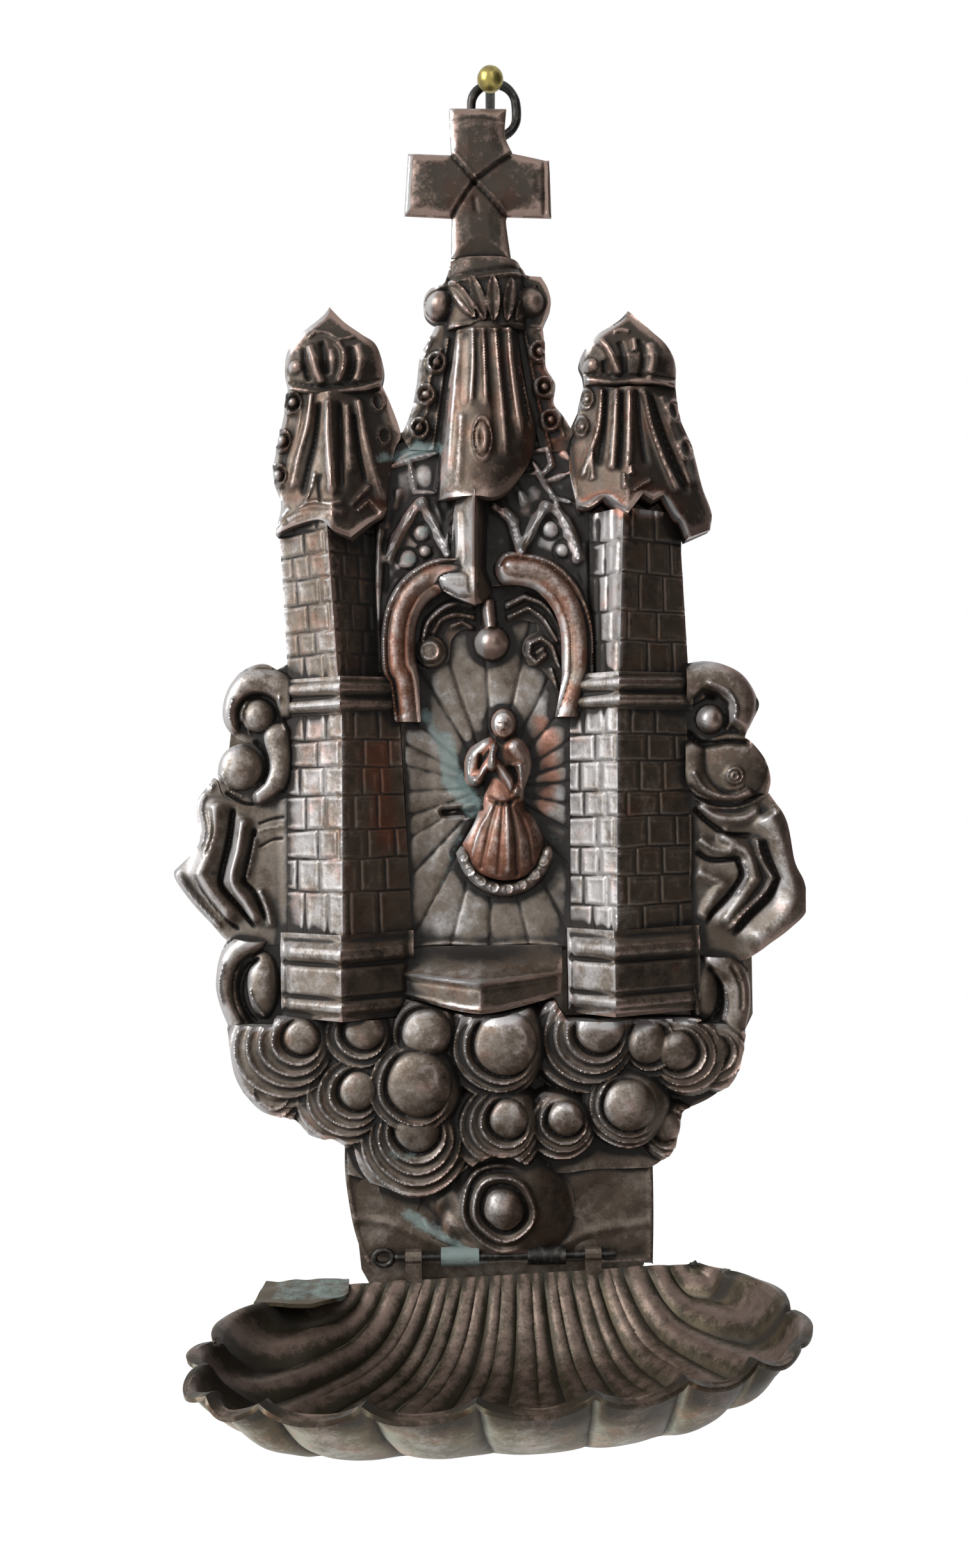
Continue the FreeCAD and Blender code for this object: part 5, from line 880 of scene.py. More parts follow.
relief("arch_moulding", [(-16.2, 132.5), (-16.5, 142.8), (-17.0, 146.3), (-17.2, 154.1),
    (-15.9, 159.3), (-13.0, 162.8), (-8.6, 164.9), (-2.4, 165.4), (6.8, 165.9), (11.8, 164.9),
    (14.9, 162.3), (17.3, 158.5), (18.6, 153.5), (18.7, 145.6), (18.6, 142.2), (16.9, 133.2),
    (22.2, 133.1), (25.8, 142.1), (26.6, 153.7), (25.2, 161.8), (21.0, 168.8), (15.4, 172.6),
    (6.9, 174.0), (-2.3, 173.0), (-10.6, 173.1), (-17.2, 170.4), (-22.3, 165.2), (-25.0, 158.3),
    (-25.7, 152.7), (-25.7, 143.0), (-22.3, 132.6)],
       arch_height, spacing=0.42)

# %% Leaves, volutes and the pendant
def left_leaf_height(spots):
    depth = np.full(len(spots), 3.6)
    depth += chased(spots, (
        ([(-3.3, 160.9), (-7.1, 161.6), (-10.5, 160.4), (-14.1, 157.0), (-15.4, 152.6)], 1.1, 2.6),
        ([(-3.0, 158.3), (-7.1, 159.0), (-10.6, 157.8), (-12.8, 154.7)], 0.9, 2.0),
        ([(-3.4, 155.8), (-5.6, 157.1), (-8.1, 156.2)], 0.7, 1.6)))
    knob = (-13.6, 150.0)
    depth = np.maximum(depth, 3.6 + bump(spots, knob, 4.1, 3.0))
    depth += ringlet(spots, knob, 2.1, 0.5, 0.6) + ringlet(spots, knob, 3.2, 0.4, -0.5)
    return depth


relief("left_arch_leaf", [(-2.4, 162.6), (-9.0, 163.4), (-14.1, 160.6), (-16.7, 155.6),
    (-18.0, 150.3), (-16.2, 145.8), (-12.4, 145.1), (-9.2, 147.9), (-8.5, 152.6), (-6.0, 155.1),
    (-2.2, 155.1)], left_leaf_height)


def right_leaf_height(spots):
    depth = np.full(len(spots), 3.6)
    depth += chased(spots, (
        ([(5.5, 161.0), (9.9, 163.1), (14.6, 160.9), (17.9, 155.9), (20.0, 148.8)], 1.0, 2.4),
        ([(6.1, 158.2), (10.8, 160.3), (14.5, 157.4), (17.6, 152.0)], 0.8, 2.0),
        ([(14.7, 148.6), (12.5, 146.8), (10.6, 148.7), (11.0, 151.5), (13.8, 152.7),
            (16.3, 150.8), (17.5, 147.3), (19.3, 142.3), (20.1, 136.3)], 0.8, 2.2),
        ([(12.8, 149.3), (14.1, 150.2)], 0.9, 1.4),
        ([(16.2, 145.1), (17.7, 139.5), (18.8, 134.4)], 0.7, 1.2)))
    return depth


relief("right_arch_leaf", [(4.9, 162.2), (10.9, 164.6), (16.6, 161.7), (20.2, 154.5),
    (21.2, 145.8), (21.6, 133.5), (18.6, 133.6), (16.5, 141.2), (13.7, 145.3), (10.6, 146.3),
    (9.1, 149.8), (10.1, 153.0), (13.0, 154.5), (12.7, 156.7), (8.6, 157.4),
    (5.1, 155.6)], right_leaf_height)


def pendant_height(spots):
    depth = 3.5 + bump(spots, (1.5, 151.7), 4.4, 7.2)
    stem = stroke(spots, [(0.8, 161.5), (1.3, 156.0)], 1.8, 5.0, top=round_top)
    depth = np.maximum(depth, 3.5 + stem)
    depth += ringlet(spots, (1.5, 151.7), 3.9, 0.4, 0.4)
    return depth


relief("pendant_ball", [(-1.1, 162.3), (-0.9, 156.6), (-2.5, 154.6), (-3.0, 151.8), (-2.1, 148.8),
    (1.5, 147.2), (4.9, 148.7), (6.1, 151.7), (5.5, 154.5), (3.8, 156.6),
    (3.6, 162.2)], pendant_height)

# %% The glory of rays behind the figure
GLORY = (1.2, 115.9)
RAY_TURNS = (4, 17, 31, 47, 62, 76, 92, 108, 121, 138, 152, 164, 181, 197, 210, 226, 241, 254,
             268, 282, 297, 313, 330, 347)
RAY_LIFTS = (0.42, 0.15, 0.5, 0.2, 0.35)


def glory_height(spots):
    dx, dz = spots[:, 0] - GLORY[0], spots[:, 1] - GLORY[1]
    turn = np.degrees(np.arctan2(dz, dx)) % 360
    reach = np.hypot(dx, dz)
    edges = np.array(RAY_TURNS + (RAY_TURNS[0] + 360,), float)
    turn = np.where(turn < edges[0], turn + 360, turn)
    k = np.clip(np.searchsorted(edges, turn, side="right") - 1, 0, len(edges) - 2)
    share = (turn - edges[k]) / (edges[k + 1] - edges[k])
    lift = np.array(RAY_LIFTS)[k % len(RAY_LIFTS)]
    fold = lift * np.sin(np.pi * np.clip(share, 0, 1)) ** 0.6
    gap = np.radians(np.minimum(share, 1 - share) * (edges[k + 1] - edges[k])) * reach
    groove = -0.22 * np.exp(-(gap / 0.45) ** 2)
    grow = fade(reach, 3.0, 9.0)
    depth = 3.0 + (fold + groove) * grow
    depth += 0.9 * fade(np.abs(spots[:, 0] - 0.6), 14.5, 21.0)
    depth += stroke(spots, [(-20.0, 77.2), (-10.5, 77.7), (-1.0, 77.1), (10.1, 77.4),
        (19.3, 76.6)], 0.9, 0.9)
    slot_far, _, _ = near(spots, np.array([(-10.9, 110.1), (-2.8, 110.2)]))
    return depth - 2.0 * soft_top(slot_far / 0.9) + 0.4 * soft_top((slot_far - 1.7) / 0.5)


relief("ray_panel", [(-20.4, 76.3), (-20.5, 105.5), (-20.0, 134.0), (-19.2, 145.1),
    (-18.7, 154.6), (-17.0, 160.9), (-12.8, 166.4), (-5.8, 168.6), (6.9, 169.2), (14.8, 165.1),
    (19.1, 159.5), (21.2, 152.3), (21.1, 133.3), (21.2, 104.7), (20.4, 75.6)],
       glory_height, spacing=0.42, beat=0.3)

# %% The ledge under the niche
LEDGE_LIP = [(-21.8, 70.8), (-2.7, 69.2), (17.4, 70.5)]


def ledge_height(spots):
    x, z = spots[:, 0], spots[:, 1]
    lip_z = np.interp(x, [p[0] for p in LEDGE_LIP], [p[1] for p in LEDGE_LIP])
    front = np.interp(x, [-21.8, -2.7, 17.4], [7.6, 16.8, 7.6])
    sill = 4.2 + (front - 4.2) * np.clip((76.6 - z) / (76.6 - lip_z), 0, 1) ** 1.3
    foot = front - 1.4 * np.clip((lip_z - z) / 8.0, 0, 1)
    depth = np.where(z > lip_z, sill, foot)
    depth += stroke(spots, LEDGE_LIP, 0.8, 0.7) + stroke(
        spots, [(a, b - 1.6) for a, b in LEDGE_LIP], 0.5, -0.25)
    depth += stroke(spots, [(-21.4, 65.8), (-2.7, 62.6), (17.0, 65.4)], 0.6, 0.5)
    return depth


relief("niche_ledge", [(-21.6, 77.0), (17.6, 77.0), (17.4, 70.4), (17.0, 64.6), (-2.7, 61.6),
    (-21.6, 65.0), (-21.8, 70.6)], ledge_height, spacing=0.42,
       creases=([(-2.7, 61.9), (-2.7, 69.2), (-2.7, 76.5)], LEDGE_LIP[:2], LEDGE_LIP[1:]))

# %% [markdown]
# ## The figure
#
# A robed figure stands in the niche, hands joined, on a crescent of cloud. It was stamped from
# its own piece of sheet and is held by a tab through a slot. The head keeps its place and size,
# with a calm, general face.

# %% The praying figure
def figure_height(spots):
    parts = (
        bump(spots, (4.2, 131.6), 3.3, 5.4, stretch=(1.0, 1.22)),
        bump(spots, (3.8, 121.5), 5.6, 4.6, stretch=(1.0, 1.7)),
        bump(spots, (3.6, 101.8), 10.4, 6.6, stretch=(1.0, 1.02)),
        bump(spots, (3.8, 110.2), 5.4, 5.4, stretch=(1.0, 2.0)),
        stroke(spots, [(-0.2, 126.2), (-3.0, 123.1), (-3.2, 118.8)], 2.7, 5.0, top=round_top),
        stroke(spots, [(7.0, 125.8), (8.8, 121.4), (7.1, 114.8)], 2.9, 5.2, top=round_top),
        stroke(spots, [(-2.8, 118.1), (-0.7, 120.9), (1.0, 123.4)], 1.5, 6.4, top=round_top),
        stroke(spots, [(6.5, 115.2), (4.4, 118.9), (2.0, 122.1)], 1.6, 6.4, top=round_top),
        stroke(spots, [(1.0, 120.9), (1.2, 123.4), (1.7, 125.9)], 1.15, 7.6, top=round_top),
    )
    body = sum(part ** 4 for part in parts) ** 0.25
    depth = 3.7 + body
    depth += chased(spots, (
        ([(2.1, 112.1), (0.1, 105.3), (-1.9, 96.6)], 0.7, -0.7),
        ([(3.7, 112.1), (2.9, 103.7), (2.1, 95.0)], 0.6, -0.5),
        ([(5.4, 112.1), (6.6, 103.6), (6.8, 94.9)], 0.8, -0.9),
        ([(6.8, 111.1), (9.5, 105.1), (10.6, 97.0)], 0.6, -0.5),
        ([(0.8, 111.2), (-2.4, 105.4), (-4.4, 99.2)], 0.6, 0.4),
        ([(4.6, 111.5), (4.8, 103.7), (4.6, 95.6)], 0.8, 0.5),
        ([(0.2, 113.4), (3.7, 112.1), (7.4, 113.3)], 0.7, -0.8),
        ([(-4.2, 124.1), (-4.9, 120.0), (-3.1, 117.2), (-1.5, 118.1)], 0.5, 0.6),
        ([(-1.7, 124.0), (-2.1, 120.3), (-2.8, 119.1)], 0.6, -1.2),
        ([(5.4, 121.1), (6.9, 118.9), (5.9, 114.6)], 0.7, -1.3),
        ([(4.4, 121.4), (7.9, 121.4), (8.4, 115.8)], 0.5, 0.6),
        ([(2.7, 128.3), (3.9, 127.1), (5.5, 128.3)], 0.5, -0.6),
        ([(2.1, 127.4), (0.7, 124.0)], 0.5, 0.5)))
    # a general face: veil round it, brow, nose, closed eyes and mouth
    face_x, face_z = (4.1, 131.2)
    depth += ringlet(spots, (face_x, face_z + 0.2), 2.35, 0.5, 0.55, stretch=(1.0, 1.25))
    for dx, dz, ex, ez, width, rise in (
            (-1.15, 0.55, -0.45, 0.55, 0.28, -0.4), (0.45, 0.55, 1.15, 0.55, 0.28, -0.4),
            (0.0, 0.7, 0.0, -0.45, 0.34, 0.5), (-0.5, -1.15, 0.5, -1.15, 0.24, -0.35),
            (-1.1, 1.0, 1.1, 1.0, 0.3, 0.2)):
        depth += stroke(spots, [(face_x + dx, face_z + dz), (face_x + ex, face_z + ez)], width,
                        rise)
    return depth


relief("figure", [(4.2, 135.9), (6.7, 134.9), (7.9, 131.7), (7.1, 128.8), (9.9, 126.1),
    (10.7, 120.7), (8.7, 113.6), (12.0, 106.9), (14.1, 100.6), (12.5, 95.6), (5.5, 93.3),
    (-0.7, 94.3), (-6.3, 97.8), (-6.9, 101.3), (-3.9, 106.9), (-1.3, 112.8), (-2.5, 115.0),
    (-5.6, 116.9), (-6.0, 121.0), (-4.6, 125.4), (-1.7, 127.5), (0.8, 128.7), (0.3, 131.9),
    (1.6, 134.8)],
       figure_height, spacing=0.3, beat=0.12)


CRESCENT_CURLS = [(-6.3, 99.1), (-4.8, 95.6), (-2.0, 93.1), (1.1, 91.5), (4.6, 91.1), (8.0, 92.0),
    (11.2, 94.4), (13.4, 97.8)]


def crescent_height(spots):
    depth = 3.8 + stroke(spots, [(-6.6, 100.0), (-4.4, 95.6), (-1.1, 92.4), (3.6, 90.9),
        (9.0, 92.3), (12.5, 95.6), (14.4, 99.7)], 1.9, 3.6, top=round_top)
    for centre in CRESCENT_CURLS:
        depth += ringlet(spots, centre, 1.1, 0.4, 0.7) + bump(spots, centre, 0.7, 0.3)
    return depth


relief("figure_crescent", [(-8.2, 100.0), (-6.5, 102.5), (-5.0, 100.6), (-3.2, 97.1),
    (-0.4, 94.2), (3.7, 92.9), (8.4, 94.0), (11.6, 97.1), (12.9, 100.9), (15.2, 101.5),
    (15.7, 98.3), (13.4, 93.3), (9.0, 89.9), (3.6, 88.6), (-2.0, 89.8), (-6.1, 93.3)],
       crescent_height, spacing=0.34)

# %% [markdown]
# ## Scrolls, flames and clouds
#
# Beside the towers the sheet rolls into volutes, and below them it breaks into flame-edged
# brackets. The clouds are overlapping puffs: each has a ball, and round it stepped crescents
# that spread to one side, like the grooves of a shell. A shifted circle gives that step: its
# centre wanders as its radius grows.

# %% Scrolls
def volute(spots, ball, ball_r, band, width, rise, low=3.4):
    """A ball with a groove round it, and the broad band that rolls up to it."""
    depth = np.full(len(spots), low)
    depth = np.maximum(depth, low - 0.2 + stroke(spots, band, width, rise, top=round_top,
                                                 ends=(0.0, 0.12), grow=(1.1, 0.8)))
    rho = np.hypot(*(spots - np.array(ball)).T)
    depth -= 1.9 * soft_top((rho - ball_r * 1.12) / 0.8)
    depth = np.maximum(depth, low - 0.6 + bump(spots, ball, ball_r, rise * 1.25))
    return np.maximum(depth, 2.0)


def left_scroll_height(spots):
    upper = volute(spots, (-56.5, 134.9), 4.4,
                   [(-48.5, 137.9), (-50.4, 141.1), (-54.8, 142.7), (-58.9, 142.2),
                       (-61.5, 138.7), (-62.2, 134.3), (-60.3, 131.1)],
                   3.9, 3.4)
    lower = volute(spots, (-61.1, 122.0), 5.7,
                   [(-51.8, 129.7), (-51.0, 124.0), (-52.0, 119.3), (-55.2, 115.9),
                       (-59.0, 114.7)], 3.4, 2.9)
    depth = np.maximum(upper, lower)
    depth += chased(spots, (
        ([(-62.4, 139.1), (-63.3, 134.7), (-61.9, 130.9)], 0.45, 0.7),
        ([(-59.3, 138.4), (-60.3, 134.3), (-58.8, 130.5)], 0.40, 0.7),
        ([(-49.6, 131.3), (-51.4, 136.0), (-51.0, 139.2)], 0.5, 0.8),
        ([(-64.7, 115.8), (-60.3, 113.2), (-55.6, 113.1), (-50.8, 116.2)], 0.5, -0.9),
        ([(-57.2, 128.3), (-55.1, 125.7), (-54.5, 121.9), (-55.5, 118.4)], 0.7, -1.2),
        ([(-65.6, 120.5), (-64.1, 116.7), (-61.2, 115.1)], 0.5, 0.8)))
    return depth


relief("left_scroll", [(-48.3, 148.0), (-51.7, 146.2), (-54.8, 147.7), (-58.3, 147.1),
    (-61.8, 144.8), (-64.4, 140.4), (-65.2, 135.1), (-63.8, 131.2), (-60.8, 128.8),
    (-58.3, 128.0), (-62.4, 127.7), (-65.3, 125.6), (-66.8, 121.8), (-66.4, 117.7),
    (-64.6, 114.2), (-58.9, 111.9), (-52.6, 113.0), (-48.6, 115.5)],
       left_scroll_height)


def right_scroll_height(spots):
    upper = volute(spots, (55.2, 132.1), 3.7,
                   [(50.3, 140.3), (54.4, 142.4), (59.4, 141.4), (62.8, 137.2), (62.4, 132.8),
                       (60.2, 129.4)], 4.4, 3.8)
    lower = volute(spots, (60.6, 118.6), 4.4,
                   [(50.6, 123.2), (51.4, 117.8), (55.2, 114.0), (61.2, 113.6),
                       (66.2, 115.7)], 3.2, 2.9)
    depth = np.maximum(upper, lower)
    depth = np.maximum(depth, 3.2 + bump(spots, (60.6, 120.2), 8.6, 2.6))
    depth += chased(spots, (
        ([(55.0, 140.8), (59.4, 138.5), (61.2, 134.4), (59.5, 129.7)], 0.8, 1.3),
        ([(51.5, 136.8), (53.7, 138.9), (56.5, 137.9)], 1.1, -1.7),
        ([(50.1, 128.6), (53.5, 126.0), (59.8, 126.5), (64.2, 126.1)], 0.9, -1.8),
        ([(50.8, 118.8), (53.6, 114.6), (58.6, 112.7), (64.0, 114.1)], 0.7, 1.0),
        ([(50.1, 115.7), (53.9, 112.7), (59.5, 111.4), (68.1, 113.1)], 0.5, -0.8)))
    depth += ringlet(spots, (60.9, 118.0), 1.9, 0.35, 0.6)
    return depth + ringlet(spots, (60.9, 118.0), 0.8, 0.35, 0.5)


relief("right_scroll", [(49.5, 146.0), (54.0, 146.4), (58.7, 145.4), (63.4, 142.8), (66.6, 138.1),
    (67.5, 135.0), (65.1, 130.3), (63.8, 127.4), (65.6, 126.0), (68.9, 121.6), (70.1, 117.0),
    (69.4, 113.3), (62.8, 111.3), (54.9, 112.1), (48.7, 114.7)],
       right_scroll_height)

# %% Flames
def left_flame_height(spots):
    depth = 3.4 + 0.6 * fade(spots[:, 0], -53.0, -50.0)
    depth += chased(spots, (
        ([(-67.2, 115.2), (-67.7, 107.9), (-69.4, 100.6), (-71.4, 95.9), (-67.7, 89.8),
            (-62.4, 83.1)], 3.1, 3.0),
        ([(-60.4, 110.6), (-61.8, 102.1), (-63.5, 94.2), (-60.1, 88.4), (-56.7, 82.3)], 1.9, 2.5),
        ([(-57.9, 105.2), (-59.0, 99.8), (-60.6, 94.1)], 0.9, 1.3),
        ([(-57.2, 92.2), (-55.1, 87.0), (-54.2, 82.3)], 1.1, 1.5),
        ([(-69.8, 115.8), (-70.9, 112.1), (-69.9, 106.3), (-71.6, 101.6)], 0.6, 1.3),
        ([(-76.6, 96.9), (-75.9, 94.1), (-73.1, 89.9), (-66.2, 82.2)], 0.7, 1.8),
        ([(-68.1, 118.3), (-68.8, 116.1)], 0.6, 0.8)), ends=(0.08, 0.12))
    depth += chased(spots, (
        ([(-63.2, 112.6), (-64.3, 104.6), (-66.3, 96.4), (-66.4, 92.6), (-62.3, 87.8),
            (-57.7, 81.7)], 0.65, -2.2),
        ([(-57.9, 107.4), (-59.3, 100.4), (-61.0, 93.8), (-57.9, 90.3), (-55.4, 83.6)], 0.5, -1.5),
        ([(-73.0, 95.9), (-70.2, 90.8), (-65.6, 85.0), (-61.8, 81.5)], 0.5, -1.0),
        ([(-68.6, 112.3), (-68.0, 106.3), (-70.0, 100.3)], 0.4, -0.8),
        ([(-57.2, 108.0), (-53.7, 109.2), (-50.2, 109.8)], 0.4, -0.6),
        ([(-57.3, 106.1), (-53.8, 107.0), (-50.3, 107.3)], 0.4, 0.5),
        ([(-57.0, 102.3), (-53.5, 104.1), (-50.6, 104.4)], 0.4, -0.6)), ends=(0.06, 0.1))
    return np.clip(depth, 2.0, 7.4)


relief("left_flame", [(-48.7, 114.8), (-52.7, 113.6), (-58.7, 112.5), (-63.8, 113.8),
    (-66.1, 115.8), (-66.9, 118.6), (-68.1, 119.6), (-69.1, 118.0), (-71.9, 114.3),
    (-72.1, 109.5), (-71.4, 105.2), (-72.9, 101.8), (-78.4, 96.5), (-77.4, 93.8), (-73.7, 88.6),
    (-69.1, 83.5), (-64.7, 79.0), (-58.1, 78.2), (-49.3, 78.1)],
       left_flame_height)


def right_flame_height(spots):
    depth = np.full(len(spots), 3.4)
    depth += chased(spots, (
        ([(68.0, 109.3), (71.4, 102.6), (73.2, 95.6), (74.7, 89.2), (73.3, 84.2), (68.1, 79.2),
            (62.4, 75.5)], 4.2, 3.0),
        ([(56.5, 104.1), (61.2, 100.6), (64.0, 98.3), (65.5, 92.6), (61.0, 86.3),
            (56.4, 80.0)], 2.2, 2.2),
        ([(51.9, 111.2), (56.6, 107.9), (62.9, 107.5), (67.7, 110.0)], 1.6, 1.6),
        ([(51.7, 102.6), (55.8, 100.0), (60.6, 99.3)], 1.5, 1.4),
        ([(51.0, 94.7), (55.1, 92.7), (57.6, 91.4), (54.3, 86.7), (51.7, 82.0)], 1.9, 1.3)),
            ends=(0.06, 0.12))
    depth += chased(spots, (
        ([(50.9, 110.2), (54.7, 106.4), (59.1, 103.6), (65.4, 103.0)], 0.6, -2.0),
        ([(66.0, 102.7), (67.0, 97.9), (69.6, 92.5), (67.4, 88.7), (62.2, 83.7),
            (58.3, 79.0)], 0.75, 2.0),
        ([(67.9, 102.3), (69.4, 97.6), (71.5, 92.4), (68.9, 87.4), (63.4, 82.1),
            (59.9, 77.8)], 0.7, -1.3),
        ([(51.1, 99.5), (55.1, 97.2), (61.5, 97.4), (62.4, 93.2), (59.4, 88.5), (54.9, 83.9),
            (53.6, 80.7)], 0.6, -1.8),
        ([(62.7, 97.0), (63.6, 92.9), (60.4, 87.9)], 0.5, 0.9),
        ([(50.7, 112.8), (55.4, 110.5), (61.7, 110.1), (68.7, 112.5)], 0.5, 0.8),
        ([(70.3, 109.9), (71.5, 108.3)], 0.6, 0.8),
        ([(50.0, 109.0), (49.9, 97.9), (49.3, 88.4)], 0.6, 0.9)), ends=(0.04, 0.1))
    return np.clip(depth, 2.0, 7.6)


relief("right_flame", [(48.8, 115.0), (55.1, 112.6), (63.0, 111.8), (69.7, 113.4), (73.7, 106.7),
    (75.4, 96.7), (77.9, 91.1), (78.4, 84.4), (74.2, 80.0), (69.4, 76.6), (62.9, 72.3),
    (56.0, 72.4), (48.1, 75.1)],
       right_flame_height)

# %% A puff of cloud
def wander(spots, centre, core, lean):
    """Radius of the wandering circle through each spot."""
    lean = np.array(lean)
    rel = spots - np.array(centre) + lean * core
    dot = rel @ lean
    square = 1 - lean @ lean
    return (-dot + np.sqrt(dot * dot + square * (rel * rel).sum(1))) / square


def puff(spots, centre, core, reach, lean, top, low, step, rise):
    """Smooth ball of radius core, and ragged crescents on the side that it leans to."""
    rho = wander(spots, centre, core, lean)
    rel = spots - np.array(centre)
    turn = np.arctan2(rel[:, 1], rel[:, 0])
    rho = rho * (1 + 0.018 * np.sin(2 * turn + 1.7 * centre[0]) + 0.008 * np.sin(5 * turn))
    side = (rel @ np.array(lean)) / (np.hypot(*lean) * np.maximum(np.hypot(*rel.T), 0.1))
    grooved = fade(side, -0.35, 0.45)
    q = np.clip(rho / reach, 0, 1.2)
    body = low + (top - low) * np.clip(1 - q ** 2, 0, 1) ** 0.55
    ball_r = min(core * 1.9, reach * 0.64)
    saw = (np.clip(rho - ball_r, 0, None) / (0.8 * step)) % 1.0
    crest = np.where(saw < 0.72, (saw / 0.72) ** 2.2, 1 - fade(saw, 0.72, 1.0))
    gain = 1.5 * rise * (rho > ball_r) * fade(reach * 1.06 - rho, 0, 1.0) * grooved
    ball = np.where(rho < ball_r, rise * 1.3 * np.sqrt(np.clip(1 - (rho / ball_r) ** 2, 0, 1)), 0)
    groove = -rise * soft_top((rho - ball_r) / 0.5) * (0.35 + 0.65 * grooved)
    return np.where(rho < reach * 1.03, body + crest * gain + ball + groove, -1.0)


BANK_FRONT = 15.1    # no puff stands further forward than this
# centre, core, reach, lean, top, low, step, rise
PUFFS = (
    ((-45.4, 56.7), 2.4, 15.5, (-0.50, -0.34), 11.0, 3.4, 2.6, 1.0),
    ((-58.9, 56.3), 1.6, 7.0, (-0.3, -0.5), 6.4, 3.2, 1.8, 0.7),
    ((-53.2, 43.7), 1.8, 8.6, (-0.3, -0.45), 7.4, 3.2, 2.0, 0.8),
    ((-30.2, 58.3), 2.6, 10.4, (-0.42, -0.42), 12.2, 4.6, 2.1, 0.9),
    ((-31.8, 43.2), 2.6, 13.0, (-0.50, -0.22), 10.6, 3.4, 2.3, 0.9),
    ((-39.1, 35.5), 1.8, 6.4, (-0.3, -0.4), 7.6, 3.0, 1.8, 0.7),
    ((-15.7, 56.2), 5.2, 9.8, (-0.36, 0.30), 12.6, 4.6, 1.8, 0.9),
    ((-18.6, 34.1), 3.0, 15.0, (-0.10, -0.52), 10.6, 2.2, 2.4, 1.0),
    ((-10.3, 27.3), 1.8, 6.0, (0.2, -0.5), 7.6, 2.4, 1.7, 0.8),
    ((-17.4, 44.9), 6.6, 12.8, (-0.42, -0.30), 14.0, 6.0, 2.0, 1.0),
    ((4.5, 36.0), 2.6, 12.6, (-0.42, -0.36), 11.0, 4.0, 2.2, 1.0),
    ((4.8, 54.7), 4.2, 13.2, (-0.48, -0.20), 14.0, 6.0, 2.2, 1.1),
    ((36.8, 53.7), 2.8, 9.0, (0.40, -0.20), 12.0, 5.0, 1.9, 0.9),
    ((27.4, 58.2), 3.2, 14.0, (-0.44, -0.40), 13.0, 4.6, 2.3, 1.1),
    ((44.1, 51.6), 2.6, 10.6, (0.46, -0.24), 11.4, 4.0, 2.0, 0.9),
    ((53.7, 51.1), 2.0, 9.0, (0.34, -0.34), 8.4, 3.0, 2.0, 0.8),
    ((42.1, 32.5), 2.0, 7.5, (0.3, -0.4), 7.0, 2.4, 1.8, 0.7),
    ((18.2, 35.8), 2.4, 9.2, (-0.30, -0.44), 10.8, 4.0, 1.9, 1.0),
    ((33.3, 38.2), 3.4, 11.2, (-0.10, -0.06), 12.4, 4.4, 1.9, 0.9),
)


def bank_height(spots):
    depth = np.full(len(spots), 2.4)
    for values in PUFFS:
        depth = np.maximum(depth, puff(spots, *values))
    return np.minimum(depth, BANK_FRONT)


relief("cloud_bank", [(-65.1, 58.8), (-64.5, 52.7), (-63.4, 46.3), (-60.3, 40.7), (-56.5, 37.1),
    (-49.9, 35.0), (-46.0, 31.5), (-42.8, 30.3), (-39.4, 30.3), (-36.9, 27.9), (-36.5, 20.6),
    (-27.3, 17.9), (-21.0, 15.3), (-14.7, 16.4), (-8.3, 20.8), (-1.9, 25.4), (4.4, 25.3),
    (10.6, 21.4), (16.9, 20.0), (24.8, 20.8), (35.9, 20.9), (39.7, 21.5), (43.8, 25.2),
    (45.5, 30.2), (46.5, 35.7), (49.5, 36.1), (55.1, 38.9), (59.6, 43.4), (61.3, 48.9),
    (63.0, 56.4), (50.7, 57.3), (49.1, 58.6), (18.2, 59.1), (15.4, 63.6), (-2.7, 60.1),
    (-21.0, 64.6), (-23.4, 60.1), (-53.0, 60.7), (-53.7, 58.6)],
       bank_height)

# %% Cloud cheeks beside the bases
def cheek_height(dome, dome_r, bands, grooves, low=3.2):
    """A dome by the base, and flat bands that wrap round it."""
    def height(spots):
        depth = np.full(len(spots), low)
        for line, width, rise in bands:
            depth = np.maximum(depth, low - 0.3 + stroke(spots, line, width, rise,
                                                         top=round_top))
        depth = np.maximum(depth, low + bump(spots, dome, dome_r, 3.0, stretch=(0.72, 1.5)))
        for line, width, rise in grooves:
            depth += stroke(spots, line, width, rise, ends=(0.1, 0.1))
        return np.clip(depth, 2.0, 7.4)
    return height


relief("left_side_cloud", [(-49.7, 79.4), (-57.9, 78.9), (-64.9, 80.0), (-67.0, 75.9),
    (-67.9, 68.7), (-67.0, 63.6), (-65.1, 58.4), (-59.9, 57.6), (-52.0, 57.7), (-51.0, 74.4)],
       cheek_height((-56.5, 68.2), 5.6,
                    (([(-58.5, 79.3), (-63.7, 75.6), (-66.0, 69.0), (-65.1, 63.3),
                        (-62.4, 57.8)], 3.0, 3.4),),
                    (([(-58.3, 76.7), (-62.8, 73.0), (-64.1, 67.4), (-63.0, 62.0),
                        (-60.2, 57.8)], 0.45, -1.2),
                     ([(-56.7, 75.4), (-60.9, 71.7), (-62.2, 66.4), (-60.8, 61.3),
                         (-58.0, 58.4)], 0.65, -2.2),
                     ([(-59.7, 67.9), (-58.5, 64.1), (-55.7, 59.9)], 0.5, 1.0),
                     ([(-65.6, 74.7), (-66.9, 69.0), (-66.1, 63.3)], 0.5, 0.7))))
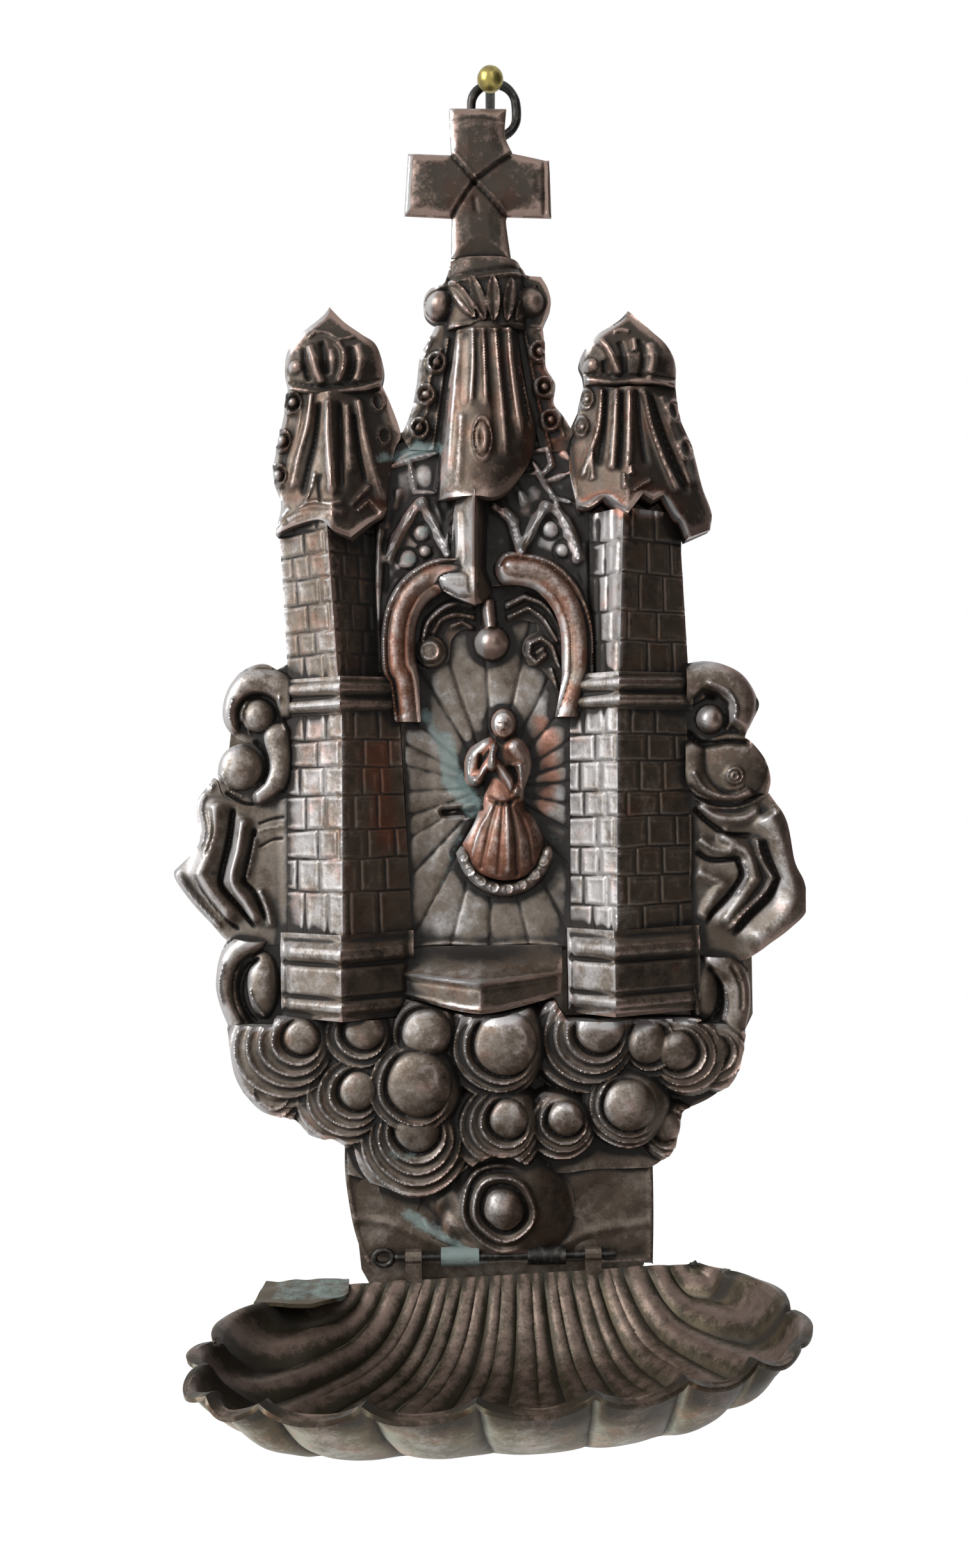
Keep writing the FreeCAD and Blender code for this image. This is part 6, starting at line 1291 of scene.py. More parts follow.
relief("right_side_cloud", [(47.3, 73.9), (57.4, 73.1), (62.2, 73.7), (63.7, 69.2), (64.0, 61.5),
    (62.8, 55.7), (55.5, 54.8), (49.9, 55.9), (48.8, 66.3)],
       cheek_height((52.2, 65.0), 5.4,
                    (([(55.2, 71.9), (59.9, 68.7), (61.0, 62.6), (60.0, 56.3)], 3.4, 3.2),),
                    (([(54.5, 70.3), (57.3, 66.2), (57.9, 61.1), (56.5, 56.7)], 0.55, 1.2),
                     ([(53.3, 71.6), (56.4, 67.1), (56.9, 61.8), (55.3, 57.0)], 0.5, -1.6),
                     ([(48.8, 70.1), (50.0, 64.4), (50.8, 58.1)], 0.8, 1.4),
                     ([(59.0, 71.5), (61.4, 66.1), (61.6, 59.8)], 0.5, -0.8))))

# %% The boss under the bank
BOSS = (2.1, 12.3)


def boss_height(spots):
    rel = spots - np.array(BOSS)
    turn = np.arctan2(rel[:, 1], rel[:, 0])
    rho = np.hypot(*rel.T) * (1 + 0.05 * np.sin(2 * turn + 0.6) + 0.02 * np.sin(5 * turn))
    left = fade(-np.cos(turn), -0.6, 0.4)
    depth = 1.6 + 5.4 * np.clip(1 - (rho / 17.5) ** 2, 0, 1)
    depth += 3.4 * np.sqrt(np.clip(1 - (rho / 5.0) ** 2, 0, 1))
    depth += 1.2 * soft_top((rho - 7.6) / 0.8) + 1.1 * soft_top((rho - 10.4) / 0.7) * left
    depth -= 1.1 * soft_top((rho - 5.6) / 0.6) + 0.7 * soft_top((rho - 9.1) / 0.5) * left
    depth += 0.5 * np.sin(turn * 11 + np.sin(rho)) * fade(rho, 11.0, 14.0) * left
    return depth


relief("bottom_boss", [(2.8, 26.2), (12.3, 23.5), (18.5, 17.1), (19.6, 10.2), (16.6, 3.9),
    (12.0, 1.0), (-11.9, 1.4), (-16.2, 5.1), (-19.5, 10.9), (-17.2, 17.4), (-11.4, 23.0)],
       boss_height)

# %% The skin of the neck
def neck_height(spots):
    rim = flowing(NECK_RIM, closed=True, step=0.6)
    far, _, _ = near(spots, rim, closed=True)
    depth = 1.35 + 0.5 * soft_top((far - 0.6) / 0.7) + dents(spots, 9.0, 0.5, 9.1)
    depth += stroke(spots, [(-34.1, 9.3), (-24.5, 7.5), (-18.2, 4.2), (-8.7, 0.4)], 1.4, 0.5)
    depth += stroke(spots, [(15.2, 1.3), (24.8, 5.1), (37.6, 6.9)], 1.4, 0.4)
    return depth


NECK_RIM = [(-37.2, 28.0), (-37.1, 19.0), (-35.1, 6.1), (-32.3, -1.7), (-27.9, -2.1), (4.0, -2.4),
    (35.8, -2.9), (39.0, -3.3), (39.4, 8.8), (39.4, 21.5), (4.5, 25.3)]
relief("neck_skin", NECK_RIM, neck_height, slot="plate_copper", spacing=0.6)

# %% [markdown]
# ## The hinge, the ring and the nail
#
# The hinge is two rolled knuckles on the plate, a wire pin with an eye at its left end, and two
# lugs on the shell. The ring hangs in a strap that is folded round it behind the cross, and the
# picture nail goes through the ring into the wall.

# %% Small tools for pieces made by hand
def fresh():
    bpy.ops.object.select_all(action="DESELECT")


def apply_place(piece):
    fresh()
    piece.select_set(True)
    bpy.context.view_layer.objects.active = piece
    bpy.ops.object.transform_apply(location=True, rotation=True, scale=True)


def spot(x, depth, z):
    return Vector((x * MM, -depth * MM, z * MM))


def tube(name, path, radius, closed=False, sides=14):
    """A wire: a ring of points carried along a line of (x, depth, z) or (…, radius)."""
    bm = bmesh.new()
    line = [spot(*p[:3]) for p in path]
    sizes = [(p[3] if len(p) > 3 else radius) * MM for p in path]
    count = len(line)
    rings, up = [], None
    for i in range(count):
        before = line[i - 1] if closed or i else line[0]
        after = line[(i + 1) % count] if closed or i < count - 1 else line[-1]
        along = (after - before).normalized()
        if up is None:
            up = along.orthogonal().normalized()
        up = (up - along * up.dot(along)).normalized()
        across = along.cross(up)
        rings.append([bm.verts.new(line[i] + sizes[i] * (
            math.cos(math.tau * k / sides) * up + math.sin(math.tau * k / sides) * across))
            for k in range(sides)])
    turns = count if closed else count - 1
    for i in range(turns):
        a, b = rings[i], rings[(i + 1) % count]
        shift = 0
        if closed and i == count - 1:
            shift = min(range(sides), key=lambda s: (a[0].co - b[s].co).length)
        for k in range(sides):
            bm.faces.new((a[k], a[(k + 1) % sides], b[(k + 1 + shift) % sides],
                          b[(k + shift) % sides]))
    if not closed:
        bm.faces.new(rings[0])
        bm.faces.new(rings[-1])
    bmesh.ops.recalc_face_normals(bm, faces=bm.faces)
    return piece_from(bm, name, sharp=45)


# %% The hanging ring: hand-bent wire, a little uneven
RING_X, RING_DEPTH, RING_LOW = 4.4, 3.9, 277.0
RING_R, RING_STRAIGHT, RING_WIRE_R = 5.7, 0.95, 1.15
RING_POINTS = 72
ring_line = []
for k in range(RING_POINTS):
    turn = math.tau * k / RING_POINTS
    bend = RING_R + 0.22 * math.sin(2 * turn + 0.6)
    lift = RING_STRAIGHT * math.copysign(1, -math.cos(turn)) * min(1, abs(math.cos(turn)) * 4)
    ring_line.append((RING_X + bend * math.sin(turn), RING_DEPTH,
                      RING_LOW + RING_R + RING_STRAIGHT - RING_R * math.cos(turn) + lift,
                      RING_WIRE_R - 0.02 + 0.06 * math.sin(5 * turn)))
ring_line[0] = (RING_X, RING_DEPTH, RING_LOW, RING_WIRE_R)
ring = tube("hanging_ring_wire", ring_line, RING_WIRE_R, closed=True)
settle(ring, "ring", "dark_wire", "hanging_ring")

# %% The nail: a ball of brass on a steel shank
NAIL_TOP, NAIL_BALL_R = (3.55, 10.0, 288.97), 3.2
fresh()
bpy.ops.mesh.primitive_uv_sphere_add(segments=48, ring_count=24, radius=NAIL_BALL_R * MM,
                                     location=spot(*NAIL_TOP))
nail_head = bpy.context.object
nail_head.name = "nail_ball"
apply_place(nail_head)
for v in nail_head.data.vertices:
    off = (v.co - spot(*NAIL_TOP)) / MM
    v.co += off.normalized() * MM * 0.07 * noise.noise(off * 0.8)
bpy.ops.object.shade_smooth_by_angle(angle=math.radians(60))
settle(nail_head, "nail", "brass", "nail_head")
print("nail ball", [round(c / MM, 2) for c in nail_head.dimensions])

# %% Basin hinge
PIN_DEPTH, PIN_R = 3.6, 1.0
KNUCKLE_R, KNUCKLE_BORE = 2.35, 1.06


def rolled_tube(name, x0, x1, radius, back, centre=(PIN_DEPTH, 0.0), seed=1.0):
    """A strap rolled round the pin: a sleeve with a seam, its tail on the plate."""
    bm = bmesh.new()
    profile = []
    for k in range(28):
        turn = math.radians(-150 + 300 * k / 27)
        profile.append((centre[0] + radius * math.cos(turn), centre[1] + radius * math.sin(turn)))
    low = [(back, profile[0][1]), (back, profile[-1][1])]
    outline = [low[0]] + profile + [low[1]]
    hole = [(centre[0] + KNUCKLE_BORE * math.cos(math.tau * k / 24),
             centre[1] + KNUCKLE_BORE * math.sin(math.tau * k / 24)) for k in range(24)]
    count = 11
    rings = []
    for i in range(count):
        x = x0 + (x1 - x0) * i / (count - 1)
        wob = [0.10 * noise.noise((x * 0.7, j * 0.4, seed)) for j in range(len(outline))]
        rings.append([bm.verts.new(spot(x, d + (w if 0 < j < len(outline) - 1 else 0), z))
                      for j, ((d, z), w) in enumerate(zip(outline, wob))])
    bores = [[bm.verts.new(spot(x, d, z)) for d, z in hole] for x in (x0, x1)]
    for a, b in zip(rings, rings[1:]):
        for j in range(len(outline)):
            n = (j + 1) % len(outline)
            bm.faces.new((a[j], a[n], b[n], b[j]))
    for j in range(len(hole)):
        n = (j + 1) % len(hole)
        bm.faces.new((bores[0][j], bores[0][n], bores[1][n], bores[1][j]))
    for ring_verts, hole_verts in ((rings[0], bores[0]), (rings[-1], bores[1])):
        edges = [bm.edges.get((ring_verts[j], ring_verts[(j + 1) % len(ring_verts)]))
                 for j in range(len(ring_verts))]
        edges += [bm.edges.get((hole_verts[j], hole_verts[(j + 1) % len(hole_verts)]))
                  for j in range(len(hole_verts))]
        bmesh.ops.triangle_fill(bm, edges=edges, use_beauty=True)
    bmesh.ops.recalc_face_normals(bm, faces=bm.faces)
    return piece_from(bm, name, sharp=45)


left_knuckle = rolled_tube("left_knuckle", -13.6, -4.2, KNUCKLE_R, PLATE_FACE, seed=2.0)
right_knuckle = rolled_tube("right_knuckle", 7.8, 17.2, KNUCKLE_R, PLATE_FACE, seed=5.0)
settle(left_knuckle, "plaque", "verdigris_copper", "plate_knuckles")
settle(right_knuckle, "plaque", "dark_wire")

# %% The pin, with its eye
EYE_X, EYE_SIDE, EYE_HIGH, EYE_WIRE_R = -27.9, 2.3, 1.9, 0.78
pin_line = [(29.9, PIN_DEPTH, 0.0, 0.8)]
pin_line += [(29.6 - t, PIN_DEPTH, 0.0, PIN_R) for t in range(54)]
pin_line += [(-25.0, PIN_DEPTH, 0.0, PIN_R)]
pin = tube("hinge_pin_wire", pin_line, PIN_R)
settle(pin, "pin", "dark_wire", "hinge_pin")
eye_line = [(EYE_X + EYE_SIDE * math.cos(math.tau * k / 32), PIN_DEPTH,
             EYE_HIGH * math.sin(math.tau * k / 32)) for k in range(32)]
eye_ring = tube("hinge_pin_eye", eye_line, EYE_WIRE_R, closed=True)
settle(eye_ring, "pin", "dark_wire")

# %% [markdown]
# ## The shell basin
#
# The basin is one sheet raised into a scallop shell. All ribs start side by side on the
# straight rear rim and sweep out to the lobes of the front rim. Inside, the ribs are round and
# the lines between them are drawn in sharply; each line ends in a notch of the rim. The sheet
# is drawn as a grid: s counts the lobes round the rim, t runs from the rear rim to the front.

# %% Shell
REAR_LEFT, REAR_RIGHT, REAR_DEPTH = -37.0, 48.0, 4.2
NOTCHES = [(-37.0, 4.6), (-55.5, 16.0), (-64.0, 40.5), (-65.0, 56.0), (-60.5, 75.5), (-48.5, 82.0),
           (-27.5, 86.5), (-4.7, 89.0), (19.0, 88.4), (38.0, 82.6), (53.2, 75.5), (64.0, 64.5),
           (65.6, 42.5), (56.4, 15.0), (48.0, 4.6)]
LOBES = len(NOTCHES) - 1
LOBE_OUT = (3.6, 5.0, 4.2, 4.0, 2.2, 1.5, 1.3, 1.0, 1.0, 1.5, 2.2, 3.6, 4.2, 2.6)
RIM_Z, BOWL_DEEP, SHELL_T = -4.6, 21.6, 1.0
# where the lines start on the rear rim: wide apart at the ends, close together in the middle
REAR_STARTS = ((0, REAR_LEFT), (2, -27.0), (3.5, -18.0),
               (10.5, 28.0), (12, 37.0), (LOBES, REAR_RIGHT))
RIM_FALL = 0.026     # how far the rim drops for each millimetre forwards
CREST_AT, LIP_DIP = 0.97, 0.5    # the rim's crest along a line, and the drop beyond it
SWEEP, SWEEP_MOST = 0.46, 28.0   # how straight forwards a line sets out before it turns aside
WALL_POWER = 3.5     # the higher, the steeper the walls and the flatter the floor
FRONT_BULGE = 2.3    # the lobes' swelling outside, under the front rim
SHELL_ROLL = math.radians(2.5)
SHELL_PIVOT = (1.8, -4.8)
PER_LOBE, ALONG = 20, 88


def rim_point(s):
    """Plan of the scalloped rim at lobe coordinate s."""
    k = min(int(s), LOBES - 1)
    share = s - k
    a, b = np.array(NOTCHES[k], float), np.array(NOTCHES[k + 1], float)
    out = np.array([b[1] - a[1], a[0] - b[0]])
    out /= np.linalg.norm(out)
    if out @ (a + b - np.array([0.0, 80.0])) < 0:
        out = -out
    return a + (b - a) * share + out * LOBE_OUT[k] * math.sin(math.pi * share) ** 0.7


def bowl_depth(s):
    """How deep the shell is along the line s: nothing at the two ends of the rear rim."""
    edge = min(s, LOBES - s)
    return BOWL_DEEP * min(1.0, edge / 4.8) ** 0.75


def shell_point(s, t):
    """Place on the sheet, and how high the rib stands there."""
    start = np.array([np.interp(s, *zip(*REAR_STARTS)), REAR_DEPTH])
    end = rim_point(s)
    reach = np.linalg.norm(end - start)
    control = start + np.array([SWEEP * (end[0] - start[0]), min(SWEEP_MOST, SWEEP * reach)])
    plan = (1 - t) ** 2 * start + 2 * t * (1 - t) * control + t * t * end
    swing = min(t / CREST_AT, 1.0)
    z = RIM_Z - RIM_FALL * plan[1] - bowl_depth(s) * (1 - abs(2 * swing - 1) ** WALL_POWER)
    round_lobe = abs(math.sin(math.pi * s))
    z -= LIP_DIP * round_lobe * fade(t, CREST_AT, 1.0)
    side = fade(abs(s - LOBES / 2), 2.6, 4.6)
    size = (1.5 + 1.6 * fade(t, 0.0, 0.5) * (0.55 + 0.45 * side)) * min(1, reach / 40)
    size *= fade(t, 0.0, 0.05) * (1 - (1 - side * 0.8) * fade(t, 0.62, 0.88))
    # outside, under the front rim, every lobe bulges
    size -= FRONT_BULGE * fade(t, 0.60, 0.90) * (1 - 0.4 * side)
    # the middle ribs are split in two where they start at the rear rim
    twin = (1 - side) * (1 - fade(t, 0.30, 0.62))
    wavy = abs(math.sin(2 * math.pi * (s + 0.04 * math.sin(9 * s))))
    rib = (1 - 0.55 * twin) * round_lobe ** 0.62 + 0.55 * twin * wavy ** 0.7
    return plan[0], plan[1], z, size * (rib - 0.45), rib


steps = [0.55 * j / ALONG + 0.45 * (0.5 - 0.5 * math.cos(math.pi * j / ALONG))
         for j in range(ALONG + 1)]
grid = np.array([[shell_point(i / PER_LOBE, t) for t in steps]
                 for i in range(LOBES * PER_LOBE + 1)])
surface = grid[:, :, :3].copy()
smooth = surface.copy()
for _ in range(12):
    smooth[1:-1] = (smooth[:-2] + smooth[1:-1] + smooth[2:]) / 3
normal = np.cross(np.gradient(smooth, axis=0), np.gradient(smooth, axis=1))
normal /= np.maximum(np.linalg.norm(normal, axis=2, keepdims=True), 1e-6)
normal = np.where(normal[:, :, 2:3] < 0, -normal, normal)
surface += normal * grid[:, :, 3:4]
beat = np.array([[noise.noise((p[0] / 9, p[1] / 9, p[2] / 9)) for p in row] for row in surface])
surface += normal * beat[:, :, None] * 0.5

bm = bmesh.new()
ribs = bm.verts.layers.float.new("rib")
verts = [[bm.verts.new((p[0] * MM, -p[1] * MM, p[2] * MM)) for p in row] for row in surface]
for row, values in zip(verts, grid[:, :, 4]):
    for v, value in zip(row, values):
        v[ribs] = value
for a, b in zip(verts, verts[1:]):
    for j in range(ALONG):
        bm.faces.new((a[j], b[j], b[j + 1], a[j + 1]))
bmesh.ops.remove_doubles(bm, verts=bm.verts, dist=0.02 * MM)
bmesh.ops.recalc_face_normals(bm, faces=bm.faces)
if sum(f.normal.z * f.calc_area() for f in bm.faces) > 0:
    bmesh.ops.reverse_faces(bm, faces=bm.faces)
bmesh.ops.rotate(bm, verts=bm.verts, cent=spot(SHELL_PIVOT[0], 0, SHELL_PIVOT[1]),
                 matrix=Matrix.Rotation(-SHELL_ROLL, 3, "Y"))
mesh = bpy.data.meshes.new("shell")
bm.to_mesh(mesh)
bm.free()
shell = bpy.data.objects.new("shell", mesh)
bpy.context.scene.collection.objects.link(shell)
fresh()
shell.select_set(True)
bpy.context.view_layer.objects.active = shell
solid = shell.modifiers.new("sheet", "SOLIDIFY")
solid.thickness = SHELL_T * MM
solid.offset = -1
bpy.ops.object.modifier_apply(modifier=solid.name)
rounding = shell.modifiers.new("rim", "BEVEL")
rounding.width = 0.3 * MM
rounding.segments = 2
rounding.limit_method = "ANGLE"
rounding.angle_limit = math.radians(70)
bpy.ops.object.modifier_apply(modifier=rounding.name)
bpy.ops.object.shade_smooth_by_angle(angle=math.radians(50))
settle(shell, "basin", "basin_copper", "basin")
low, high = (np.array([v.co for v in shell.data.vertices]).min(0) / MM,
             np.array([v.co for v in shell.data.vertices]).max(0) / MM)

# %% The flat flange at the left end of the rear rim
FLANGE = [(-57.2, 2.8), (-50.0, 2.5), (-36.6, 2.4), (-36.0, 12.5), (-40.5, 16.8), (-48.0, 17.6),
          (-58.4, 16.6)]
FLANGE_T, FLANGE_STEP = 1.0, 0.9
rim = flowing(FLANGE, closed=True, step=FLANGE_STEP)
spots = np.array([(x, d) for x in np.arange(-58.0, -36.0, FLANGE_STEP)
                  for d in np.arange(2.6, 17.4, FLANGE_STEP)])
spots = spots[inside(spots, rim)]
spots = spots[near(spots, rim, closed=True)[0] > 0.5]
found, _, faces, _, _, _ = delaunay_2d_cdt([Vector(p) for p in np.vstack([rim, spots])], [],
                                           [list(range(len(rim)))], 1, 1e-5, False)
flat = np.array([(v.x, v.y) for v in found])
faces = [f for f in faces if inside(flat[list(f)].mean(0)[None], rim)[0]]
level = -5.2 - 0.07 * flat[:, 1] + 0.02 * (flat[:, 0] + 47) + dents(flat, 4.0, 0.5, 5.5)
bm = bmesh.new()
top = [bm.verts.new(spot(x, d, z)) for (x, d), z in zip(flat, level)]
for face in faces:
    bm.faces.new([top[i] for i in face])
made = bmesh.ops.extrude_face_region(bm, geom=list(bm.faces))["geom"]
for v in made:
    if isinstance(v, bmesh.types.BMVert):
        v.co.z -= FLANGE_T * MM
bmesh.ops.recalc_face_normals(bm, faces=bm.faces)
flange = piece_from(bm, "rear_flange")
settle(flange, "basin", "basin_copper")
print("flange", len(flange.data.polygons), "faces")

# %% [markdown]
# ## Where the metal is rubbed, where patina and painted shade sit, and where light is painted
#
# Old embossed copper is dark in every hollow and bright on every edge that a cloth reaches. Here
# the dark of the hollows is that patina and painted shade together. To know which is which, all
# reliefs are laid into one height map, and the map is blurred by two amounts. What stands above
# its blurred surroundings is a crest, what lies below is a hollow. The slope of the map tells
# which
# faces look to the left: the window was on that side, and they are painted paler as painted light,
# while the faces that look right are painted brown as painted shade. All of it is kept on the
# vertices, so that the finish follows the shape.

# %% The height map and its blurs
CELL = 0.5
MAP_X, MAP_Z = (-84.0, 84.0), (-6.0, 300.0)
COLS, ROWS = int((MAP_X[1] - MAP_X[0]) / CELL), int((MAP_Z[1] - MAP_Z[0]) / CELL)


def coords(piece):
    flat = np.empty(len(piece.data.vertices) * 3)
    piece.data.vertices.foreach_get("co", flat)
    return flat.reshape(-1, 3) / MM


height_map = np.full((ROWS, COLS), PLATE_FACE)
for piece in RELIEFS.values():
    at = coords(piece)
    centres = np.array([at[list(f.vertices)].mean(0) for f in piece.data.polygons
                        if len(f.vertices) == 3])
    at = np.vstack([at, centres])
    col = ((at[:, 0] - MAP_X[0]) / CELL).astype(int)
    row = ((at[:, 2] - MAP_Z[0]) / CELL).astype(int)
    np.maximum.at(height_map, (row, col), -at[:, 1])


def blurred(field, sigma):
    """Gaussian blur, sigma in millimetres."""
    reach = int(math.ceil(3 * sigma / CELL))
    steps = np.arange(-reach, reach + 1) * CELL
    weights = np.exp(-0.5 * (steps / sigma) ** 2)
    weights /= weights.sum()
    for axis in (0, 1):
        field = np.apply_along_axis(lambda line: np.convolve(np.pad(line, reach, mode="edge"),
                                                             weights, "valid"), axis, field)
    return field


def sampled(field, x, z):
    u, v = (x - MAP_X[0]) / CELL - 0.5, (z - MAP_Z[0]) / CELL - 0.5
    i, j = np.clip(u.astype(int), 0, COLS - 2), np.clip(v.astype(int), 0, ROWS - 2)
    a, b = np.clip(u - i, 0, 1), np.clip(v - j, 0, 1)
    return ((field[j, i] * (1 - a) + field[j, i + 1] * a) * (1 - b)
            + (field[j + 1, i] * (1 - a) + field[j + 1, i + 1] * a) * b)


CREST_BLUR, HOLLOW_BLUR, SLOPE_BLUR = 1.1, 4.0, 0.7
CREST_MAP, HOLLOW_MAP = blurred(height_map, CREST_BLUR), blurred(height_map, HOLLOW_BLUR)
SOFT_MAP = blurred(height_map, SLOPE_BLUR)
# painted light: faces that look left, and a little those that look up, are made paler
SLOPE_MAP = np.gradient(SOFT_MAP, CELL, axis=1) - 0.35 * np.gradient(SOFT_MAP, CELL, axis=0)
print("height map", height_map.shape, "deepest", height_map.max().round(1))

# %% [markdown]
# ### What differs from place to place
#
# Each piece has its own character: how pale its sheet is and how red. On top of that come
# patches, drawn as strokes over the sheet: runs of verdigris, warm bare copper, pale rubs and
# dark stains, and painted light on the left of the cross and the spire, painted shade on the
# right end of the cross, and a darker line down the spire's middle.

# %% Pale and red sheets, and the patches
CHARACTER = {
    "cross": (-0.95, 0.05), "spire_cap": (-0.75, 0.15), "centre_spire": (-0.32, 0.2),
    "left_tower_roof": (-0.42, 0.15), "right_tower_roof": (-0.62, 0.2),
    "left_roof_cap": (-0.85, 0.1), "right_roof_cap": (-1.0, 0.05),
    "left_crocket_strip": (-0.12, 0.0), "right_crocket_strip": (-0.30, 0.1),
    "left_upper_wall": (-0.12, 0.15), "left_lower_wall": (0.24, 0.1),
    "right_upper_wall": (0.14, 0.1), "right_lower_wall": (0.30, 0.0),
    "lambrequin": (0.85, 0.25), "lambrequin_keel": (0.0, 0.0), "arch_moulding": (0.18, 0.55),
    "ray_panel": (0.48, -0.15), "niche_ledge": (0.02, 0.1), "figure": (0.10, 0.8),
    "figure_crescent": (0.35, -0.2), "pendant_ball": (-0.45, 0.3),
    "left_arch_leaf": (0.15, 0.1), "right_arch_leaf": (0.10, 0.1),
    "left_scroll": (0.20, -0.2), "right_scroll": (0.05, 0.0),
    "left_flame": (0.30, -0.2), "right_flame": (0.16, -0.1),
    "left_side_cloud": (0.30, -0.1), "right_side_cloud": (0.08, 0.0),
    "cloud_bank": (0.16, 0.0), "bottom_boss": (0.02, 0.1), "neck_skin": (-0.05, -0.4),
}
RUBBED_HEM = [(23.1, 184.3), (29.4, 185.8), (34.8, 182.0), (38.4, 186.2), (43.6, 186.2),
              (47.1, 181.8)]
PATCHES = (
    ("green", [(-14.6, 133.9), (-11.3, 125.9), (-9.2, 116.4), (-4.2, 111.2)], 2.6, 0.9),
    ("green", [(-9.6, 129.1), (-7.2, 119.5), (-3.6, 113.1)], 2.0, 0.7),
    ("green", [(-7.5, 106.8), (-9.2, 100.5), (-11.8, 92.6)], 2.0, 0.45),
    ("warm", [(14.2, 131.8), (15.0, 120.7), (13.8, 111.2)], 4.0, 0.9),
    ("warm", [(-18.8, 133.8), (-20.2, 142.9), (-20.7, 152.6)], 3.0, 0.7),
    ("warm", [(-26.8, 124.5), (-25.4, 113.5), (-24.6, 105.7)], 4.0, 0.8),
    ("green", [(-15.3, 179.3), (-14.6, 179.6)], 2.2, 0.8),
    ("green", [(-18.7, 172.9), (-18.2, 172.9)], 2.4, 0.8),
    ("green", [(16.7, 179.8), (17.1, 179.5)], 2.0, 0.45),
    ("tone", [(-10.3, 166.9), (-3.4, 165.3)], 3.0, 0.7),
    ("green", [(-25.4, 197.1), (-17.8, 199.2), (-9.9, 200.0)], 2.4, 0.6),
    ("green", [(-15.3, 205.1), (-16.2, 200.1), (-17.9, 197.0)], 1.8, 0.4),
    ("warm", [(14.1, 221.4), (15.5, 208.8), (18.4, 199.3), (19.9, 194.6)], 3.0, 0.8),
    ("warm", RUBBED_HEM, 2.0, 1.6),
    ("tone", RUBBED_HEM, 1.4, 1.1),
    ("warm", [(-28.6, 186.7), (-24.0, 185.1), (-23.4, 183.5)], 2.0, 1.2),
    ("tone", [(-26.3, 185.9), (-23.4, 184.3)], 1.4, 0.8),
    ("green", [(-21.3, 9.9), (-15.0, 5.8), (-8.7, 1.7), (-5.6, -1.6)], 2.2, 0.9),
    ("green", [(-11.9, -0.7), (-2.4, -1.9)], 2.0, 0.5),
    ("tone", [(13.6, -0.6), (39.0, -1.1)], 4.0, -0.7),
    ("tone", [(-34.2, 0.2), (-15.1, -0.8)], 3.0, -0.5),
    ("green", [(-26.9, 27.4), (-17.6, 25.7), (-11.3, 26.2)], 2.2, 0.5),
    # painted light on the cross's left arm end, painted shade on its right arm end
    ("tone", [(-17.1, 270.4), (-17.3, 257.8)], 1.6, 0.6),
    ("tone", [(8.7, 271.5), (17.2, 268.2), (17.5, 257.2)], 2.5, -0.4),
    ("tone", [(-9.0, 241.8), (1.9, 243.2), (10.5, 243.8)], 4.0, -0.5),
    ("warm", [(-0.6, 270.1), (-0.8, 257.5)], 6.0, 0.4),
    # painted light down the left half of the spire, darker down its middle
    ("tone", [(-7.7, 223.1), (-8.0, 207.6), (-9.8, 192.2)], 3.0, 0.35),
    ("tone", [(0.0, 223.0), (-0.6, 207.5), (-1.3, 192.1)], 2.2, -0.25),
    ("warm", [(7.7, 220.0), (10.3, 207.6), (12.8, 192.0)], 3.0, 0.5),
)


def keep_values(piece, name, values):
    layer = piece.data.attributes.new(name, "FLOAT", "POINT")
    layer.data.foreach_set("value", values.astype(np.float32))


for name, piece in RELIEFS.items():
    at = coords(piece)
    depth, spots = -at[:, 1], at[:, ::2]
    keep_values(piece, "crest", np.clip(depth - sampled(CREST_MAP, *spots.T), -2, 2))
    keep_values(piece, "hollow", np.clip(sampled(HOLLOW_MAP, *spots.T) - depth, -4, 4))
    # lit carries the painted light and shade of the faces that look left and right
    keep_values(piece, "lit", np.clip(sampled(SLOPE_MAP, *spots.T), -0.55, 1.5))
    pale, red = CHARACTER.get(name, (0.0, 0.0))
    local = {"tone": np.full(len(at), pale), "warm": np.full(len(at), red),
             "green": np.zeros(len(at))}
    for kind, line, width, amount in PATCHES:
        local[kind] += stroke(spots, line, width, amount)
    for kind, values in local.items():
        keep_values(piece, kind, values)

# %% The shell's own values: its ribs, its two sides, and the painted light and shade of its lobes
def normals_of(piece):
    flat = np.empty(len(piece.data.vertices) * 3)
    piece.data.vertex_normals.foreach_get("vector", flat)
    return flat.reshape(-1, 3)


at, normal = coords(shell), normals_of(shell)
rib = np.empty(len(at))
shell.data.attributes["rib"].data.foreach_get("value", rib)
outer = ((at - np.array([0.0, -45.0, 2.0])) * normal).sum(1) > 0
# outside: painted shade under the rim, paler below as a painted floor reflection; inside darker
tone = np.where(outer, 0.62 - 1.5 * fade(at[:, 2], -15.0, -9.0) * fade(rib, 0.2, 0.6),
                -0.72 + 0.16 * fade(at[:, 0], 0.0, 45.0))
# rib tops are crests, grooves hollows; lit is painted light on faces that look left
for key, values in (("crest", (rib - 0.66) * np.where(outer, 0.8, 1.6)),
                    ("hollow", (0.55 - rib) * np.where(outer, 1.2, 2.6)),
                    ("lit", np.where(outer, -1.9, -0.5) * normal[:, 0]), ("tone", tone),
                    ("warm", np.where(outer, 0.55, -0.25)), ("green", np.zeros(len(at)))):
    keep_values(shell, key, values)
at = coords(flange)
keep_values(flange, "green", 0.62 * fade(at[:, 0], -57.0, -53.0) * fade(-at[:, 1], 18.0, 14.0))
keep_values(flange, "tone", np.full(len(at), -0.1))
print("shell: %d outer, %d inner points" % (outer.sum(), (~outer).sum()))
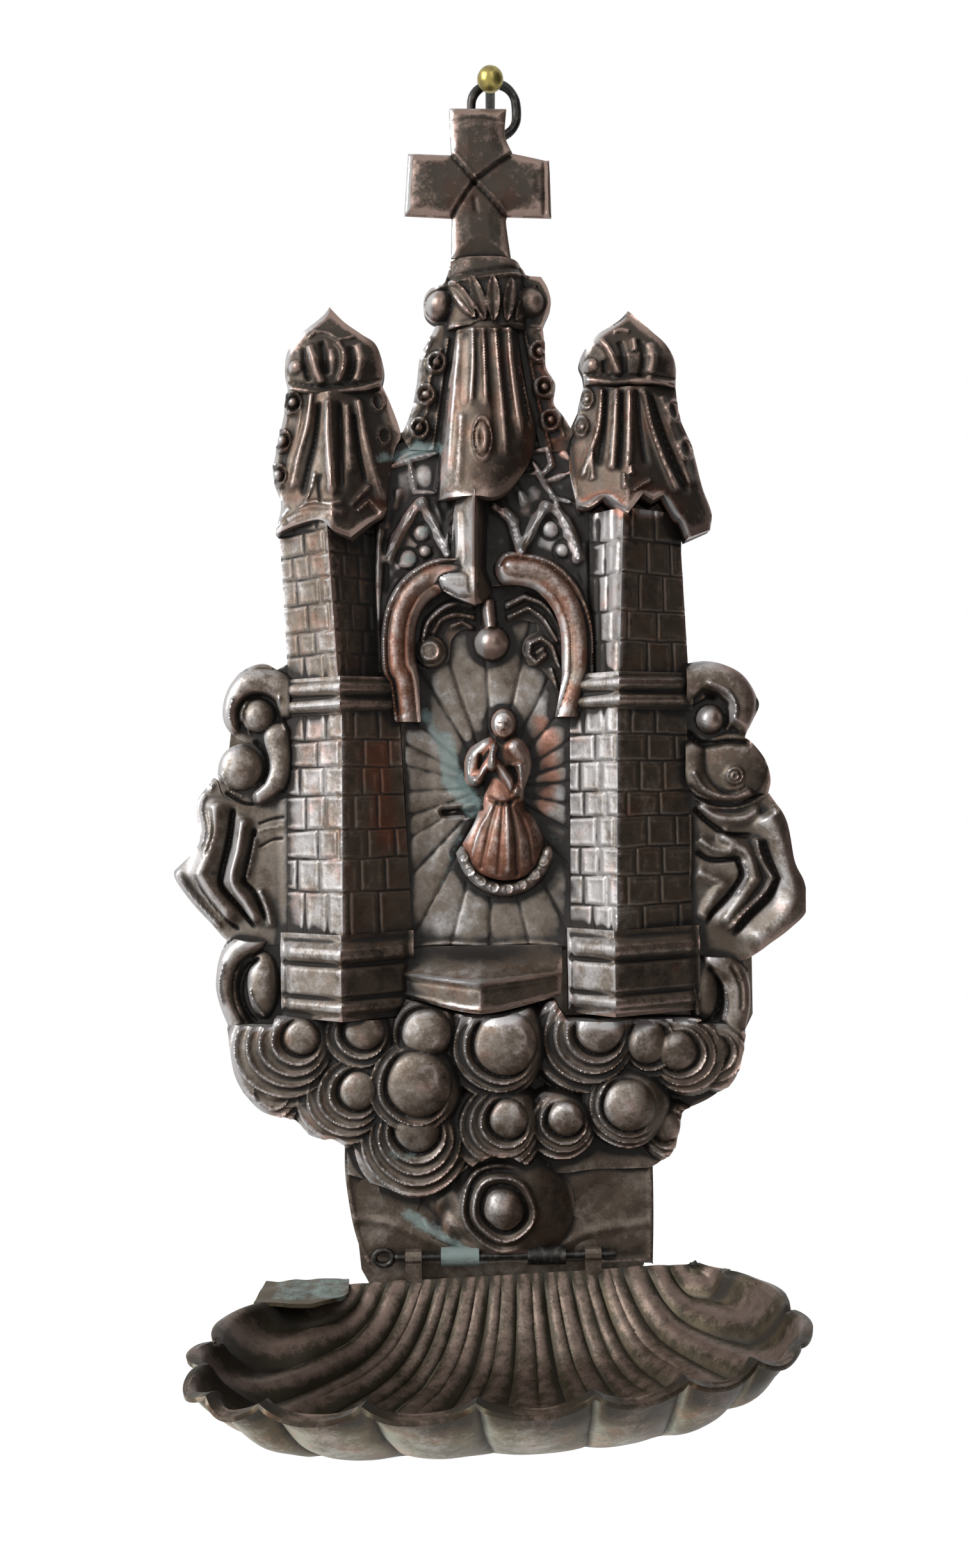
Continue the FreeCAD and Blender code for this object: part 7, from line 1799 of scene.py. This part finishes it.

# %% [markdown]
# ## Finishes
#
# Every metal here is written as a small sum of sockets. The copper runs from nearly black over
# brown and a stony grey to silver, by how pale the place is, with painted light on faces that look
# left and painted shade on those that look right; then comes a red cast in patches, the rub on the
# crests, silver as a painted highlight where they look left, the dark patina and painted shade in
# the hollows, and last the verdigris where water sat.

# %% A socket that can be added and multiplied
class Sock:
    """One socket of a node tree; sums and products of sockets make the nodes for it."""
    tree = None

    def __init__(self, socket):
        self.socket = socket

    @classmethod
    def node(cls, kind, settings=None, out=0, **values):
        made = cls.tree.nodes.new(kind)
        for key, value in (settings or {}).items():
            setattr(made, key, value)
        for key, value in values.items():
            key = int(key[1:]) if key[0] == "i" and key[1:].isdigit() else key.replace("_", " ")
            target = made.inputs[key]
            if isinstance(value, Sock):
                cls.tree.links.new(value.socket, target)
            else:
                target.default_value = value
        return Sock(made.outputs[out])

    def maths(self, operation, *others, clamp=False):
        values = {"i%d" % k: v for k, v in enumerate((self,) + others)}
        return Sock.node("ShaderNodeMath", {"operation": operation, "use_clamp": clamp}, **values)

    def __add__(self, other):
        return self.maths("ADD", other)

    def __radd__(self, other):
        return self.maths("ADD", other)

    def __sub__(self, other):
        return self.maths("SUBTRACT", other)

    def __rsub__(self, other):
        return (self * -1.0) + other

    def __mul__(self, other):
        return self.maths("MULTIPLY", other)

    def __rmul__(self, other):
        return self.maths("MULTIPLY", other)

    def ramp(self, low, high):
        """0 below low, 1 above high, smooth between."""
        return Sock.node("ShaderNodeMapRange", {"interpolation_type": "SMOOTHSTEP"}, Value=self,
                         From_Min=low, From_Max=high)

    def mix(self, a, b, blend="MIX"):
        """Colour a at 0, colour b (or a times b) at 1."""
        return Sock.node("ShaderNodeMix", {"data_type": "RGBA", "blend_type": blend}, out=2,
                         i0=self, i6=a if isinstance(a, Sock) else (*a, 1.0),
                         i7=b if isinstance(b, Sock) else (*b, 1.0))


def noise_at(scale, detail=3.0, rough=0.55, stretch=(1, 1, 1), shift=0.0):
    """Noise in the piece's own millimetres."""
    place = Sock.node("ShaderNodeTexCoord", out=3)
    place = Sock.node("ShaderNodeMapping", Vector=place, Location=(shift, shift, shift),
                      Scale=tuple(s / MM for s in stretch))
    return Sock.node("ShaderNodeTexNoise", out=0, Vector=place, Scale=1.0 / scale, Detail=detail,
                     Roughness=rough)


def begin(name):
    material = bpy.data.materials.new(name)
    material.use_nodes = True
    Sock.tree = material.node_tree
    shader = Sock.tree.nodes["Principled BSDF"]
    return material, shader


def feed(shader, **values):
    for key, value in values.items():
        target = shader.inputs[key.replace("_", " ")]
        if isinstance(value, Sock):
            Sock.tree.links.new(value.socket, target)
        else:
            target.default_value = value


# DARK is the colour of the hollows: dark patina and painted shade together
DARK, NIGHT = (0.013, 0.010, 0.008), (0.038, 0.029, 0.022)
BROWN, STONE = (0.092, 0.068, 0.050), (0.185, 0.155, 0.127)
SILVER, PINK = (0.42, 0.405, 0.40), (0.25, 0.175, 0.145)
VERDIGRIS, RUDDY = (0.31, 0.43, 0.42), (1.40, 0.78, 0.62)
VALUES = ("crest", "hollow", "lit", "tone", "warm", "green")


def copper(name, tone=0.0, warm=0.0, green=0.0, rub=1.0, dark=1.0, turn=0.6,
           cast=(1.0, 1.0, 1.0)):
    material, shader = begin(name)
    crest, hollow, lit, local, ruddy, crust = (
        Sock.node("ShaderNodeAttribute", {"attribute_name": key}, out=2) for key in VALUES)
    broad, fine, grit = noise_at(11.0), noise_at(2.6, shift=7.0), noise_at(0.7, shift=3.0)
    # lit * turn paints light and shade: faces that look left paler, faces that look right darker
    pale = lit * turn + local + (broad - 0.5) * 1.3 + (fine - 0.5) + (grit - 0.5) * 0.5 + tone
    colour = Sock.mix(pale.ramp(-0.75, -0.05), NIGHT, BROWN)
    colour = Sock.mix(pale.ramp(-0.05, 0.45), colour, STONE)
    colour = Sock.mix(pale.ramp(0.40, 1.05), colour, SILVER)
    red = (ruddy + (noise_at(7.0, shift=31.0) - 0.5) * 1.9 + warm).ramp(0.0, 1.0)
    colour = Sock.mix(red, colour, RUDDY, "MULTIPLY")
    colour = Sock.mix(1.0, colour, cast, "MULTIPLY")
    wear = crest + (fine - 0.5) * 0.9 + (grit - 0.5) * 0.6 - hollow * 0.10
    rubbed = wear.ramp(0.10, 0.75) * rub
    # the rub is silver where the face looks left, a painted highlight, and pink elsewhere
    colour = Sock.mix(rubbed, colour, Sock.mix((lit + local).ramp(-0.3, 0.6), PINK, SILVER))
    # the dark in the hollows is dark patina and painted shade together
    hollow_patina_and_shade = (hollow * 0.45 - crest * 1.5 + (fine - 0.5) * 0.8).ramp(0.30, 1.20) * dark
    colour = Sock.mix(hollow_patina_and_shade, colour, DARK)
    bloom = (crust + (noise_at(4.0, shift=21.0) - 0.5) * 1.3 + (grit - 0.5) * 0.5
             + hollow * 0.06 + green).ramp(0.35, 0.95)
    colour = Sock.mix(bloom * 0.55, colour, VERDIGRIS)
    feed(shader, Base_Color=colour, Metallic=0.62 - hollow_patina_and_shade * 0.30 - bloom * 0.5,
         Roughness=0.50 - rubbed * 0.14 + (fine - 0.5) * 0.25 + hollow_patina_and_shade * 0.15 + bloom * 0.2)
    relief_normal = Sock.node("ShaderNodeBump", Height=fine * 0.6 + grit * 0.4, Strength=0.28,
                              Distance=0.5 * MM)
    feed(shader, Normal=relief_normal)
    return material


FINISH = {
    "plate_copper": copper("old copper sheet", tone=0.12, warm=-0.3, green=0.05),
    "relief_copper": copper("embossed copper"),
    "brick_copper": copper("bricked copper", turn=0.62),
    "basin_copper": copper("shell copper", tone=-0.12, warm=-0.35, rub=0.6, dark=0.8,
                           cast=(0.92, 0.95, 0.76)),
    "verdigris_copper": copper("verdigrised copper", green=0.9),
}

# %% Wire and brass
material, shader = begin("blackened wire")
speck = noise_at(1.4)
feed(shader, Base_Color=Sock.mix(speck.ramp(0.45, 0.75), (0.030, 0.028, 0.026),
                                 (0.105, 0.095, 0.085)),
     Metallic=0.75, Roughness=0.42 + (speck - 0.5) * 0.3)
FINISH["dark_wire"] = material
material, shader = begin("tarnished brass")
speck = noise_at(1.8)
feed(shader, Base_Color=Sock.mix(speck.ramp(0.35, 0.7), (0.36, 0.29, 0.085), (0.20, 0.165, 0.06)),
     Metallic=0.8, Roughness=0.34 + (speck - 0.5) * 0.25)
FINISH["brass"] = material

# %% Put the finishes on: the made pieces, and the solids that still show
SLOTS = {part["node"]: part["material_slot"] for part in frame["record"]["subparts"]}
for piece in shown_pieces():
    if piece.type != "MESH":
        continue
    slot_name = piece.get("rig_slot") or SLOTS[piece["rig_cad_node"]]
    if piece.get("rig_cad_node") and piece.material_slots:
        for place in piece.material_slots:
            place.link = "OBJECT"
            place.material = FINISH[slot_name]
    elif piece.get("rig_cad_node"):
        piece.data.materials.append(FINISH[slot_name])
    else:
        piece.data.materials.clear()
        piece.data.materials.append(FINISH[slot_name])
    print(piece.name, "->", slot_name)

# %% [markdown]
# ## Floor, light and camera
#
# The stoup hangs in front of nothing, over a pale floor. One large soft lamp stands far round
# to the left, so that every left face of the relief catches it and every right face stays dark.
# A weak lamp from the right front opens the shadows.

# %% The floor and the world
def seen():
    """1 for rays that look at the background: of the camera, and in mirrors and glass."""
    path = Sock.tree.nodes.new("ShaderNodeLightPath")
    return Sock(path.outputs["Is Camera Ray"]).maths(
        "MAXIMUM", Sock(path.outputs["Is Glossy Ray"])).maths(
        "MAXIMUM", Sock(path.outputs["Is Transmission Ray"]))


FLOOR_Z = -0.32      # metres, just below the basin
bpy.ops.mesh.primitive_grid_add(x_subdivisions=2, y_subdivisions=2, size=6.0,
                                location=(0, 0, FLOOR_Z))
floor = bpy.context.object
floor.name = "floor"
material, shader = begin("pale floor")
feed(shader, Base_Color=(0.9, 0.9, 0.9, 1.0), Roughness=0.9)
feed(shader, Emission_Color=(1.0, 1.0, 1.0, 1.0))
white = Sock.tree.nodes.new("ShaderNodeEmission")
white.inputs["Color"].default_value = (1.0, 1.0, 1.0, 1.0)
white.inputs["Strength"].default_value = 1.12
blend = Sock.tree.nodes.new("ShaderNodeMixShader")
Sock.tree.links.new((seen() * 0.86).socket, blend.inputs[0])
Sock.tree.links.new(shader.outputs[0], blend.inputs[1])
Sock.tree.links.new(white.outputs[0], blend.inputs[2])
Sock.tree.links.new(blend.outputs[0], Sock.tree.nodes["Material Output"].inputs["Surface"])
floor.data.materials.append(material)
world = bpy.data.worlds.new("studio")
bpy.context.scene.world = world
world.use_nodes = True
Sock.tree = world.node_tree
background = Sock.tree.nodes["Background"]
background.inputs["Color"].default_value = (1.0, 1.0, 1.0, 1.0)
Sock.tree.links.new((seen() * 0.78 + 0.22).socket, background.inputs["Strength"])

# %% The lamps
AIM = Vector((0.0, -0.02, 0.12))


def lamp(name, azimuth, elevation, distance, width, height, power):
    """Area lamp that looks at the middle of the stoup."""
    a, e = math.radians(azimuth), math.radians(elevation)
    place = AIM + distance * Vector((math.sin(a) * math.cos(e), -math.cos(a) * math.cos(e),
                                     math.sin(e)))
    bpy.ops.object.light_add(type="AREA", location=place)
    made = bpy.context.object
    made.name = name
    made.data.shape = "RECTANGLE"
    made.data.size, made.data.size_y = width, height
    made.data.energy = power
    made.rotation_euler = (AIM - place).to_track_quat("-Z", "Y").to_euler()
    return made


lamp("key", azimuth=-60, elevation=24, distance=1.0, width=0.6, height=0.8, power=12.5)
lamp("fill", azimuth=30, elevation=25, distance=1.6, width=1.2, height=1.2, power=10.0)

# %% A dark flag on the right, so that the right faces mirror something dark
bpy.ops.mesh.primitive_grid_add(x_subdivisions=2, y_subdivisions=2, size=1.6,
                                location=(0.75, -0.35, 0.2), rotation=(0, math.radians(90),
                                                                       math.radians(-25)))
flag = bpy.context.object
flag.name = "flag"
flag.visible_camera = False
material, shader = begin("black cloth")
feed(shader, Base_Color=(0.08, 0.075, 0.07, 1.0), Roughness=1.0)
flag.data.materials.append(material)

# %% The camera
bpy.ops.object.camera_add(location=(-0.96 * MM, -420 * MM, 117 * MM))
camera = bpy.context.object
camera.rotation_euler = (math.radians(90), math.radians(1.0), 0)
camera.data.sensor_fit = "AUTO"
camera.data.sensor_width = 36.0
camera.data.lens = 38.57
camera.data.clip_start, camera.data.clip_end = 0.01, 20.0
bpy.context.scene.camera = camera
bpy.context.scene.view_settings.view_transform = "Standard"

# %% Sizes
print("CAD box", [[round(c / MM, 1) for c in v] for v in CAD_BOX])
